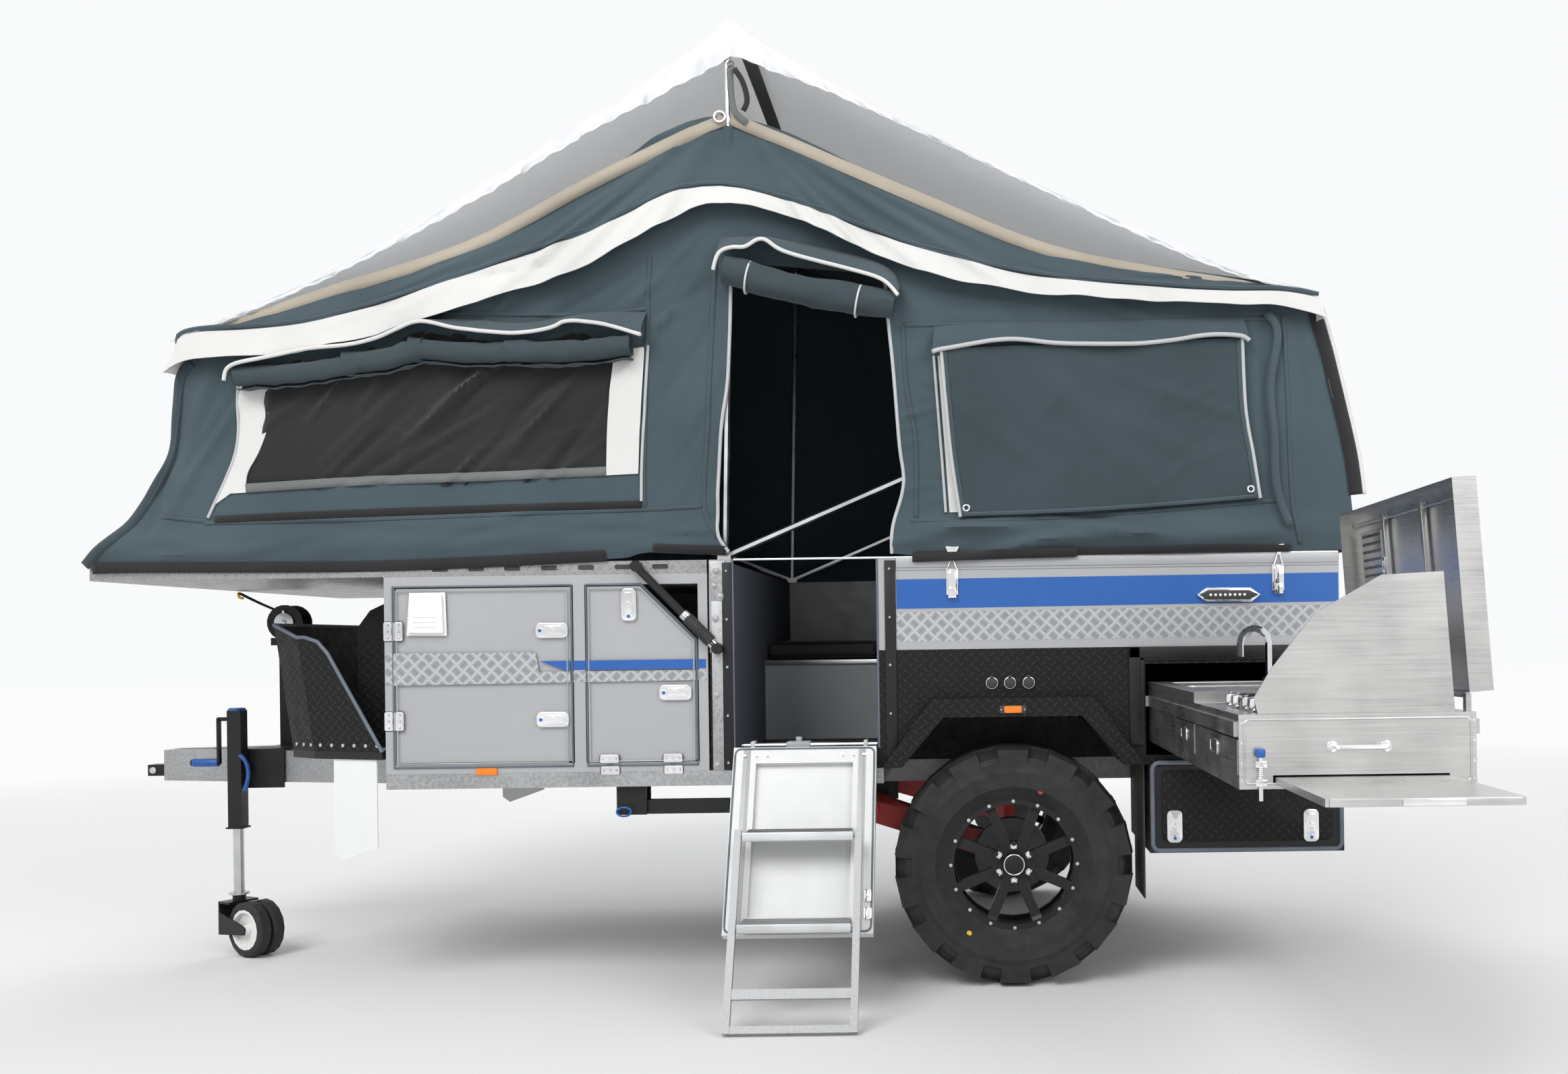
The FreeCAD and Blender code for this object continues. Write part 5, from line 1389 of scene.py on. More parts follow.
@dataclass
class Tent:
    """The canvas body, its windows and doorway, the valance round its eaves and the silver fly."""

    roof_line: Line = ((0.640, 2.176), (1.105, 2.335), (1.597, 2.490), (2.016, 2.690), (2.457, 2.897),
                       (3.088, 2.625), (3.580, 2.440), (4.229, 2.325), (4.385, 2.280))
    tape_top: Line = ((0.640, 2.180), (1.105, 2.338), (1.597, 2.494), (2.016, 2.699), (2.457, 2.908))
    tape_top_rear: Line = ((2.475, 2.908), (3.088, 2.635), (3.580, 2.443), (4.229, 2.318), (4.385, 2.270))
    band_top: Line = ((0.655, 2.150), (0.707, 2.198), (1.136, 2.234), (1.779, 2.431), (2.016, 2.510),
                      (2.444, 2.656), (3.086, 2.444), (3.491, 2.345), (4.032, 2.293), (4.269, 2.286),
                      (4.400, 2.262))
    band_low: Line = ((0.605, 2.070), (0.711, 2.111), (1.139, 2.143), (1.780, 2.326), (2.017, 2.405),
                      (2.474, 2.599), (3.086, 2.370), (3.490, 2.289), (4.030, 2.249), (4.266, 2.237),
                      (4.420, 2.196))
    front_edge: Line = ((0.690, 2.170), (0.690, 2.116), (0.645, 2.065), (0.624, 1.924), (0.609, 1.822),
                        (0.570, 1.732), (0.478, 1.579), (0.328, 1.440))
    rear_edge: Line = ((4.380, 2.240), (4.422, 2.087), (4.448, 1.978), (4.494, 1.761), (4.513, 1.592),
                       (4.530, 1.440))
    hem_low: Line = ((0.340, 1.420), (0.476, 1.423), (1.281, 1.417), (2.043, 1.440), (2.177, 1.460),
                     (2.448, 1.459))
    door_front: Line = ((2.465, 2.420), (2.464, 2.316), (2.449, 2.036), (2.424, 1.858), (2.411, 1.547),
                        (2.424, 1.488), (2.448, 1.459))
    door_rear: Line = ((2.975, 2.370), (2.977, 2.331), (2.988, 2.186), (2.999, 2.067), (3.017, 1.805),
                       (3.030, 1.675), (2.992, 1.539), (2.987, 1.447))
    net_front: Line = ((0.924, 2.078), (0.923, 1.920), (0.892, 1.818), (0.852, 1.741), (0.849, 1.677))
    net_rear: Line = ((2.076, 2.136), (2.052, 1.931), (2.044, 1.718))
    net_low: Line = ((0.849, 1.677), (1.250, 1.697), (1.636, 1.705), (2.044, 1.718))
    bead_front: Line = ((0.824, 2.031), (0.818, 1.845), (0.788, 1.742), (0.742, 1.640), (0.722, 1.595))
    bead_rear: Line = ((2.188, 2.147), (2.164, 1.801), (2.159, 1.631))
    hood_top: Line = ((0.821, 2.104), (0.909, 2.123), (1.064, 2.156), (1.257, 2.179), (1.386, 2.229),
                      (1.579, 2.243), (1.771, 2.227), (1.977, 2.253), (2.185, 2.257))
    hood_low: Line = ((0.815, 2.037), (0.831, 2.082), (0.934, 2.106), (1.063, 2.134), (1.205, 2.145),
                      (1.308, 2.169), (1.385, 2.197), (1.463, 2.221), (1.578, 2.199), (1.745, 2.179),
                      (1.886, 2.196), (1.938, 2.215), (2.066, 2.203), (2.181, 2.167))
    flap_low: Line = ((3.216, 1.563), (3.591, 1.572), (3.916, 1.590), (4.207, 1.612))
    flap_hood: Line = ((3.131, 2.105), (3.160, 2.115), (3.370, 2.143), (3.555, 2.129), (3.772, 2.123),
                       (3.924, 2.135), (4.043, 2.149), (4.152, 2.145), (4.175, 2.130))
    flap_hood_top: Line = ((3.138, 2.195), (3.328, 2.206), (3.599, 2.201), (3.925, 2.210), (4.160, 2.218))
    door_hood_top: Line = ((2.435, 2.500), (2.563, 2.500), (2.639, 2.488), (2.929, 2.422), (3.006, 2.376),
                           (3.026, 2.330))
    door_hood_low: Line = ((2.420, 2.375), (2.441, 2.430), (2.486, 2.446), (2.526, 2.445), (2.585, 2.469),
                           (2.660, 2.425), (2.861, 2.371), (2.972, 2.332), (3.023, 2.279))
    fly_line: Line = ((0.625, 2.180), (1.248, 2.447), (2.025, 2.902), (2.360, 3.120), (2.440, 3.195),
                      (2.470, 3.212), (2.500, 3.200), (2.620, 3.110), (3.092, 2.845), (4.009, 2.415),
                      (4.405, 2.288))
    fly_low: Line = ((0.625, 2.172), (1.117, 2.365), (1.606, 2.612), (2.025, 2.853), (2.290, 2.985),
                     (2.470, 3.085), (2.500, 3.082), (2.760, 2.985), (3.092, 2.832), (4.009, 2.395),
                     (4.405, 2.280))
    gable: float = 0.012
    far_seed: int = 31
    eave: float = 0.040
    fly_over: float = 0.028
    band_steps: int = 260
    hem_steps: int = 420
    flap_stand: float = 0.022
    seams: list[Thing] = field(default_factory=list)

    def near_wall(self) -> Wall:
        """The near side, with the folds that the photograph shows.

        Returns:
            The near wall.
        """
        folds = slants((2.20, 1.60), (2.42, 2.35), 62, 12, 0.45, 0.016, 0.010, 3)
        folds += slants((0.50, 1.60), (0.80, 2.05), 65, 9, 0.40, 0.022, 0.012, 5)
        folds += slants((0.50, 1.46), (2.35, 1.58), 4, 22, 0.50, 0.020, 0.012, 7)
        folds += slants((1.60, 2.20), (2.35, 2.45), 40, 12, 0.50, 0.022, 0.010, 9)
        folds += slants((3.05, 1.62), (3.16, 2.15), 10, 26, 0.12, 0.009, 0.006, 11)
        folds += slants((4.20, 1.62), (4.42, 2.15), 84, 7, 0.50, 0.018, 0.010, 13)
        folds += slants((3.10, 1.47), (4.25, 1.56), 3, 12, 0.60, 0.022, 0.014, 15)
        folds += slants((3.05, 2.22), (4.10, 2.36), -12, 10, 0.50, 0.020, 0.008, 17)
        return Wall(Side.NEAR, folds, 0.007, 1.0, 0.002, self.skirt)

    def skirt(self, x: float, z: float) -> float:
        """How the wall bellies over its foot and is drawn in between its poles."""
        foot = math.exp(-((z - 1.505) / 0.05) ** 2)
        return 0.030 * foot * (0.7 + 0.3 * math.sin(5.3 * x)) - 0.012 * math.exp(-((z - 1.95) / 0.3) ** 2)

    def far_wall(self) -> Wall:
        """The far side, with scattered soft folds.

        Returns:
            The far wall.
        """
        folds = slants((0.5, 1.5), (4.4, 2.3), 60, 40, 0.45, 0.022, 0.010, self.far_seed)
        folds += slants((0.5, 1.47), (4.4, 1.58), 4, 24, 0.5, 0.02, 0.012, self.far_seed + 1)
        return Wall(Side.FAR, folds, 0.007, float(self.far_seed), 0.002, self.skirt)

    def wall(self, side: Side) -> Wall:
        """The wall of a side."""
        return self.near_wall() if side is Side.NEAR else self.far_wall()

    def hood(self, wall: Wall, base: float, rise: float, ruffle: float,
             beat: float) -> Callable[[float, float, float], Point]:
        """How a hood hangs: it leans out from its wall towards a ruffled lower edge.

        Args:
            wall: the wall that it is sewn to.
            base: how far its top stands off the cloth.
            rise: how much further its lower edge stands off.
            ruffle: the height of the edge's waves.
            beat: how close together they are.

        Returns:
            Where a flat point lies, given also its share of the way down.
        """

        def place(x: float, z: float, share: float) -> Point:
            """Where a flat point lies, at its share of the way down."""
            out = base + rise * math.sin(0.5 * math.pi * share) + ruffle * share * math.sin(beat * x)
            return wall.at(x, z, out)

        return place

    def gable_wall(self, side: Side) -> Wall:
        """The outer layer above the eaves, which hangs free in front of the wall.

        Args:
            side: which long side of the trailer.

        Returns:
            The wall that the gable's cloth follows.
        """
        sharp = fan((2.455, 2.90), 188, 238, 9, 1.30, 0.020, 0.020, 21)
        sharp += fan((2.480, 2.90), 302, 350, 9, 1.25, 0.020, 0.020, 23)
        sharp += slants((0.75, 2.18), (1.9, 2.45), 22, 14, 0.35, 0.013, 0.008, 25)
        sharp += slants((3.3, 2.32), (4.3, 2.36), -14, 10, 0.40, 0.013, 0.006, 27)
        return Wall(side, sharp, 0.005, 4.0 + side.value, self.gable)

    def add(self, obj: Thing, name: str, material: str) -> Thing:
        """Settles one piece of the tent, which rides on the trailer."""
        return settle(obj, name, material, "trailer")

    def outline(self) -> list[Flat]:
        """The near side's flat cut, round its doorway.

        Returns:
            The corners of the cut.
        """
        top = [(x, z - 0.004) for x, z in spaced(self.roof_line, 0.03)]
        rear = spaced(self.rear_edge, 0.02)
        front = spaced(self.front_edge, 0.02)
        door = spaced(self.door_rear, 0.02)[::-1] + spaced(self.door_front, 0.02)
        return ([p for p in top if 0.70 < p[0] < 4.37] + rear + [(4.316, 1.438), (3.075, 1.438)] + door
                + spaced(self.hem_low, 0.03)[::-1] + front[::-1])

    def whole_side(self) -> list[Flat]:
        """The far side's flat cut, with no doorway.

        Returns:
            The corners of the cut.
        """
        top = [(x, z - 0.004) for x, z in spaced(self.roof_line, 0.03)]
        return ([p for p in top if 0.70 < p[0] < 4.37] + spaced(self.rear_edge, 0.02)
                + [(4.316, 1.438), (2.4, 1.438), (0.45, 1.425)] + spaced(self.front_edge, 0.02)[::-1])

    def net_hole(self, shrink: float = 0.0) -> list[Flat]:
        """The window's opening, smaller by a margin if asked.

        Args:
            shrink: the margin.

        Returns:
            The corners of the opening.
        """
        top = [(x, z - 0.02 - shrink) for x, z in self.hood_low if 0.94 < x < 2.06]
        loop = ([(x + shrink, z) for x, z in spaced(self.net_front, 0.03)[::-1]] + top
                + [(x - shrink, z) for x, z in spaced(self.net_rear, 0.03)]
                + [(x, z + shrink) for x, z in spaced(self.net_low, 0.05)[::-1][1:-1]])
        return loop

    def walls(self) -> None:
        """The two sides, with the near one's doorway and both windows' openings."""
        near = self.near_wall()
        hole = self.net_hole()
        cloth = cut_sheet(self.outline(), [hole], 0.014, near.at)
        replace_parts(self.add(cloth, "tent_near_side", "canvas"), "tent_canvas")
        far = self.far_wall()
        back = cut_sheet(self.whole_side(), [hole, self.rear_hole()], 0.022, far.at)
        self.add(back, "tent_far_side", "canvas")

    def rear_hole(self) -> list[Flat]:
        """The rear window's opening, behind its closed flap."""
        return [(3.24, 1.65), (4.12, 1.68), (4.10, 2.10), (3.24, 2.08)]

    def nets(self) -> None:
        """The see-through nets in the front windows, with the tape along each foot."""
        for side, seed in ((Side.NEAR, 41), (Side.FAR, 43)):
            folds = slants((0.85, 1.68), (2.05, 2.12), 41, 26, 0.62, 0.014, 0.014, seed)
            wall = Wall(side, folds, 0.006, float(seed), -0.008)
            net = cut_sheet(self.net_hole(-0.012), [], 0.013, wall.at, 0.0)
            self.add(net, f"window_net_{side.word}", "net")
            foot = tape([(x, z + 0.014) for x, z in self.net_low], 0.030, wall, 0.012)
            self.add(foot, f"net_tape_{side.word}", "fly_tape")

    def ends(self) -> None:
        """The leaning front and rear walls, slack between the two sides."""
        for name, line, out, seed in (("front", self.front_edge, -1, 51.0),
                                      ("rear", self.rear_edge, 1, 53.0)):

            def slack(x: float, z: float, share: float) -> Point:
                """Where an end wall lies, with a slight belly.

                Args:
                    x: its place along the trailer.
                    z: its height.
                    share: its share of the way across.

                Returns:
                    The point.
                """
                y = -HALF + 2 * HALF * share
                belly = 0.02 * math.sin(math.pi * share) * (1 + 0.6 * math.sin(9 * share))
                wave = 0.012 * noise.fractal(Vector((y * 2.0, z * 2.5, seed)), 1.0, 2.2, 4)
                edge = min(1.0, 12 * min(share, 1 - share))
                return (x + out * (wave - belly) * edge, y, up(z))

            wall = self.add(surface(grid(evenly(line, 40), 60, slack), FABRIC), f"tent_{name}_end",
                            "canvas")

    def roof(self) -> None:
        """The canvas roof under the fly, drawn down a little between its hoops."""

        def hung(x: float, z: float, share: float) -> Point:
            """Where the roof lies, with a slight sag.

            Args:
                x: its place along the trailer.
                z: its height.
                share: its share of the way across.

            Returns:
                The point.
            """
            sag = 0.018 * math.sin(math.pi * share)
            sag += 0.006 * noise.noise(Vector((x * 3, share * 5, 7.0)))
            return (x, -HALF - 0.012 + 2 * (HALF + 0.012) * share, up(z - sag))

        cloth = self.add(surface(grid(evenly(self.roof_line, 90), 40, hung), FABRIC), "tent_roof", "canvas")

    def valance(self) -> None:
        """The gable's outer layer with its white hem, which stands off the wall at its lower edge."""
        dice = random.Random(61)
        waves = [(dice.uniform(5, 26), dice.uniform(0, 6), dice.uniform(0.2, 1.0)) for _ in range(6)]

        def ripple(x: float) -> float:
            """The height of the hanging edge's waves at a place."""
            return sum(h * math.sin(f * x + p) for f, p, h in waves) / 4

        for side in Side:
            wall = self.gable_wall(side)
            label = side.word

            def upper(x: float, z: float, share: float) -> Point:
                """Where the cloth above the valance lies."""
                return wall.at(x, z, self.eave * share ** 1.4 + 0.010 * share * ripple(x))

            def lower(x: float, z: float, share: float) -> Point:
                """Where the valance lies, below the eaves.

                Args:
                    x: its place along the trailer.
                    z: its height.
                    share: its share of the way across.

                Returns:
                    The point.
                """
                z -= 0.006 * share * ripple(x * 1.7 + 1)
                return wall.at(x, z, self.eave + 0.010 * ripple(x)
                               + share * (0.010 + 0.016 * ripple(x * 1.3)))

            roof = [(x, z + 0.002) for x, z in self.roof_line]
            cloth = self.add(between(roof, self.band_top, 24, self.band_steps, upper),
                             f"gable_cloth_{label}", "canvas")
            band = self.add(between(self.band_top, self.band_low, 8, self.band_steps, lower),
                            f"valance_band_{label}", "white_cloth")
            for number, line in enumerate((self.tape_top, self.tape_top_rear)):
                lowered = [(x, z - 0.020) for x, z in line]
                strip = tape(lowered, 0.040, wall, 0.008, 0.003)
                self.add(strip, f"roof_tape_{label}_{number}", "beige_tape")
            seam = Wall(side, wall.folds, wall.ripple, wall.seed, wall.base + 0.036)
            self.seams.append(tape([(x, z + 0.012) for x, z in self.band_top], SEAM, seam, 0.006))

    def end_valances(self) -> None:
        """The white hem carried round the front and the rear eave."""
        for name, (x0, z0), (x1, z1) in (("front", self.band_top[0], self.band_low[0]),
                                         ("rear", self.band_top[-1], self.band_low[-1])):
            out = -1 if name == "front" else 1
            rows = []
            for share in (0.0, 0.25, 0.5, 0.75, 1.0):
                row = []
                for k in range(81):
                    y = -1.0 + 2.0 * k / 80
                    wave = 0.012 * share * math.sin(17 * y + 2) + 0.008 * share * math.sin(41 * y)
                    row.append((x0 + (x1 - x0) * share + out * (0.004 + wave), y,
                                up(z0 + (z1 - z0) * share)))
                rows.append(row)
            band = self.add(surface(rows, FABRIC), f"valance_band_{name}", "white_cloth")

    def window(self, side: Side) -> None:
        """The front window's side strips, piping, hood, rolled flap and hook tape.

        Args:
            side: which long side of the trailer.
        """
        wall = self.wall(side)
        label = side.word
        strips = ((self.bead_front, self.net_front, "front"),
                  (self.net_rear, [(2.176, 2.140), (2.158, 1.90), (2.150, 1.722)], "rear"))
        for one, other, where in strips:
            if where == "front":
                one = [(x + 0.004, z) for x, z in one[:4]] + [(0.755, 1.672)]
            strip = between(one, other, 8, 24, lambda x, z, s: wall.at(x, z, 0.006))
            self.add(strip, f"window_strip_{where}_{label}", "white_cloth")
        for line, where in ((self.bead_front, "front"), (self.bead_rear, "rear")):
            self.add(piping(line, wall), f"window_bead_{where}_{label}", "pale_piping")
        hood = self.hood(wall, 0.004, 0.075, 0.008, 23)
        cover = self.add(between(self.hood_top, self.hood_low, 10, 90, hood), f"window_hood_{label}",
                         "canvas")
        edge = tube([hood(x, z, 1.0) for x, z in evenly(self.hood_low, 60)], BEAD, sides=2)
        self.add(edge, f"window_hood_bead_{label}", "white_cloth")
        y = side.value * (HALF + 0.035)
        lumps = [(0.86, 2.055), (1.22, 2.092), (1.43, 2.140), (1.75, 2.125), (2.11, 2.140)]
        rolls = []
        for number, ((xa, za), (xb, zb)) in enumerate(zip(lumps, lumps[1:])):
            rolls.append(rolled((xa - 0.02, y, up(za)), (xb + 0.03, y, up(zb)),
                                0.042 + 0.004 * (number % 2), 60 + number, 1.8, 0.012))
        # The roll is dressed in canvas_dark, a darker copy of the canvas that paints the roll's shade.
        roll = self.add(fused(rolls), f"window_roll_{label}", "canvas_dark")
        hook = tape([(0.741, 1.588), (1.2, 1.603), (1.636, 1.612), (2.159, 1.620)], 0.026, wall, 0.004)
        self.add(hook, f"window_hook_tape_{label}", "hook_tape")

    def flap(self, side: Side) -> None:
        """The rear window's closed flap with its hood, pale edge and eyelets.

        Args:
            side: which long side of the trailer.
        """
        wall = self.wall(side)
        label = side.word
        creases = slants((3.2, 1.62), (4.15, 2.10), 60, 14, 0.20, 0.010, 0.004, 71)
        creases += slants((3.9, 1.65), (4.17, 2.0), 35, 16, 0.16, 0.009, 0.006, 73)
        creases += slants((3.3, 1.75), (4.0, 2.05), -30, 8, 0.6, 0.035, 0.006, 75)
        loose = Wall(side, creases, 0.006, 8.0, self.flap_stand)
        front = [(3.157, 2.12), (3.176, 1.90), (3.190, 1.75), (3.216, 1.563)]
        rear = [(4.154, 2.14), (4.162, 1.90), (4.184, 1.765), (4.207, 1.612)]
        cloth = between(front, rear, 74, 42, lambda x, z, s: loose.at(x, z))
        # The closed flap is dressed in canvas_dark, a darker copy of the canvas that paints the flap's
        # shade.
        self.add(cloth, f"flap_{label}", "canvas_dark")
        for line, where in (([(3.160, 2.11)] + front[1:], "front"), (rear, "rear")):
            self.add(piping(line, loose, 0.006, 0.002), f"flap_bead_{where}_{label}", "pale_piping")
        self.seams.append(tape([(x + 0.012, z) for x, z in front], SEAM, loose, 0.003))
        self.seams.append(tape([(x - 0.012, z) for x, z in rear], SEAM, loose, 0.003))
        self.seams.append(tape([(x, z + 0.008) for x, z in self.flap_low], SEAM, loose, 0.003))
        under = [(3.135, 2.10), (3.148, 1.90), (3.158, 1.75), (3.168, 1.58)]
        self.add(piping(under, wall), f"flap_under_bead_{label}", "pale_piping")
        strip = between([(x + 0.012, z) for x, z in under], [(x + 0.075, z) for x, z in under], 3, 24,
                        lambda x, z, s: wall.at(x, z, 0.004))
        self.add(strip, f"flap_strip_{label}", "white_cloth")
        hood = self.hood(wall, 0.006, 0.040, 0.005, 19)
        cover = self.add(between(self.flap_hood_top, self.flap_hood, 8, 70, hood), f"flap_hood_{label}",
                         "canvas")
        edge = tube([hood(x, z, 1.0) for x, z in evenly(self.flap_hood, 50)], 0.0075, sides=2)
        self.add(edge, f"flap_hood_bead_{label}", "pale_piping")
        rings = [ring(loose.at(x, z, 0.003), 0.010, 0.0035, (0, side.value, 0), 24, 8)
                 for x, z in ((3.236, 1.592), (4.176, 1.642))]
        self.add(fused(rings), f"flap_eyelets_{label}", "chrome")

    def doorway(self) -> None:
        """The door's piped edges, its hood, the rolled door flap and the two ties."""
        wall = self.near_wall()
        for line, where in ((self.door_front, "front"), (self.door_rear, "rear")):
            self.add(piping(line, wall, 0.006, 0.002), f"door_bead_{where}", "pale_piping")
        hood = self.hood(wall, 0.006, 0.085, 0.006, 15)
        cover = self.add(between(self.door_hood_top, self.door_hood_low, 10, 60, hood), "door_hood",
                         "canvas")
        edge = tube([hood(x, z, 1.0) for x, z in evenly(self.door_hood_low, 50)], BEAD, sides=2)
        self.add(edge, "door_hood_bead", "white_cloth")
        y = -HALF - 0.045
        start, end = (2.450, y, up(2.385)), (3.010, y, up(2.262))
        # The door roll is dressed in canvas_dark, a darker copy of the canvas that paints its shade.
        roll = self.add(rolled(start, end, 0.050, 81, 2.2, 0.02), "door_roll", "canvas_dark")
        ties = [ring((x, y, up(z - 0.006)), 0.052, 0.0035, (0.97, 0.0, -0.22), 32, 6)
                for x, z in ((2.530, 2.362), (2.890, 2.280))]
        self.add(fused(ties), "door_ties", "white_cloth")

    def sewing(self) -> None:
        """Double-stitched seams across the walls."""
        near = self.near_wall()
        lines = ([(2.198, 2.443), (2.189, 2.269), (2.170, 1.801), (2.168, 1.608)],
                 [(2.416, 2.427), (2.400, 2.209), (2.381, 1.888), (2.367, 1.618), (2.417, 1.502)],
                 [(1.500, 2.262), (1.996, 2.253), (2.189, 2.269)],
                 [(0.710, 1.578), (1.20, 1.583), (1.636, 1.592), (2.170, 1.604), (2.360, 1.612)],
                 [(3.033, 2.204), (3.043, 1.997), (3.071, 1.823), (3.070, 1.563)],
                 [(3.035, 2.204), (3.708, 2.202), (4.25, 2.212)],
                 [(3.053, 1.555), (3.590, 1.561), (4.269, 1.606)],
                 [(4.294, 2.219), (4.307, 1.980), (4.316, 1.611), (4.340, 1.460)],
                 [(0.560, 1.602), (0.71, 1.585), (0.722, 1.595)])
        self.seams += [tape(line, 0.013, near, 0.0035) for line in lines]
        far = self.far_wall()
        for line in ([(2.40, 2.55), (2.38, 1.47)], [(3.05, 2.42), (3.05, 1.47)],
                     [(0.56, 1.60), (4.43, 1.60)], [(4.30, 2.22), (4.33, 1.46)]):
            self.seams.append(tape(line, 0.013, far, 0.0035))
        self.add(fused(self.seams), "tent_seams", "canvas_seam")

    def edges(self) -> None:
        """The black hems along the foot, the black edge strip at the rear corner and the hanging tie."""
        near = self.near_wall()
        far = self.far_wall()
        hems = [tape([(x, z + 0.010) for x, z in self.hem_low[:4]], 0.036, near, 0.005),
                tape([(2.20, 1.474), (2.44, 1.462)], 0.030, near, 0.005),
                tape([(3.06, 1.440), (3.60, 1.444), (4.31, 1.446)], 0.024, near, 0.008),
                tape([(3.055, 1.430), (3.30, 1.436), (3.60, 1.441)], 0.030, near, 0.020),
                tape([(0.44, 1.435), (2.4, 1.445), (4.31, 1.445)], 0.030, far, 0.006)]
        self.add(fused(hems), "tent_hem", "black_cloth")
        edge = [(x + 0.018, z) for x, z in spaced(self.rear_edge, 0.03)[:-6]]
        for side, wall in ((Side.NEAR, near), (Side.FAR, far)):
            label = side.word
            self.add(tape(edge, 0.046, wall, 0.006), f"corner_strip_{label}", "black_cloth")
            self.add(tape([(x + 0.028, z) for x, z in edge], 0.012, wall, 0.006), f"corner_edge_{label}",
                     "white_cloth")
            front = [(x - 0.010, z) for x, z in spaced(self.front_edge, 0.03)[2:]]
            # The strip along the front corner is canvas_dark, a darker copy of the canvas: painted shade
            # where the wall turns away.
            self.add(tape(front, 0.030, wall, 0.004), f"front_corner_{label}", "canvas_dark")
        tie = [(4.237, 2.225), (4.273, 2.154), (4.247, 1.981), (4.258, 1.807), (4.262, 1.655),
               (4.300, 1.520)]
        strap = self.add(tape(tie, 0.026, near, 0.022, 0.002), "hanging_tie", "canvas")

    def fly(self) -> None:
        """The silver fly over its ridge poles, its gathered side hems and the tape along its ridge."""
        wide = HALF + self.fly_over

        def slung(x: float, z: float, share: float) -> Point:
            """Where the fly lies, sagging between its poles.

            Args:
                x: its place along the trailer.
                z: its height.
                share: its share of the way across.

            Returns:
                The point.
            """
            lumps = noise.fractal(Vector((x * 1.5, share * 3, 3.0)), 1.0, 2.0, 3)
            sag = 0.030 * math.sin(math.pi * share) + 0.006 * lumps
            return (x, -wide + 2 * wide * share, up(z - sag))

        cloth = self.add(surface(grid(evenly(self.fly_line, 110), 48, slung), SILVER), "fly", "fly_cloth")
        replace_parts(cloth, "tent_fly")
        for side in Side:
            top, low = evenly(self.fly_line, self.hem_steps), evenly(self.fly_low, self.hem_steps)
            rows = []
            for i in range(9):
                share = i / 8
                row = []
                for k, ((x0, z0), (x1, z1)) in enumerate(zip(top, low)):
                    gather = share ** 2 * (0.005 * math.sin(k * 0.95) + 0.004 * math.sin(k * 0.41 + 1))
                    peak = math.exp(-((x0 - 2.47) / 0.22) ** 2)
                    crease = 0.018 * peak * share * math.sin((x0 - 2.47) * 48 * (1 - 0.4 * share))
                    lump = 0.006 * noise.noise(Vector((x0 * 9, share * 2, 5.0)))
                    y = side.value * (wide + 0.003 + gather + crease * 0.6 + lump)
                    row.append((x0 + (x1 - x0) * share, y, up(z0 + (z1 - z0) * share)))
                rows.append(row)
            hem = self.add(surface(rows, SILVER), f"fly_hem_{side.word}", "silver_cloth")
        ridge = [[(x, y, up(z)) for y in [-wide + 2 * wide * k / 30 for k in range(31)]]
                 for x, z in ((2.485, 3.170), (2.545, 3.128))]
        strip = self.add(surface(ridge, SILVER), "fly_ridge_tape", "fly_tape")

    def peak(self) -> None:
        """The pole's sleeve, its strap and buckle, and the ring beside it, on each side."""
        for side in Side:
            s = side.value
            label = side.word
            y = s * (HALF + 0.011 + 0.001)
            sleeve = tube([(2.4655, y, up(2.862)), (2.465, y, up(2.78)), (2.465, y + s * 0.002, up(2.688))],
                          0.0185, sides=5)
            self.add(sleeve, f"pole_sleeve_{label}", "canvas")
            buckle = [ring((2.478, y + s * 0.017, up(3.066 - 0.014 * i)), 0.010, 0.0026, (0, s, 0.15), 20,
                           6) for i in range(3)]
            self.add(fused(buckle), f"fly_buckle_{label}", "cast_iron")
            near = Wall(side, [], 0.0, 0.0, 0.030)
            strap = tape([(2.476, 3.050), (2.480, 2.960), (2.492, 2.905), (2.530, 2.870)], 0.022, near,
                         0.002)
            self.add(strap, f"fly_strap_{label}", "fly_tape")
            tail = tape([(2.492, 3.045), (2.520, 3.000), (2.534, 2.940), (2.520, 2.905)], 0.018, near,
                        0.014)
            self.add(tail, f"fly_strap_tail_{label}", "black_webbing")
            loop = ring((2.440, s * (HALF + 0.030), up(2.892)), 0.018, 0.0045, (0, s, 0.1), 24, 8)
            self.add(loop, f"gable_ring_{label}", "chrome")

    def build(self) -> None:
        """Makes every piece of the tent."""
        self.walls()
        self.nets()
        self.ends()
        self.roof()
        self.valance()
        self.end_valances()
        for side in Side:
            self.window(side)
            self.flap(side)
        self.doorway()
        self.sewing()
        self.edges()
        self.fly()
        self.peak()


# body sides


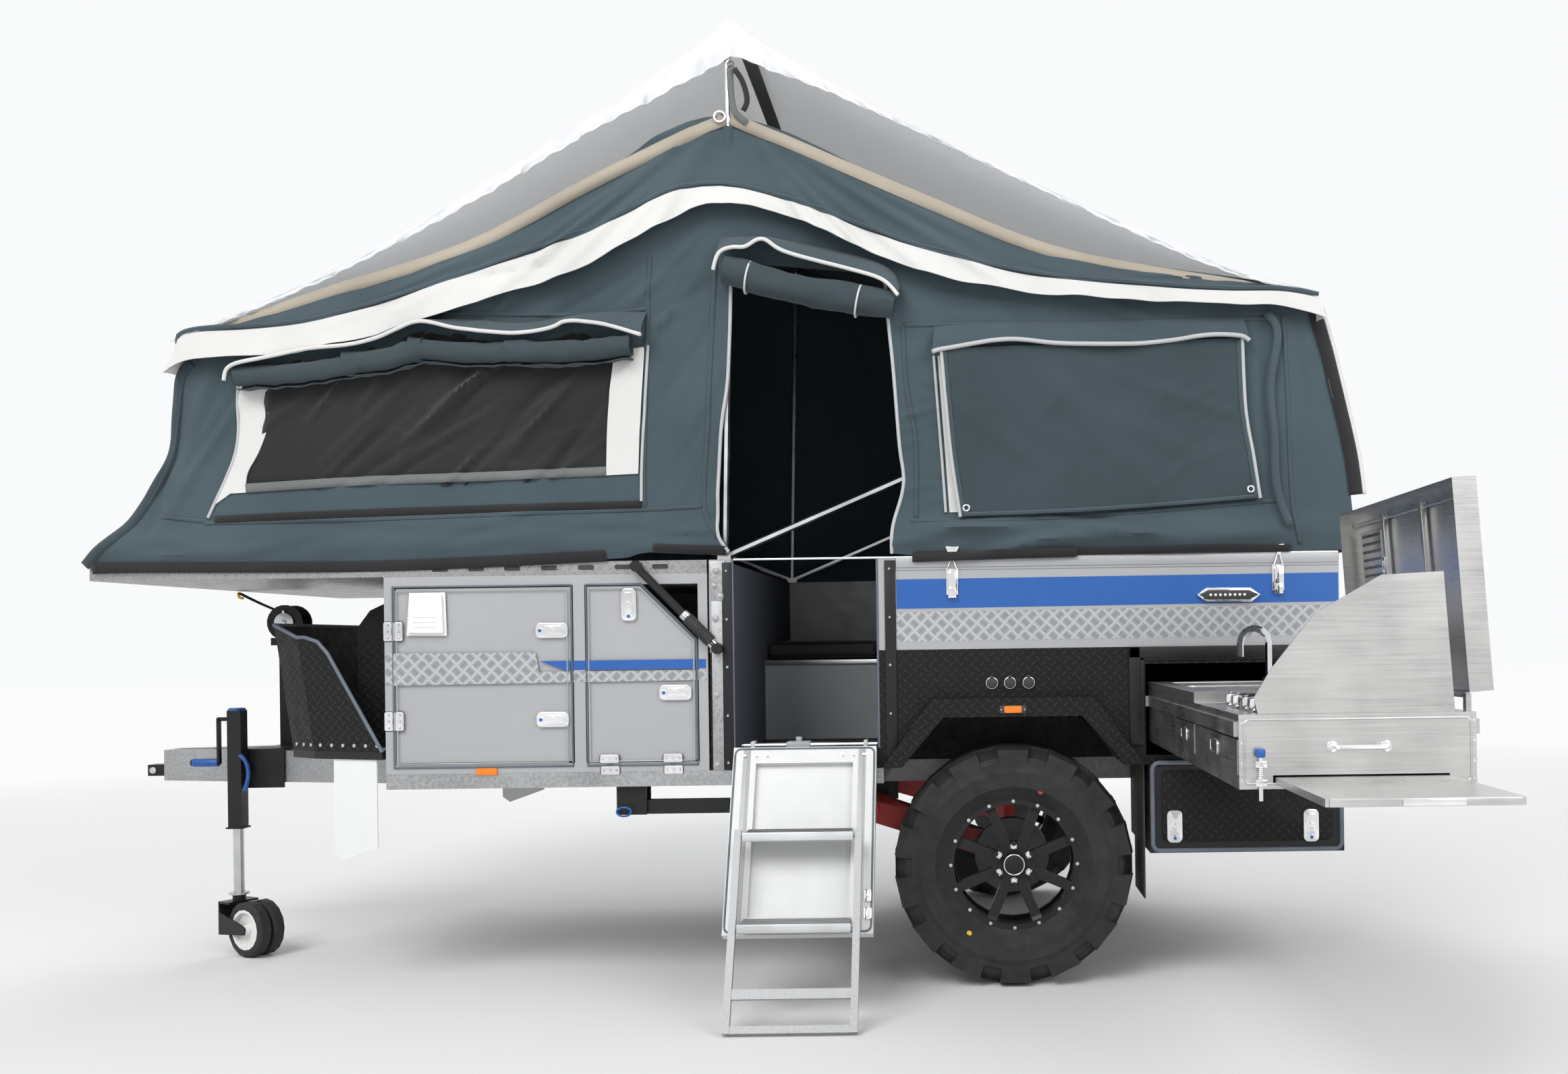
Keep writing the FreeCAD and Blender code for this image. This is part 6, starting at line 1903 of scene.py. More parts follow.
@dataclass(frozen=True)
class Face:
    """An upright long face of the body: trim is set on it by place along the trailer and height."""

    side: Side
    base: float = HALF

    def at(self, x: float, height: float, out: float = 0.0) -> Point:
        """A point of the face, or one that stands out from it."""
        return (x, self.side.value * (self.base + out), up(height))

    def pad(self, low: Flat, high: Flat, out: float, bevel: float = 0.0,
            back: float = 0.003) -> Thing:
        """A block on the face between two corners, standing out by a given amount."""
        edges = sorted((self.side.value * (self.base - back), self.side.value * (self.base + out)))
        return block((low[0], edges[0], up(low[1])), (high[0], edges[1], up(high[1])), bevel)

    def sheet(self, corners: Sequence[Flat], out: float, thick: float,
              bevel: float = 0.0) -> Thing:
        """A flat plate on the face from its corners."""
        places = [self.at(x, h, out) for x, h in corners]
        return plate(places, (0, self.side.value * thick, 0), bevel)

    def screw(self, x: float, height: float, radius: float = 0.006, out: float = 0.0) -> Thing:
        """A domed screw head with a cross recess.

        Args:
            x: its place along the trailer.
            height: its height above the ground.
            radius: the head's radius.
            out: how far it stands off the face.

        Returns:
            The screw.
        """
        way = (0, self.side.value, 0)
        head = disc(self.at(x, height, out + radius * 0.2), radius, radius * 0.7, way, 16, top=radius * 0.6)
        reach, half = radius * 0.45, radius * 0.12
        cross = [self.pad((x - a, height - b), (x + a, height + b), out + radius * 0.56, back=-out)
                 for a, b in ((reach, half), (half, reach))]
        return fused([head] + cross)

    def rounded(self, middle: Flat, size: Flat, radius: float,
                steps: int = 4) -> list[Flat]:
        """The corners of a rounded rectangle on the face.

        Args:
            middle: its middle.
            size: its width and height.
            radius: the radius of its corners.
            steps: the steps in each corner.

        Returns:
            The corners, in order.
        """
        corners = []
        for quarter, (a, b) in enumerate(((1, 1), (-1, 1), (-1, -1), (1, -1))):
            x = middle[0] + a * (size[0] / 2 - radius)
            h = middle[1] + b * (size[1] / 2 - radius)
            for step in range(steps + 1):
                turn = math.radians(90 * (quarter + step / steps))
                corners.append((x + radius * math.cos(turn), h + radius * math.sin(turn)))
        return corners

    def patch(self, middle: Flat, size: Flat, radius: float, out: float, thick: float,
              bevel: float = 0.0) -> Thing:
        """A plate on the face with rounded corners."""
        return self.sheet(self.rounded(middle, size, radius), out, thick, bevel)


def clipped(outline: Sequence[Flat], low: float, high: float) -> list[Flat]:
    """The part of a convex outline between two places along the trailer.

    Args:
        outline: the outline's corners.
        low: the first place.
        high: the last place.

    Returns:
        The corners that are left, or none.
    """
    for limit, sense in ((low, 1), (high, -1)):
        kept = []
        for start, end in zip(outline, list(outline[1:]) + [outline[0]]):
            inside = (start[0] - limit) * sense >= 0
            if inside:
                kept.append(start)
            if inside != ((end[0] - limit) * sense >= 0):
                share = (limit - start[0]) / (end[0] - start[0])
                kept.append((limit, start[1] + share * (end[1] - start[1])))
        outline = kept
        if not outline:
            return []
    return list(outline)


@dataclass(frozen=True)
class Band:
    """A printed or painted band on the body's side, as a convex outline of place and height."""

    name: str
    material: str
    outline: Line


class BodySide:
    """Bands, strips, screws, latches, lamps and other trim on both long sides of the body."""

    @dataclass(frozen=True)
    class Size:
        """Places along the trailer and heights above the ground, in metres."""

        door_out: float = 0.009
        decal: float = 0.0006
        bolts: Line = ((2.405, 1.394), (2.397, 1.347), (2.417, 1.312), (2.400, 1.238), (2.400, 0.985),
                       (2.400, 0.752))
        strip_screws: tuple[float, ...] = (1.396, 1.235, 1.077, 0.916, 0.760)
        slots: tuple[float, ...] = (1.487, 1.607, 1.727, 1.849, 1.972, 2.094, 2.218)
        sockets: tuple[float, ...] = (3.313, 3.373, 3.435)
        clamps: tuple[float, ...] = (3.187, 4.267)
        latches: tuple[tuple[float, float, bool], ...] = (
            (1.858, 1.206, False), (1.858, 0.911, False), (2.114, 1.288, True), (2.265, 0.995, False))
        upright_hinges: Flat = (1.209, 0.911)
        flat_hinges: Flat = (2.044, 2.254)
        shrink: float = 0.955
        slot_height: float = 1.4135
        marker: Flat = (3.380, 0.926)
        socket_height: float = 1.012

    BANDS = (
        Band("locker_tread", "printed_tread", ((1.302, 1.030), (2.366, 1.036), (2.366, 1.069),
                                               (1.815, 1.070), (1.803, 1.134), (1.302, 1.137))),
        Band("locker_stripe", "blue_paint", ((1.902, 1.074), (2.366, 1.074), (2.366, 1.105),
                                             (1.815, 1.105))),
        Band("cabin_stripe", "blue_paint", ((3.000, 1.262), (4.466, 1.268), (4.466, 1.364),
                                            (3.000, 1.360))),
        Band("cabin_tread", "printed_tread", ((3.000, 1.153), (4.466, 1.158), (4.466, 1.257),
                                              (3.000, 1.251))),)
    SPANS = ((1.302, 1.328, "trailer", 0.0), (1.332, 1.918, "large_door", 0.009),
             (1.925, 1.967, "trailer", 0.0), (1.974, 2.332, "small_door", 0.009),
             (2.339, 2.366, "trailer", 0.0), (3.0, 4.466, "trailer", 0.0))

    def __init__(self) -> None:
        """Takes the sizes."""
        self.size = self.Size()

    def bands(self, side: Side) -> None:
        """The bands, cut where a door meets its frame.

        Args:
            side: which long side of the trailer.
        """
        face = Face(side)
        for band in self.BANDS:
            for low, high, body, out in self.SPANS:
                corners = clipped(band.outline, low, high)
                if len(corners) < 3:
                    continue
                piece = face.sheet(corners, out - 0.001, 0.001 + self.size.decal)
                owner = body if body == "trailer" else f"{body}_{side.word}"
                settle(piece, f"{band.name}_{side.word}_{low:.2f}".replace(".", "_"), band.material, owner)

    def doors(self, side: Side) -> None:
        """Rubber seals, pressed beads, latches and the vent of the locker doors.

        Args:
            side: which long side of the trailer.
        """
        face, word = Face(side), side.word
        outlines = {"large_door": ((1.329, 0.756), (1.921, 0.756), (1.921, 1.356), (1.329, 1.356)),
                    "small_door": ((1.971, 0.756), (2.335, 0.756), (2.335, 1.172), (2.152, 1.356),
                                   (1.971, 1.356))}
        for name, outline in outlines.items():
            middle = [sum(values) / len(outline) for values in zip(*outline)]
            seal = tube([face.at(x, h, 0.001) for x, h in outline], 0.0045, False, 2, True)
            settle(seal, f"{name}_seal_{word}", "trim_rubber", "trailer")
            shrunk = [(middle[0] + (x - middle[0]) * self.size.shrink,
                       middle[1] + (h - middle[1]) * self.size.shrink) for x, h in outline]
            bead = tube([face.at(x, h, self.size.door_out - 0.0005) for x, h in shrunk], 0.0028, False, 2,
                        True)
            settle(bead, f"{name}_bead_{word}", "silver_paint", f"{name}_{word}")
        for number, (x, h, tall) in enumerate(self.size.latches):
            body = f"{'large' if number < 2 else 'small'}_door_{word}"
            self.latch(face, (x, h), tall, f"latch_{number}_{word}", body)
        vent = Face(side, HALF + self.size.door_out)
        cover = vent.sheet(((1.395, 1.330), (1.384, 1.202), (1.504, 1.200), (1.500, 1.330)), -0.002, 0.016,
                           0.006)
        lip = vent.sheet(((1.388, 1.337), (1.377, 1.195), (1.511, 1.193), (1.507, 1.337)), -0.002, 0.004,
                         0.001)
        slats = [vent.pad((1.405, level), (1.484, level + 0.005), 0.016, 0.001)
                 for level in (1.222, 1.238, 1.254)]
        settle(fused([cover, lip] + slats), f"vent_{word}", "white_plastic", f"large_door_{word}")

    def latch(self, face: Face, place: Flat, tall: bool, name: str, body: str) -> None:
        """A recessed chrome latch with a folding T handle and a small blue lock.

        Args:
            face: the face that it sits on.
            place: its middle.
            tall: whether it stands upright.
            name: its piece's name.
            body: the body that carries it.
        """
        out = self.size.door_out
        long, wide = 0.107, 0.050
        size = (wide, long) if tall else (long, wide)
        x, h = place
        way = (0, face.side.value, 0)
        dish = face.patch(place, size, 0.016, out - 0.001, 0.0035, 0.0012)
        shift = [(0.0, 1.0), (1.0, 0.0)][not tall]
        grip = face.patch((x + shift[0] * 0.006, h + shift[1] * 0.006), (size[0] * 0.62, size[1] * 0.66),
                          0.009, out + 0.002, 0.004, 0.0016)
        boss = disc(face.at(x, h, out + 0.006), 0.0105, 0.006, way, 20, 0.001)
        lock_place = (x, h - 0.038) if tall else (x - 0.038, h)
        barrel = disc(face.at(*lock_place, out + 0.003), 0.0085, 0.005, way, 20, 0.001)
        settle(fused([dish, grip, boss, barrel]), name, "chrome", body)
        dot = disc(face.at(*lock_place, out + 0.006), 0.0058, 0.003, way, 16)
        settle(dot, f"{name}_lock", "blue_paint", body)
        slot = face.patch((x + shift[0] * 0.03, h + shift[1] * 0.03),
                          (0.014, 0.026) if not tall else (0.026, 0.014), 0.004, out + 0.0024, 0.0008)
        settle(slot, f"{name}_recess", "rubber", body)

    def hinges(self, side: Side) -> None:
        """Chrome butt hinges on black pads, three screws to a leaf, over the hinge pins.

        Args:
            side: which long side of the trailer.
        """
        face, word, out = Face(side), side.word, self.size.door_out
        rows = [(1.329, h, True, "large_door") for h in self.size.upright_hinges]
        rows += [(x, 0.756, False, "small_door") for x in self.size.flat_hinges]
        for number, (x, h, upright, door) in enumerate(rows):
            for sense, body, lift in ((-1, "trailer", 0.0), (1, f"{door}_{word}", out)):
                reach = sense * (0.0175 if sense < 0 else 0.0225)
                shift = (reach, 0.0) if upright else (0.0, reach)
                middle = (x + shift[0], h + shift[1])
                leaf = (0.027, 0.062) if upright else (0.062, 0.027)
                under = (0.027, 0.068) if upright else (0.068, 0.027)
                pad = face.patch(middle, under, 0.006, lift - 0.001, 0.002)
                settle(pad, f"hinge_pad_{number}_{word}_{sense + 1}", "rubber", body)
                parts = [face.patch(middle, leaf, 0.005, lift + 0.001, 0.0022, 0.0006)]
                for step in (-1, 0, 1):
                    spot = (middle[0], h + step * 0.021) if upright else (x + step * 0.021, middle[1])
                    parts.append(face.screw(*spot, 0.0048, lift + 0.0032))
                settle(fused(parts), f"hinge_leaf_{number}_{word}_{sense + 1}", "chrome", body)

    def strips(self, side: Side) -> None:
        """The galvanised strip with its bolts and the black riveted strips beside the doorway.

        Args:
            side: which long side of the trailer.
        """
        face, word = Face(side), side.word
        way = (0, side.value, 0)
        wide = face.sheet(((2.387, 1.297), (2.430, 1.297), (2.432, 1.430), (2.380, 1.430)), 0.0, 0.005,
                          0.001)
        strip = face.pad((2.386, 0.735), (2.422, 1.297), 0.004, 0.001)
        bolts = [disc(face.at(x, h, 0.006), 0.0085, 0.008, way, 6, 0.001) for x, h in self.size.bolts]
        washers = [disc(face.at(x, h, 0.0045), 0.012, 0.003, way, 20) for x, h in self.size.bolts]
        settle(fused([wide, strip] + bolts + washers), f"steel_strip_{word}", "galvanised", "trailer")
        edges = ((2.423, 2.456), (2.961, 2.998)) if side is Side.NEAR else ((2.423, 2.456),)
        for number, (low, high) in enumerate(edges):
            bar = face.pad((low, 0.735), (high, 1.424), 0.006, 0.002)
            settle(bar, f"black_strip_{number}_{word}", "black_paint", "trailer")
            place = low + 0.014 + 0.002 * number
            screws = [face.screw(place, h, 0.0062, 0.006) for h in self.size.strip_screws]
            settle(fused(screws), f"strip_screws_{number}_{word}", "stainless", "trailer")

    def rails(self, side: Side) -> None:
        """The stepped top rail, the slots of the platform's edge and the lockers' reflector.

        Args:
            side: which long side of the trailer.
        """
        face, word = Face(side), side.word
        start = 3.0 if side is Side.NEAR else 2.46
        rail = [face.pad((start, 1.398), (4.466, 1.431), 0.007, 0.003),
                face.pad((start, 1.390), (4.466, 1.400), 0.003, 0.001)]
        settle(fused(rail), f"top_rail_{word}", "silver_paint", "trailer")
        top = up(1.434)
        lip = block((2.46, min(side.value * 0.93, side.value * 0.953), top - 0.004),
                    (4.466, max(side.value * 0.93, side.value * 0.953), top + 0.002), 0.001)
        settle(lip, f"roof_edge_{word}", "aluminium", "trailer")
        for number, x in enumerate(self.size.slots):
            # Each slot is a dark rubber patch that stands for the shade inside the vent opening: painted
            # shade, with a galvanised rim round it.
            hole = face.patch((x, self.size.slot_height), (0.054, 0.017), 0.007, 0.0, 0.0006)
            settle(hole, f"platform_slot_{number}_{word}", "rubber", "trailer")
            rim = tube([face.at(a, h, 0.0006)
                        for a, h in face.rounded((x, self.size.slot_height), (0.056, 0.019), 0.008)],
                       0.0011, False, 1, True)
            settle(rim, f"platform_slot_rim_{number}_{word}", "galvanised", "trailer")
        lens = face.pad((1.601, 0.729), (1.670, 0.753), 0.009, 0.003)
        settle(lens, f"reflector_{word}", "amber_lens", "trailer")

    def marker(self, side: Side) -> None:
        """The amber marker with two screws on the wheel arch flare.

        Args:
            side: which long side of the trailer.
        """
        face, word = Face(side, 0.995), side.word
        settle(face.patch(self.size.marker, (0.088, 0.027), 0.006, -0.001, 0.004, 0.001),
               f"marker_base_{word}", "rubber", "trailer")
        settle(face.patch(self.size.marker, (0.058, 0.023), 0.005, 0.001, 0.009, 0.003),
               f"marker_{word}", "amber_lens", "trailer")
        settle(fused([face.screw(x, self.size.marker[1], 0.004, 0.003) for x in (3.342, 3.418)]),
               f"marker_screws_{word}", "stainless", "trailer")

    def clamp(self, face: Face, x: float, name: str) -> None:
        """An over-centre clamp with a wire loop that pulls the tent's edge down.

        Args:
            face: the face that it sits on.
            x: its place along the trailer.
            name: its piece's name.
        """
        base = face.pad((x - 0.021, 1.306), (x + 0.019, 1.392), 0.006, 0.002)
        body = face.pad((x - 0.016, 1.318), (x + 0.014, 1.384), 0.017, 0.004)
        lever = face.sheet(((x - 0.012, 1.330), (x + 0.010, 1.330), (x + 0.013, 1.296), (x - 0.015, 1.296)),
                           0.014, 0.004, 0.001)
        loop = tube([face.at(*spot, out) for *spot, out in (
            (x - 0.018, 1.385, 0.012), (x - 0.004, 1.428, 0.014), (x + 0.002, 1.428, 0.014),
            (x + 0.016, 1.385, 0.012))], 0.0026, False, 2)
        hook = face.sheet(((x - 0.022, 1.466), (x + 0.022, 1.466), (x + 0.006, 1.424), (x - 0.006, 1.424)),
                          0.004, 0.005, 0.001)
        rivets = [disc(face.at(a, h, 0.008), 0.004, 0.004, (0, face.side.value, 0), 12)
                  for a, h in ((x - 0.012, 1.311), (x + 0.010, 1.311))]
        settle(fused([base, body, lever, loop, hook] + rivets), name, "chrome", "trailer")

    def lamp(self) -> None:
        """The hexagonal work lamp with a chrome rim above the kitchen."""
        face = Face(Side.NEAR)
        outline = ((3.994, 1.295), (4.026, 1.272), (4.176, 1.270), (4.206, 1.293), (4.172, 1.317),
                   (4.029, 1.319))
        middle = (4.100, 1.295)
        inner = [(middle[0] + (x - middle[0]) * 0.93, middle[1] + (h - middle[1]) * 0.66)
                 for x, h in outline]
        settle(face.sheet(outline, 0.0, 0.014, 0.003), "work_lamp_rim", "chrome", "trailer")
        settle(face.sheet(inner, 0.008, 0.009, 0.002), "work_lamp_lens", "rubber", "trailer")
        dots = [disc(face.at(x, 1.2945, 0.0172), 0.0045, 0.001, NEARWARD, 12)
                for x in (4.040, 4.056, 4.072, 4.088, 4.104, 4.120, 4.136, 4.152)]
        settle(fused(dots), "work_lamp_lights", "white_plastic", "trailer")

    def sockets(self) -> None:
        """Three capped power and water sockets above the wheel arch."""
        face, way = Face(Side.NEAR), NEARWARD
        for number, x in enumerate(self.size.sockets):
            flange = disc(face.at(x, self.size.socket_height, 0.002), 0.0215, 0.004, way, 28, 0.001)
            cap = disc(face.at(x, self.size.socket_height, 0.009), 0.0165, 0.012, way, 24, 0.003)
            ear = face.pad((x - 0.006, 1.028), (x + 0.006, 1.037), 0.008, 0.002)
            settle(fused([flange, cap, ear]), f"socket_{number}", "rubber", "trailer")
            collar = ring(face.at(x, self.size.socket_height, 0.0055), 0.0185, 0.0022, way, 28, 8)
            settle(collar, f"socket_ring_{number}", "chrome", "trailer")

    def stay(self, side: Side) -> None:
        """The rubber bellows, collar and end fitting of the platform's gas stay.

        Args:
            side: which long side of the trailer.
        """
        sign, word = side.value, side.word
        start, end = Vector((2.143, 1.414)), Vector((2.408, 1.139))
        way = (end - start).normalized()
        facing = (way.x, 0, way.y)
        y = sign * 0.968

        def along(share: float) -> Point:
            """The point at a share of the stay's length."""
            spot = start.lerp(end, share)
            return (spot.x, y, up(spot.y))

        folds = [ring(along(0.64 + step * 0.022), 0.0165, 0.0048, facing, 24, 8) for step in range(13)]
        core = disc(along(0.772), 0.0185, (end - start).length * 0.27, facing, 24)
        settle(fused(folds + [core]), f"stay_bellows_{word}", "rubber", "trailer")
        settle(disc(along(0.60), 0.0175, 0.022, facing, 24, 0.003), f"stay_collar_{word}", "aluminium",
               "trailer")
        settle(disc(along(0.945), 0.017, 0.024, facing, 24, 0.004), f"stay_end_{word}", "chrome", "trailer")

    def build(self) -> None:
        """Builds the trim of both sides."""
        for side in Side:
            self.bands(side)
            self.doors(side)
            self.hinges(side)
            self.strips(side)
            self.rails(side)
            self.marker(side)
            self.stay(side)
            for number, x in enumerate(self.size.clamps):
                self.clamp(Face(side), x, f"clamp_{number}_{side.word}")
        self.lamp()
        self.sockets()


# kitchen, entry, wheels and front


@dataclass(frozen=True)
class Pane:
    """A flat surface anywhere, given by a corner and the directions right, upward and outward."""

    corner: Point
    right: Point
    rise: Point
    out: Point

    def at(self, a: float, b: float, lift: float = 0.0) -> Point:
        """A point from its two places on the surface and how far it stands out."""
        return tuple(c + a * r + b * v + lift * o
                     for c, r, v, o in zip(self.corner, self.right, self.rise, self.out))

    def pad(self, low: Flat, high: Flat, lift: float, thick: float,
            bevel: float = 0.0, round_by: float = 0.0) -> Thing:
        """A plate between two corners, with rounded corners if asked.

        Args:
            low: the lower left corner.
            high: the upper right corner.
            lift: how far it stands off the surface.
            thick: its thickness.
            bevel: the width of its bevel.
            round_by: the radius of its corners.

        Returns:
            The plate.
        """
        middle = ((low[0] + high[0]) / 2, (low[1] + high[1]) / 2)
        size = (high[0] - low[0], high[1] - low[1])
        corners = [(low[0], low[1]), (high[0], low[1]), (high[0], high[1]), (low[0], high[1])]
        if round_by:
            corners = Face(Side.NEAR).rounded(middle, size, round_by)
        return plate([self.at(a, b, lift) for a, b in corners], tuple(thick * o for o in self.out), bevel)

    def round(self, a: float, b: float, radius: float, lift: float, thick: float, sides: int = 16,
              bevel: float = 0.0) -> Thing:
        """A round disc on the surface."""
        return disc(self.at(a, b, lift + thick / 2), radius, thick, self.out, sides, bevel)

    def rim(self, low: Flat, high: Flat, radius: float, lift: float,
            round_by: float = 0.01) -> Thing:
        """A bar bent round a rounded rectangle.

        Args:
            low: the lower left corner.
            high: the upper right corner.
            radius: the bar's radius.
            lift: how far it stands off the surface.
            round_by: the radius of its corners.

        Returns:
            The bar.
        """
        middle = ((low[0] + high[0]) / 2, (low[1] + high[1]) / 2)
        loop = Face(Side.NEAR).rounded(middle, (high[0] - low[0], high[1] - low[1]), round_by, 3)
        return tube([self.at(a, b, lift) for a, b in loop], radius, False, 2, True)


def touched(node: str, start: Point, way: Point) -> Point:
    """Where a ray first meets a CAD node, or its start if it meets nothing."""
    hit, place, _, _ = bpy.data.objects[node].ray_cast(Vector(start), Vector(way))
    return tuple(place) if hit else start


class Kitchen:
    """Handles, pulls, grates, sink fittings and lid details of the slide-out kitchen."""

    @dataclass(frozen=True)
    class Size:
        """Places along the trailer and across it, and heights above the ground, in metres."""

        left: float = 3.837
        right: float = 4.371
        low: float = 0.811
        deck: float = 0.979
        near: float = -2.469
        handle: Flat = (4.046, 4.167)
        grip: float = 0.905
        bolt: float = 3.883
        grate: float = 1.001
        bars: tuple[float, ...] = (3.985, 4.04, 4.10, 4.16, 4.215)
        knob: float = 3.906
        knobs: tuple[float, ...] = (-2.31, -2.22, -2.10, -2.01)
        drawers: tuple[tuple[str, float], ...] = (("drawer_front", -2.169), ("drawer_back", -1.692))
        burners: Line = ((3.987, -2.279), (4.167, -2.279), (3.987, -2.039), (4.167, -2.039))
        lean: float = 4.0

    def __init__(self) -> None:
        """Takes the sizes."""
        self.size = self.Size()

    def front(self) -> None:
        """The pressed front panel with its bar handle, spring bolt and tray lip."""
        s = self.size
        pane = Pane((0, s.near, up(0)), REARWARD, UPWARD, NEARWARD)
        settle(pane.rim((s.left + 0.012, s.low + 0.012), (s.right - 0.012, s.deck - 0.012), 0.0028, 0.0,
                        0.012), "front_bead", "stainless", "kitchen")
        low, high = s.handle
        grip = tube([pane.at(low, s.grip, 0.0), pane.at(low, s.grip, 0.028),
                     pane.at(low + 0.012, s.grip, 0.034), pane.at(high - 0.012, s.grip, 0.034),
                     pane.at(high, s.grip, 0.028), pane.at(high, s.grip, 0.0)], 0.0058, True, 3)
        feet = [pane.round(x, s.grip, 0.0125, -0.001, 0.005, 20, 0.001) for x in s.handle]
        settle(fused([grip] + feet), "kitchen_handle", "chrome", "kitchen")
        guide = [pane.pad((s.bolt - 0.013, h - 0.008), (s.bolt + 0.013, h + 0.008), -0.001, 0.02, 0.002)
                 for h in (0.868, 0.826)]
        rod = tube([pane.at(s.bolt, 0.786, 0.012), pane.at(s.bolt, 0.884, 0.012)], 0.0048, False, 3)
        coil = [ring(pane.at(s.bolt, 0.834 + 0.0045 * k, 0.012), 0.0072, 0.0012, UPWARD, 16, 6)
                for k in range(7)]
        settle(fused(guide + [rod] + coil), "kitchen_bolt", "chrome", "kitchen")
        settle(disc(pane.at(s.bolt, 0.893, 0.012), 0.011, 0.02, UPWARD, 20, 0.004), "kitchen_bolt_knob",
               "blue_paint", "kitchen")
        rivets = [pane.round(x, h, 0.0032, -0.0005, 0.002, 10) for x in (s.left + 0.006, s.right - 0.006)
                  for h in (0.83, 0.87, 0.915, 0.96)]
        settle(fused(rivets), "kitchen_rivets", "aluminium", "kitchen")
        tray = Pane((0, -2.913, up(0)), REARWARD, UPWARD, NEARWARD)
        lip = tray.pad((3.925, 0.822), (4.298, 0.838), 0.0, 0.004, 0.001)
        grip = tray.pad((4.065, 0.823), (4.188, 0.837), 0.003, 0.006, 0.002)
        settle(lip, "tray_lip", "stainless", "kitchen_tray")
        settle(grip, "tray_grip", "chrome", "kitchen_tray")

    def drawers(self) -> None:
        """The recessed pull and the seam of each drawer."""
        pane = Pane((3.835, 0, up(0)), (0, 1, 0), UPWARD, (-1, 0, 0))
        for name, y in self.size.drawers:
            settle(pane.pad((y - 0.045, 0.872), (y + 0.045, 0.903), -0.001, 0.0025, 0.0, 0.012),
                   f"{name}_recess", "rubber", name)
            settle(pane.rim((y - 0.046, 0.871), (y + 0.046, 0.904), 0.0022, 0.001, 0.012), f"{name}_pull",
                   "chrome", name)

    def hob(self) -> None:
        """Wire grates, burner caps and the control knobs of the hob."""
        s, bars, caps = self.size, [], []
        level = up(s.grate)
        for y0, y1 in ((-2.39, -2.165), (-2.153, -1.925)):
            corners = [(3.937, y0, level), (4.262, y0, level), (4.262, y1, level), (3.937, y1, level)]
            bars.append(tube(corners, 0.0036, False, 2, True))
            for x in s.bars:
                bars.append(tube([(x, y0, level), (x, y1, level)], 0.0034, False, 2))
            bars += [disc((x, y, up(0.9855)), 0.0045, 0.031, UPWARD, 10) for x in (3.94, 4.259)
                     for y in (y0 + 0.004, y1 - 0.004)]
        settle(fused(bars), "hob_grates", "black_paint", "kitchen")
        for x, y in s.burners:
            caps.append(disc((x, y, up(0.992)), 0.022, 0.008, UPWARD, 24, 0.003))
            caps.append(ring((x, y, up(0.9885)), 0.031, 0.0028, UPWARD, 28, 8))
        settle(fused(caps), "burner_caps", "cast_iron", "kitchen")
        knobs = []
        for y in s.knobs:
            knobs.append(disc((s.knob, y, up(0.994)), 0.0135, 0.028, UPWARD, 24, 0.003))
            knobs.append(block((s.knob - 0.003, y - 0.012, up(1.007)),
                               (s.knob + 0.003, y + 0.012, up(1.014)), 0.001))
        settle(fused(knobs), "hob_knobs", "chrome", "kitchen")

    def sink(self) -> None:
        """The sink bowl's rim and waste."""
        pane = Pane((0, 0, up(1.007)), REARWARD, (0, 1, 0), UPWARD)
        settle(pane.rim((3.882, -1.424), (4.246, -1.064), 0.004, 0.0005, 0.03), "sink_rim", "stainless",
               "kitchen")
        waste = [disc((4.06, -1.24, up(0.8605)), 0.035, 0.004, UPWARD, 28, 0.001),
                 ring((4.06, -1.24, up(0.863)), 0.030, 0.0024, UPWARD, 28, 8)]
        settle(fused(waste), "sink_waste", "chrome", "kitchen")

    def lid(self) -> None:
        """The perforated speaker panel, stiffeners and catch inside the lid."""
        turn = math.radians(self.size.lean)
        pane = Pane((4.363, 0, up(1.014)), (0, 1, 0), (-math.sin(turn), 0, math.cos(turn)),
                    (-math.cos(turn), 0, -math.sin(turn)))
        face = pane.pad((-1.735, 0.245), (-1.545, 0.435), -0.0475, 0.004, 0.001, 0.012)
        settle(face, "lid_panel", "stainless", "kitchen_lid")
        holes = [pane.round(-1.722 + 0.0147 * i, 0.262 + 0.0225 * k, 0.0048, -0.0437, 0.0008, 8)
                 for i in range(12) for k in range(8)]
        settle(fused(holes), "lid_holes", "rubber", "kitchen_lid")
        bars = [pane.pad((y, 0.03), (y + 0.022, 0.47), -0.0475, 0.014, 0.002) for y in (-1.80, -2.12)]
        bars.append(pane.pad((-2.44, 0.452), (-1.50, 0.462), -0.0475, 0.01, 0.002))
        settle(fused(bars), "lid_stiffeners", "stainless", "kitchen_lid")
        hinge = [pane.pad((-1.796, 0.30), (-1.772, 0.35), -0.033, 0.004, 0.001),
                 pane.round(-1.784, 0.312, 0.003, -0.029, 0.002),
                 pane.round(-1.784, 0.338, 0.003, -0.029, 0.002)]
        settle(fused(hinge), "lid_catch", "chrome", "kitchen_lid")

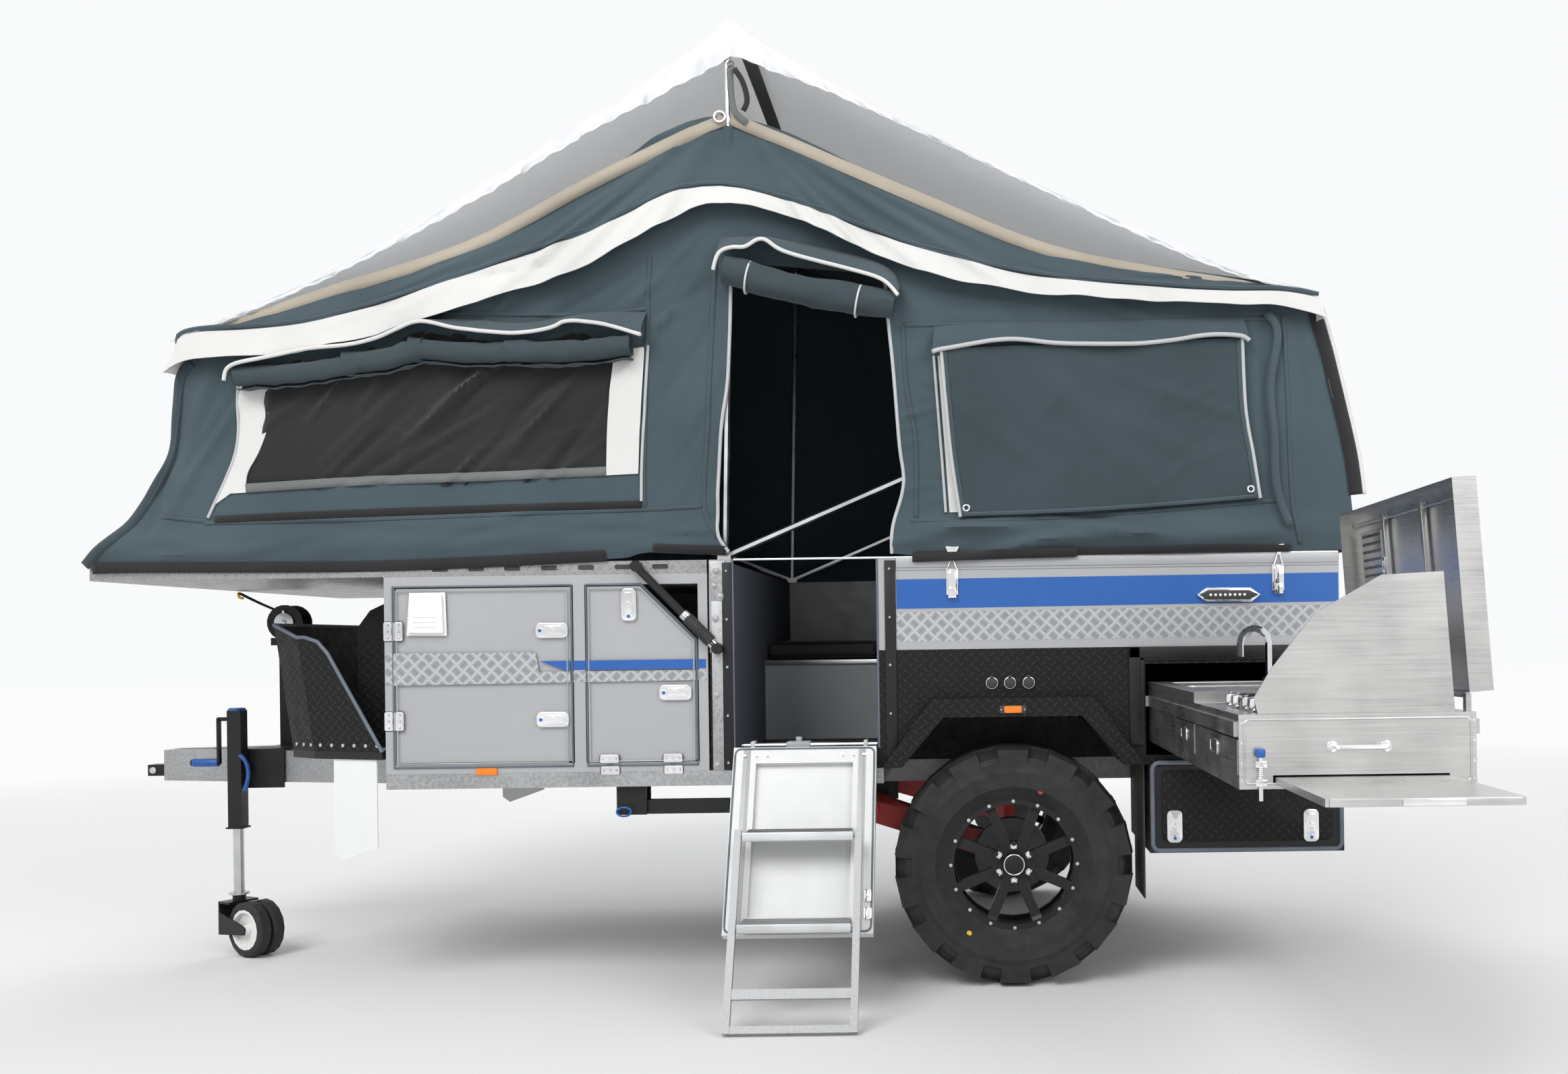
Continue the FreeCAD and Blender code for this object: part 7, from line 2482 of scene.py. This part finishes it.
    def storage(self) -> None:
        """Trim and latches of the storage box's door below the kitchen, and the bay's stepped frame."""
        pane = Pane((0, -0.974, up(0)), REARWARD, UPWARD, NEARWARD)
        settle(pane.rim((3.838, 0.452), (4.460, 0.742), 0.008, -0.001, 0.022), "storage_trim",
               "trim_rubber", "storage_door")
        settle(pane.pad((3.868, 0.480), (4.430, 0.716), -0.001, 0.004, 0.002, 0.02), "storage_panel",
               "checker_black", "storage_door")
        body, face = BodySide(), Face(Side.NEAR, 0.974 - 0.005)
        for number, place in enumerate(((3.909, 0.532), (4.359, 0.530))):
            body.latch(face, place, True, f"storage_latch_{number}", "storage_door")
        bay = Pane((0, -0.95, up(0)), REARWARD, UPWARD, NEARWARD)
        frame = [bay.pad((3.768, 0.80), (3.806, 1.126), -0.001, 0.011, 0.003),
                 bay.pad((3.768, 1.088), (4.462, 1.126), -0.001, 0.011, 0.003),
                 bay.pad((3.800, 0.80), (3.818, 1.096), -0.001, 0.006, 0.002),
                 bay.pad((3.800, 1.080), (4.420, 1.094), -0.001, 0.006, 0.002)]
        settle(fused(frame), "bay_frame", "black_paint", "trailer")

    def build(self) -> None:
        """Builds every detail."""
        self.front()
        self.drawers()
        self.hob()
        self.sink()
        self.lid()
        self.storage()


class Entry:
    """The entry door's channels, bolts and latch, the treads' grip strips and the doorway's fittings."""

    LEAN = math.radians(27)
    LEFT, RIGHT = 2.463, 2.930
    HINGE = (0.0, -0.956, 0.114)
    SKIN = 0.046
    CHANNELS = ((2.496, 2.519), (2.873, 2.896))
    BOLTS = (2.502, 2.538, 2.574, 2.820, 2.856, 2.891)
    BOLT_ROW = 0.036
    TREADS = (("tread_upper", -1.145, -0.119), ("tread_lower", -1.277, -0.379))
    SEALS = (2.4565, 2.9365)
    SEATS = (2.420, 2.876, 3.338, 3.798)
    VOXEL = 0.012
    PRESSURE = 0.8
    STIFFNESS = 60
    LAST_FRAME = 8

    def pane(self) -> Pane:
        """The open door's inner skin, from its hinge downwards.

        Returns:
            The skin's surface.
        """
        sine, cosine = math.sin(self.LEAN), math.cos(self.LEAN)
        out = (0, -cosine, sine)
        corner = tuple(h + self.SKIN * o for h, o in zip(self.HINGE, out))
        return Pane(corner, REARWARD, (0, -sine, -cosine), out)

    def door(self) -> None:
        """Channels, bolts, seals, latch and striker on the door."""
        pane = self.pane()
        channels = []
        for low, high in self.CHANNELS:
            channels.append(pane.pad((low, 0.016), (high, 0.622), -0.001, 0.0035, 0.001))
            channels.append(pane.pad((low + 0.007, 0.024), (high - 0.007, 0.614), 0.002, 0.0015, 0.0006))
        settle(fused(channels), "door_channels", "silver_paint", "entry_door")
        bolts = []
        for x in self.BOLTS:
            bolts.append(pane.round(x, self.BOLT_ROW, 0.0095, -0.001, 0.003, 20))
            bolts.append(pane.round(x, self.BOLT_ROW, 0.0068, 0.001, 0.007, 6, 0.001))
        settle(fused(bolts), "door_bolts", "stainless", "entry_door")
        settle(pane.rim((self.LEFT + 0.006, 0.012), (self.RIGHT - 0.006, 0.624), 0.0034, 0.0, 0.018),
               "door_seal", "trim_rubber", "entry_door")
        latch = [pane.pad((2.901, 0.492), (2.923, 0.532), -0.001, 0.010, 0.003),
                 pane.round(2.912, 0.512, 0.0075, 0.008, 0.008, 20, 0.001),
                 pane.pad((2.901, 0.548), (2.925, 0.588), -0.001, 0.007, 0.002, 0.008)]
        settle(fused(latch), "door_latch", "chrome", "entry_door")

    def treads(self) -> None:
        """Dark grip strips and a front lip on each tread."""
        for body, y0, top in self.TREADS:
            strips = [block((2.533, y0 - 0.022 - 0.02 * k, top - 0.003),
                            (2.860, y0 - 0.016 - 0.02 * k, top + 0.0006)) for k in range(4)]
            settle(fused(strips), f"{body}_grip", "rubber", body)
            lip = block((2.524, y0 - 0.102, top - 0.024), (2.869, y0 - 0.099, top + 0.002), 0.001)
            settle(lip, f"{body}_lip", "aluminium", body)

    def doorway(self) -> None:
        """Rubber up the doorway's sides, and the two poles kept in clips on its floor."""
        seals = [tube([(x, -0.950, up(0.803)), (x, -0.950, up(1.432))], 0.004, False, 2)
                 for x in self.SEALS]
        settle(fused(seals), "doorway_rubber", "trim_rubber", "trailer")
        poles = [tube([(2.470, y, up(h)), (2.925, y, up(h))], 0.011, False, 3)
                 for y, h in ((-0.872, 0.809), (-0.846, 0.809))]
        settle(fused(poles), "floor_poles", "pole_silver", "trailer")
        clips = [block((x, -0.888, up(0.798)), (x + 0.014, -0.830, up(0.824)), 0.003) for x in (2.50, 2.88)]
        settle(fused(clips), "pole_clips", "white_plastic", "trailer")
        clamp = [block((2.62, -0.892, up(0.798)), (2.70, -0.828, up(0.822)), 0.004),
                 disc((2.66, -0.860, up(0.829)), 0.011, 0.016, UPWARD, 20, 0.002)]
        settle(fused(clamp), "pole_clamp", "grey_board", "trailer")

    def seat_front(self) -> None:
        """The seat box's edge trim."""
        pane = Pane((0, 0.080, up(0)), REARWARD, UPWARD, NEARWARD)
        trim = pane.pad((2.420, 1.066), (3.800, 1.084), -0.001, 0.010, 0.003)
        settle(trim, "seat_trim", "aluminium", "trailer")

    def cushions(self) -> None:
        """Three wrapped seat cushions with piped edges, swollen by a cloth run."""
        pads = []
        for number, (low, high) in enumerate(zip(self.SEATS, self.SEATS[1:])):
            pad = block((low + 0.006, 0.090, up(1.090)), (high - 0.006, 0.918, up(1.158)), 0.016)
            modify(pad, "REMESH", mode="VOXEL", voxel_size=self.VOXEL)
            modify(pad, "DISPLACE", strength=-0.004, mid_level=0.0)
            self.swell(pad)
            alone(pad)
            bpy.ops.object.shade_smooth()
            settle(pad, f"cushion_{number}", "cushion_cloth", "trailer")
            pads.append(pad)
            loops = [tube([(x, y, up(h)) for x, y in Face(Side.NEAR).rounded(
                ((low + high) / 2, 0.504), (high - low - 0.018, 0.820), 0.024)], 0.0028, False, 2, True)
                for h in (1.094, 1.154)]
            settle(fused(loops), f"cushion_piping_{number}", "black_cloth", "trailer")
        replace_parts(pads[0], "seat_cushion")

    def swell(self, pad: Thing) -> None:
        """Runs the cloth solver on a closed pad with inner pressure and keeps the last frame.

        Args:
            pad: the closed pad.
        """
        cloth = pad.modifiers.new("cloth", "CLOTH")
        cloth.settings.use_pressure = True
        cloth.settings.uniform_pressure_force = self.PRESSURE
        cloth.settings.tension_stiffness = self.STIFFNESS
        cloth.settings.compression_stiffness = self.STIFFNESS
        cloth.settings.effector_weights.gravity = 0.0
        cloth.point_cache.frame_start, cloth.point_cache.frame_end = 1, self.LAST_FRAME
        for moment in range(1, self.LAST_FRAME + 1):
            bpy.context.scene.frame_set(moment)
            bpy.context.view_layer.update()
        alone(pad)
        bpy.ops.object.modifier_apply(modifier="cloth")
        bpy.context.scene.frame_set(1)

    def build(self) -> None:
        """Builds the entry and the cabin's visible inside."""
        self.door()
        self.treads()
        self.doorway()
        self.seat_front()
        self.cushions()


class Wheels:
    """Chrome nuts, lip rivets, centre cap and balance dots of the wheels."""

    CENTRE = (3.380, 0.402)
    RIVETS, RIVET_RING = 16, 0.212
    NUTS, NUT_RING = 6, 0.0575
    DOTS = (("red", 0.262, 0.35), ("yellow", 0.268, 3.75))

    def spot(self, side: Side, node: str, reach: float, turn: float) -> Point:
        """The outer surface of a wheel node at a radius and angle.

        Args:
            side: which long side of the trailer.
            node: the node whose surface is met.
            reach: the radius.
            turn: the angle.

        Returns:
            The point on the surface.
        """
        x = self.CENTRE[0] + reach * math.sin(turn)
        z = up(self.CENTRE[1] + reach * math.cos(turn))
        return touched(node, (x, side.value * 1.2, z), (0, -side.value, 0))

    def build(self) -> None:
        """Builds the trim of both wheels."""
        for side in Side:
            word, way = side.word, (0, side.value, 0)
            body = f"wheel_{word}"
            rivets = [disc(self.spot(side, f"rim_{word}", self.RIVET_RING, math.tau * k / self.RIVETS),
                           0.0062, 0.008, way, 12, 0.001) for k in range(self.RIVETS)]
            settle(fused(rivets), f"rim_rivets_{word}", "stainless", body)
            nuts = []
            for k in range(self.NUTS):
                x, y, z = self.spot(side, f"rim_{word}", self.NUT_RING, math.tau * k / self.NUTS)
                nuts.append(disc((x, y + side.value * 0.002, z), 0.0125, 0.012, way, 6, 0.001))
                nuts.append(disc((x, y + side.value * 0.012, z), 0.0095, 0.012, way, 16, 0.004))
            settle(fused(nuts), f"wheel_nuts_{word}", "chrome", body)
            x, y, z = self.spot(side, f"rim_{word}", 0.0, 0.0)
            cap = disc((x, y + side.value * 0.003, z), 0.036, 0.016, way, 32, 0.004)
            settle(cap, f"wheel_cap_{word}", "black_paint", body)
            settle(ring((x, y + side.value * 0.010, z), 0.034, 0.0022, way, 32, 8),
                   f"wheel_cap_ring_{word}", "chrome", body)
            for name, reach, turn in self.DOTS:
                place = self.spot(side, f"tyre_{word}", reach, turn)
                settle(disc(place, 0.0085, 0.0016, way, 20), f"tyre_dot_{name}_{word}", f"{name}_paint",
                       body)


class Front:
    """The stone guard's trim, the jack's grips, the coupling's plates, the winch strap and hook."""

    def guard(self) -> None:
        """Rubber edging and rivets of the stone guard."""
        for side in Side:
            sign, word = side.value, side.word
            foot_a = Vector((0.903, sign * 0.760, up(0.810)))
            foot_b = Vector((1.015, sign * 0.845, up(0.810)))
            foot_c = Vector((1.288, sign * 0.950, up(0.810)))
            head_a = Vector((0.842, sign * 0.760, up(1.240)))
            head_b = Vector((0.960, sign * 0.845, up(1.195)))
            run, rise = foot_c - foot_b, head_b - foot_b
            line = [head_a, head_b, foot_b + run * 0.12 + rise, foot_b + run * 0.30 + rise * 0.96,
                    foot_b + run * 0.42 + rise * 0.86, foot_c]
            settle(tube([tuple(p) for p in line], 0.0065, False, 3), f"guard_edge_{word}", "trim_rubber",
                   "trailer")
            rivets = []
            for start, end, count in ((foot_b, foot_c, 6), (foot_a, foot_b, 3)):
                along = (end - start).normalized()
                way = Vector((along.y, -along.x, 0)) * sign
                way = way if way.y * sign > 0 else -way
                for k in range(count):
                    place = start.lerp(end, (k + 0.6) / count) + Vector((0, 0, 0.020)) + way * 0.001
                    rivets.append(disc(tuple(place), 0.0065, 0.006, tuple(way), 12, 0.001))
            settle(fused(rivets), f"guard_rivets_{word}", "stainless", "trailer")
        nose = tube([(0.842, -0.76, up(1.240)), (0.842, 0.76, up(1.240))], 0.0065, False, 3)
        settle(nose, "guard_nose_edge", "trim_rubber", "trailer")

    def jack(self) -> None:
        """The jack's cap, crank sleeve and lever grip."""
        settle(disc((0.445, -0.245, up(0.929)), 0.031, 0.012, UPWARD, 28, 0.004), "jack_cap", "blue_paint",
               "jack_swing")
        sleeve = disc((0.3245, -0.245, up(0.728)), 0.0155, 0.098, (-1, 0, 0), 24, 0.004)
        ribs = [ring((0.285 + 0.011 * k, -0.245, up(0.728)), 0.0152, 0.0012, REARWARD, 24, 6)
                for k in range(8)]
        settle(fused([sleeve] + ribs), "crank_grip", "blue_paint", "jack_swing")
        lever = tube([(0.470, -0.277, up(0.757)), (0.492, -0.279, up(0.742)), (0.504, -0.279, up(0.700)),
                      (0.500, -0.279, up(0.655)), (0.486, -0.277, up(0.622))], 0.0075, True, 3)
        settle(lever, "jack_lever", "blue_paint", "jack_swing")

    def coupling(self) -> None:
        """The coupling's cheek plates with their bolts, and its bushes."""
        for side in Side:
            y = side.value * 0.034
            corners = ((0.062, 0.661), (0.150, 0.652), (0.262, 0.692), (0.262, 0.756), (0.120, 0.742),
                       (0.062, 0.706))
            cheek = plate([(x, y, up(h)) for x, h in corners], (0, side.value * 0.006, 0), 0.001)
            bolts = [disc((x, y + side.value * 0.010, up(h)), 0.011, 0.010, (0, side.value, 0), 6, 0.001)
                     for x, h in ((0.095, 0.685), (0.165, 0.690), (0.232, 0.725))]
            settle(fused([cheek] + bolts), f"coupling_cheek_{side.word}", "galvanised", "trailer")
        pin = [disc((0.0, side.value * 0.0325, up(0.683)), 0.013, 0.006, (0, side.value, 0), 24, 0.001)
               for side in Side]
        settle(fused(pin), "coupling_bushes", "stainless", "trailer")

    def winch(self) -> None:
        """The webbing strap to the platform, with its hook, and the winch's ratchet wheel."""
        line = ((0.512, 1.304), (0.470, 1.318), (0.425, 1.338), (0.380, 1.360), (0.338, 1.382))
        rows = [[(x, y, up(h) + 0.0012 * math.cos(math.tau * y / 0.014))
                 for y in [-0.021 + 0.0035 * k for k in range(13)]] for x, h in line]
        strap = surface(rows, SILVER)
        settle(strap, "winch_webbing", "black_webbing", "trailer")
        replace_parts(strap, "winch_strap")
        hook = tube([(0.345, 0.0, up(1.376)), (0.334, 0.0, up(1.386)), (0.330, 0.0, up(1.372)),
                     (0.338, 0.0, up(1.362)), (0.350, 0.0, up(1.362))], 0.0055, True, 3)
        settle(hook, "winch_hook", "yellow_paint", "trailer")
        wheel = [disc((0.535, -0.050, up(1.262)), 0.038, 0.006, NEARWARD, 24, 0.001)]
        wheel += [block((0.530, -0.056, up(1.298)), (0.540, -0.048, up(1.310)), 0.001),
                  disc((0.535, -0.056, up(1.262)), 0.012, 0.008, NEARWARD, 6, 0.001)]
        settle(fused(wheel), "winch_ratchet", "zinc_tube", "trailer")

    def under(self) -> None:
        """The stabilisers' release rings."""
        for side in Side:
            word = side.word
            loop = [(2.086 + 0.024 * math.cos(math.tau * k / 16), side.value * 0.948,
                     up(0.601) + 0.015 * math.sin(math.tau * k / 16)) for k in range(16)]
            settle(tube(loop, 0.0034, False, 2, True), f"stabiliser_ring_{word}", "blue_paint", "trailer")

    def build(self) -> None:
        """Builds the front's trim."""
        self.guard()
        self.jack()
        self.coupling()
        self.winch()
        self.under()


MAKERS: list[type] = [Tent, BodySide, Kitchen, Entry, Wheels, Front]


def main() -> None:
    """Builds the view, dresses the CAD nodes and adds each sub-assembly."""
    logging.basicConfig(level=logging.INFO, format="%(message)s")
    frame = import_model()
    Studio().build()
    CadDress(frame["nodes"]).build(frame["record"])
    for maker in MAKERS:
        maker().build()
        LOG.info("built %s", maker.__name__)


if __name__ == "__main__":
    main()
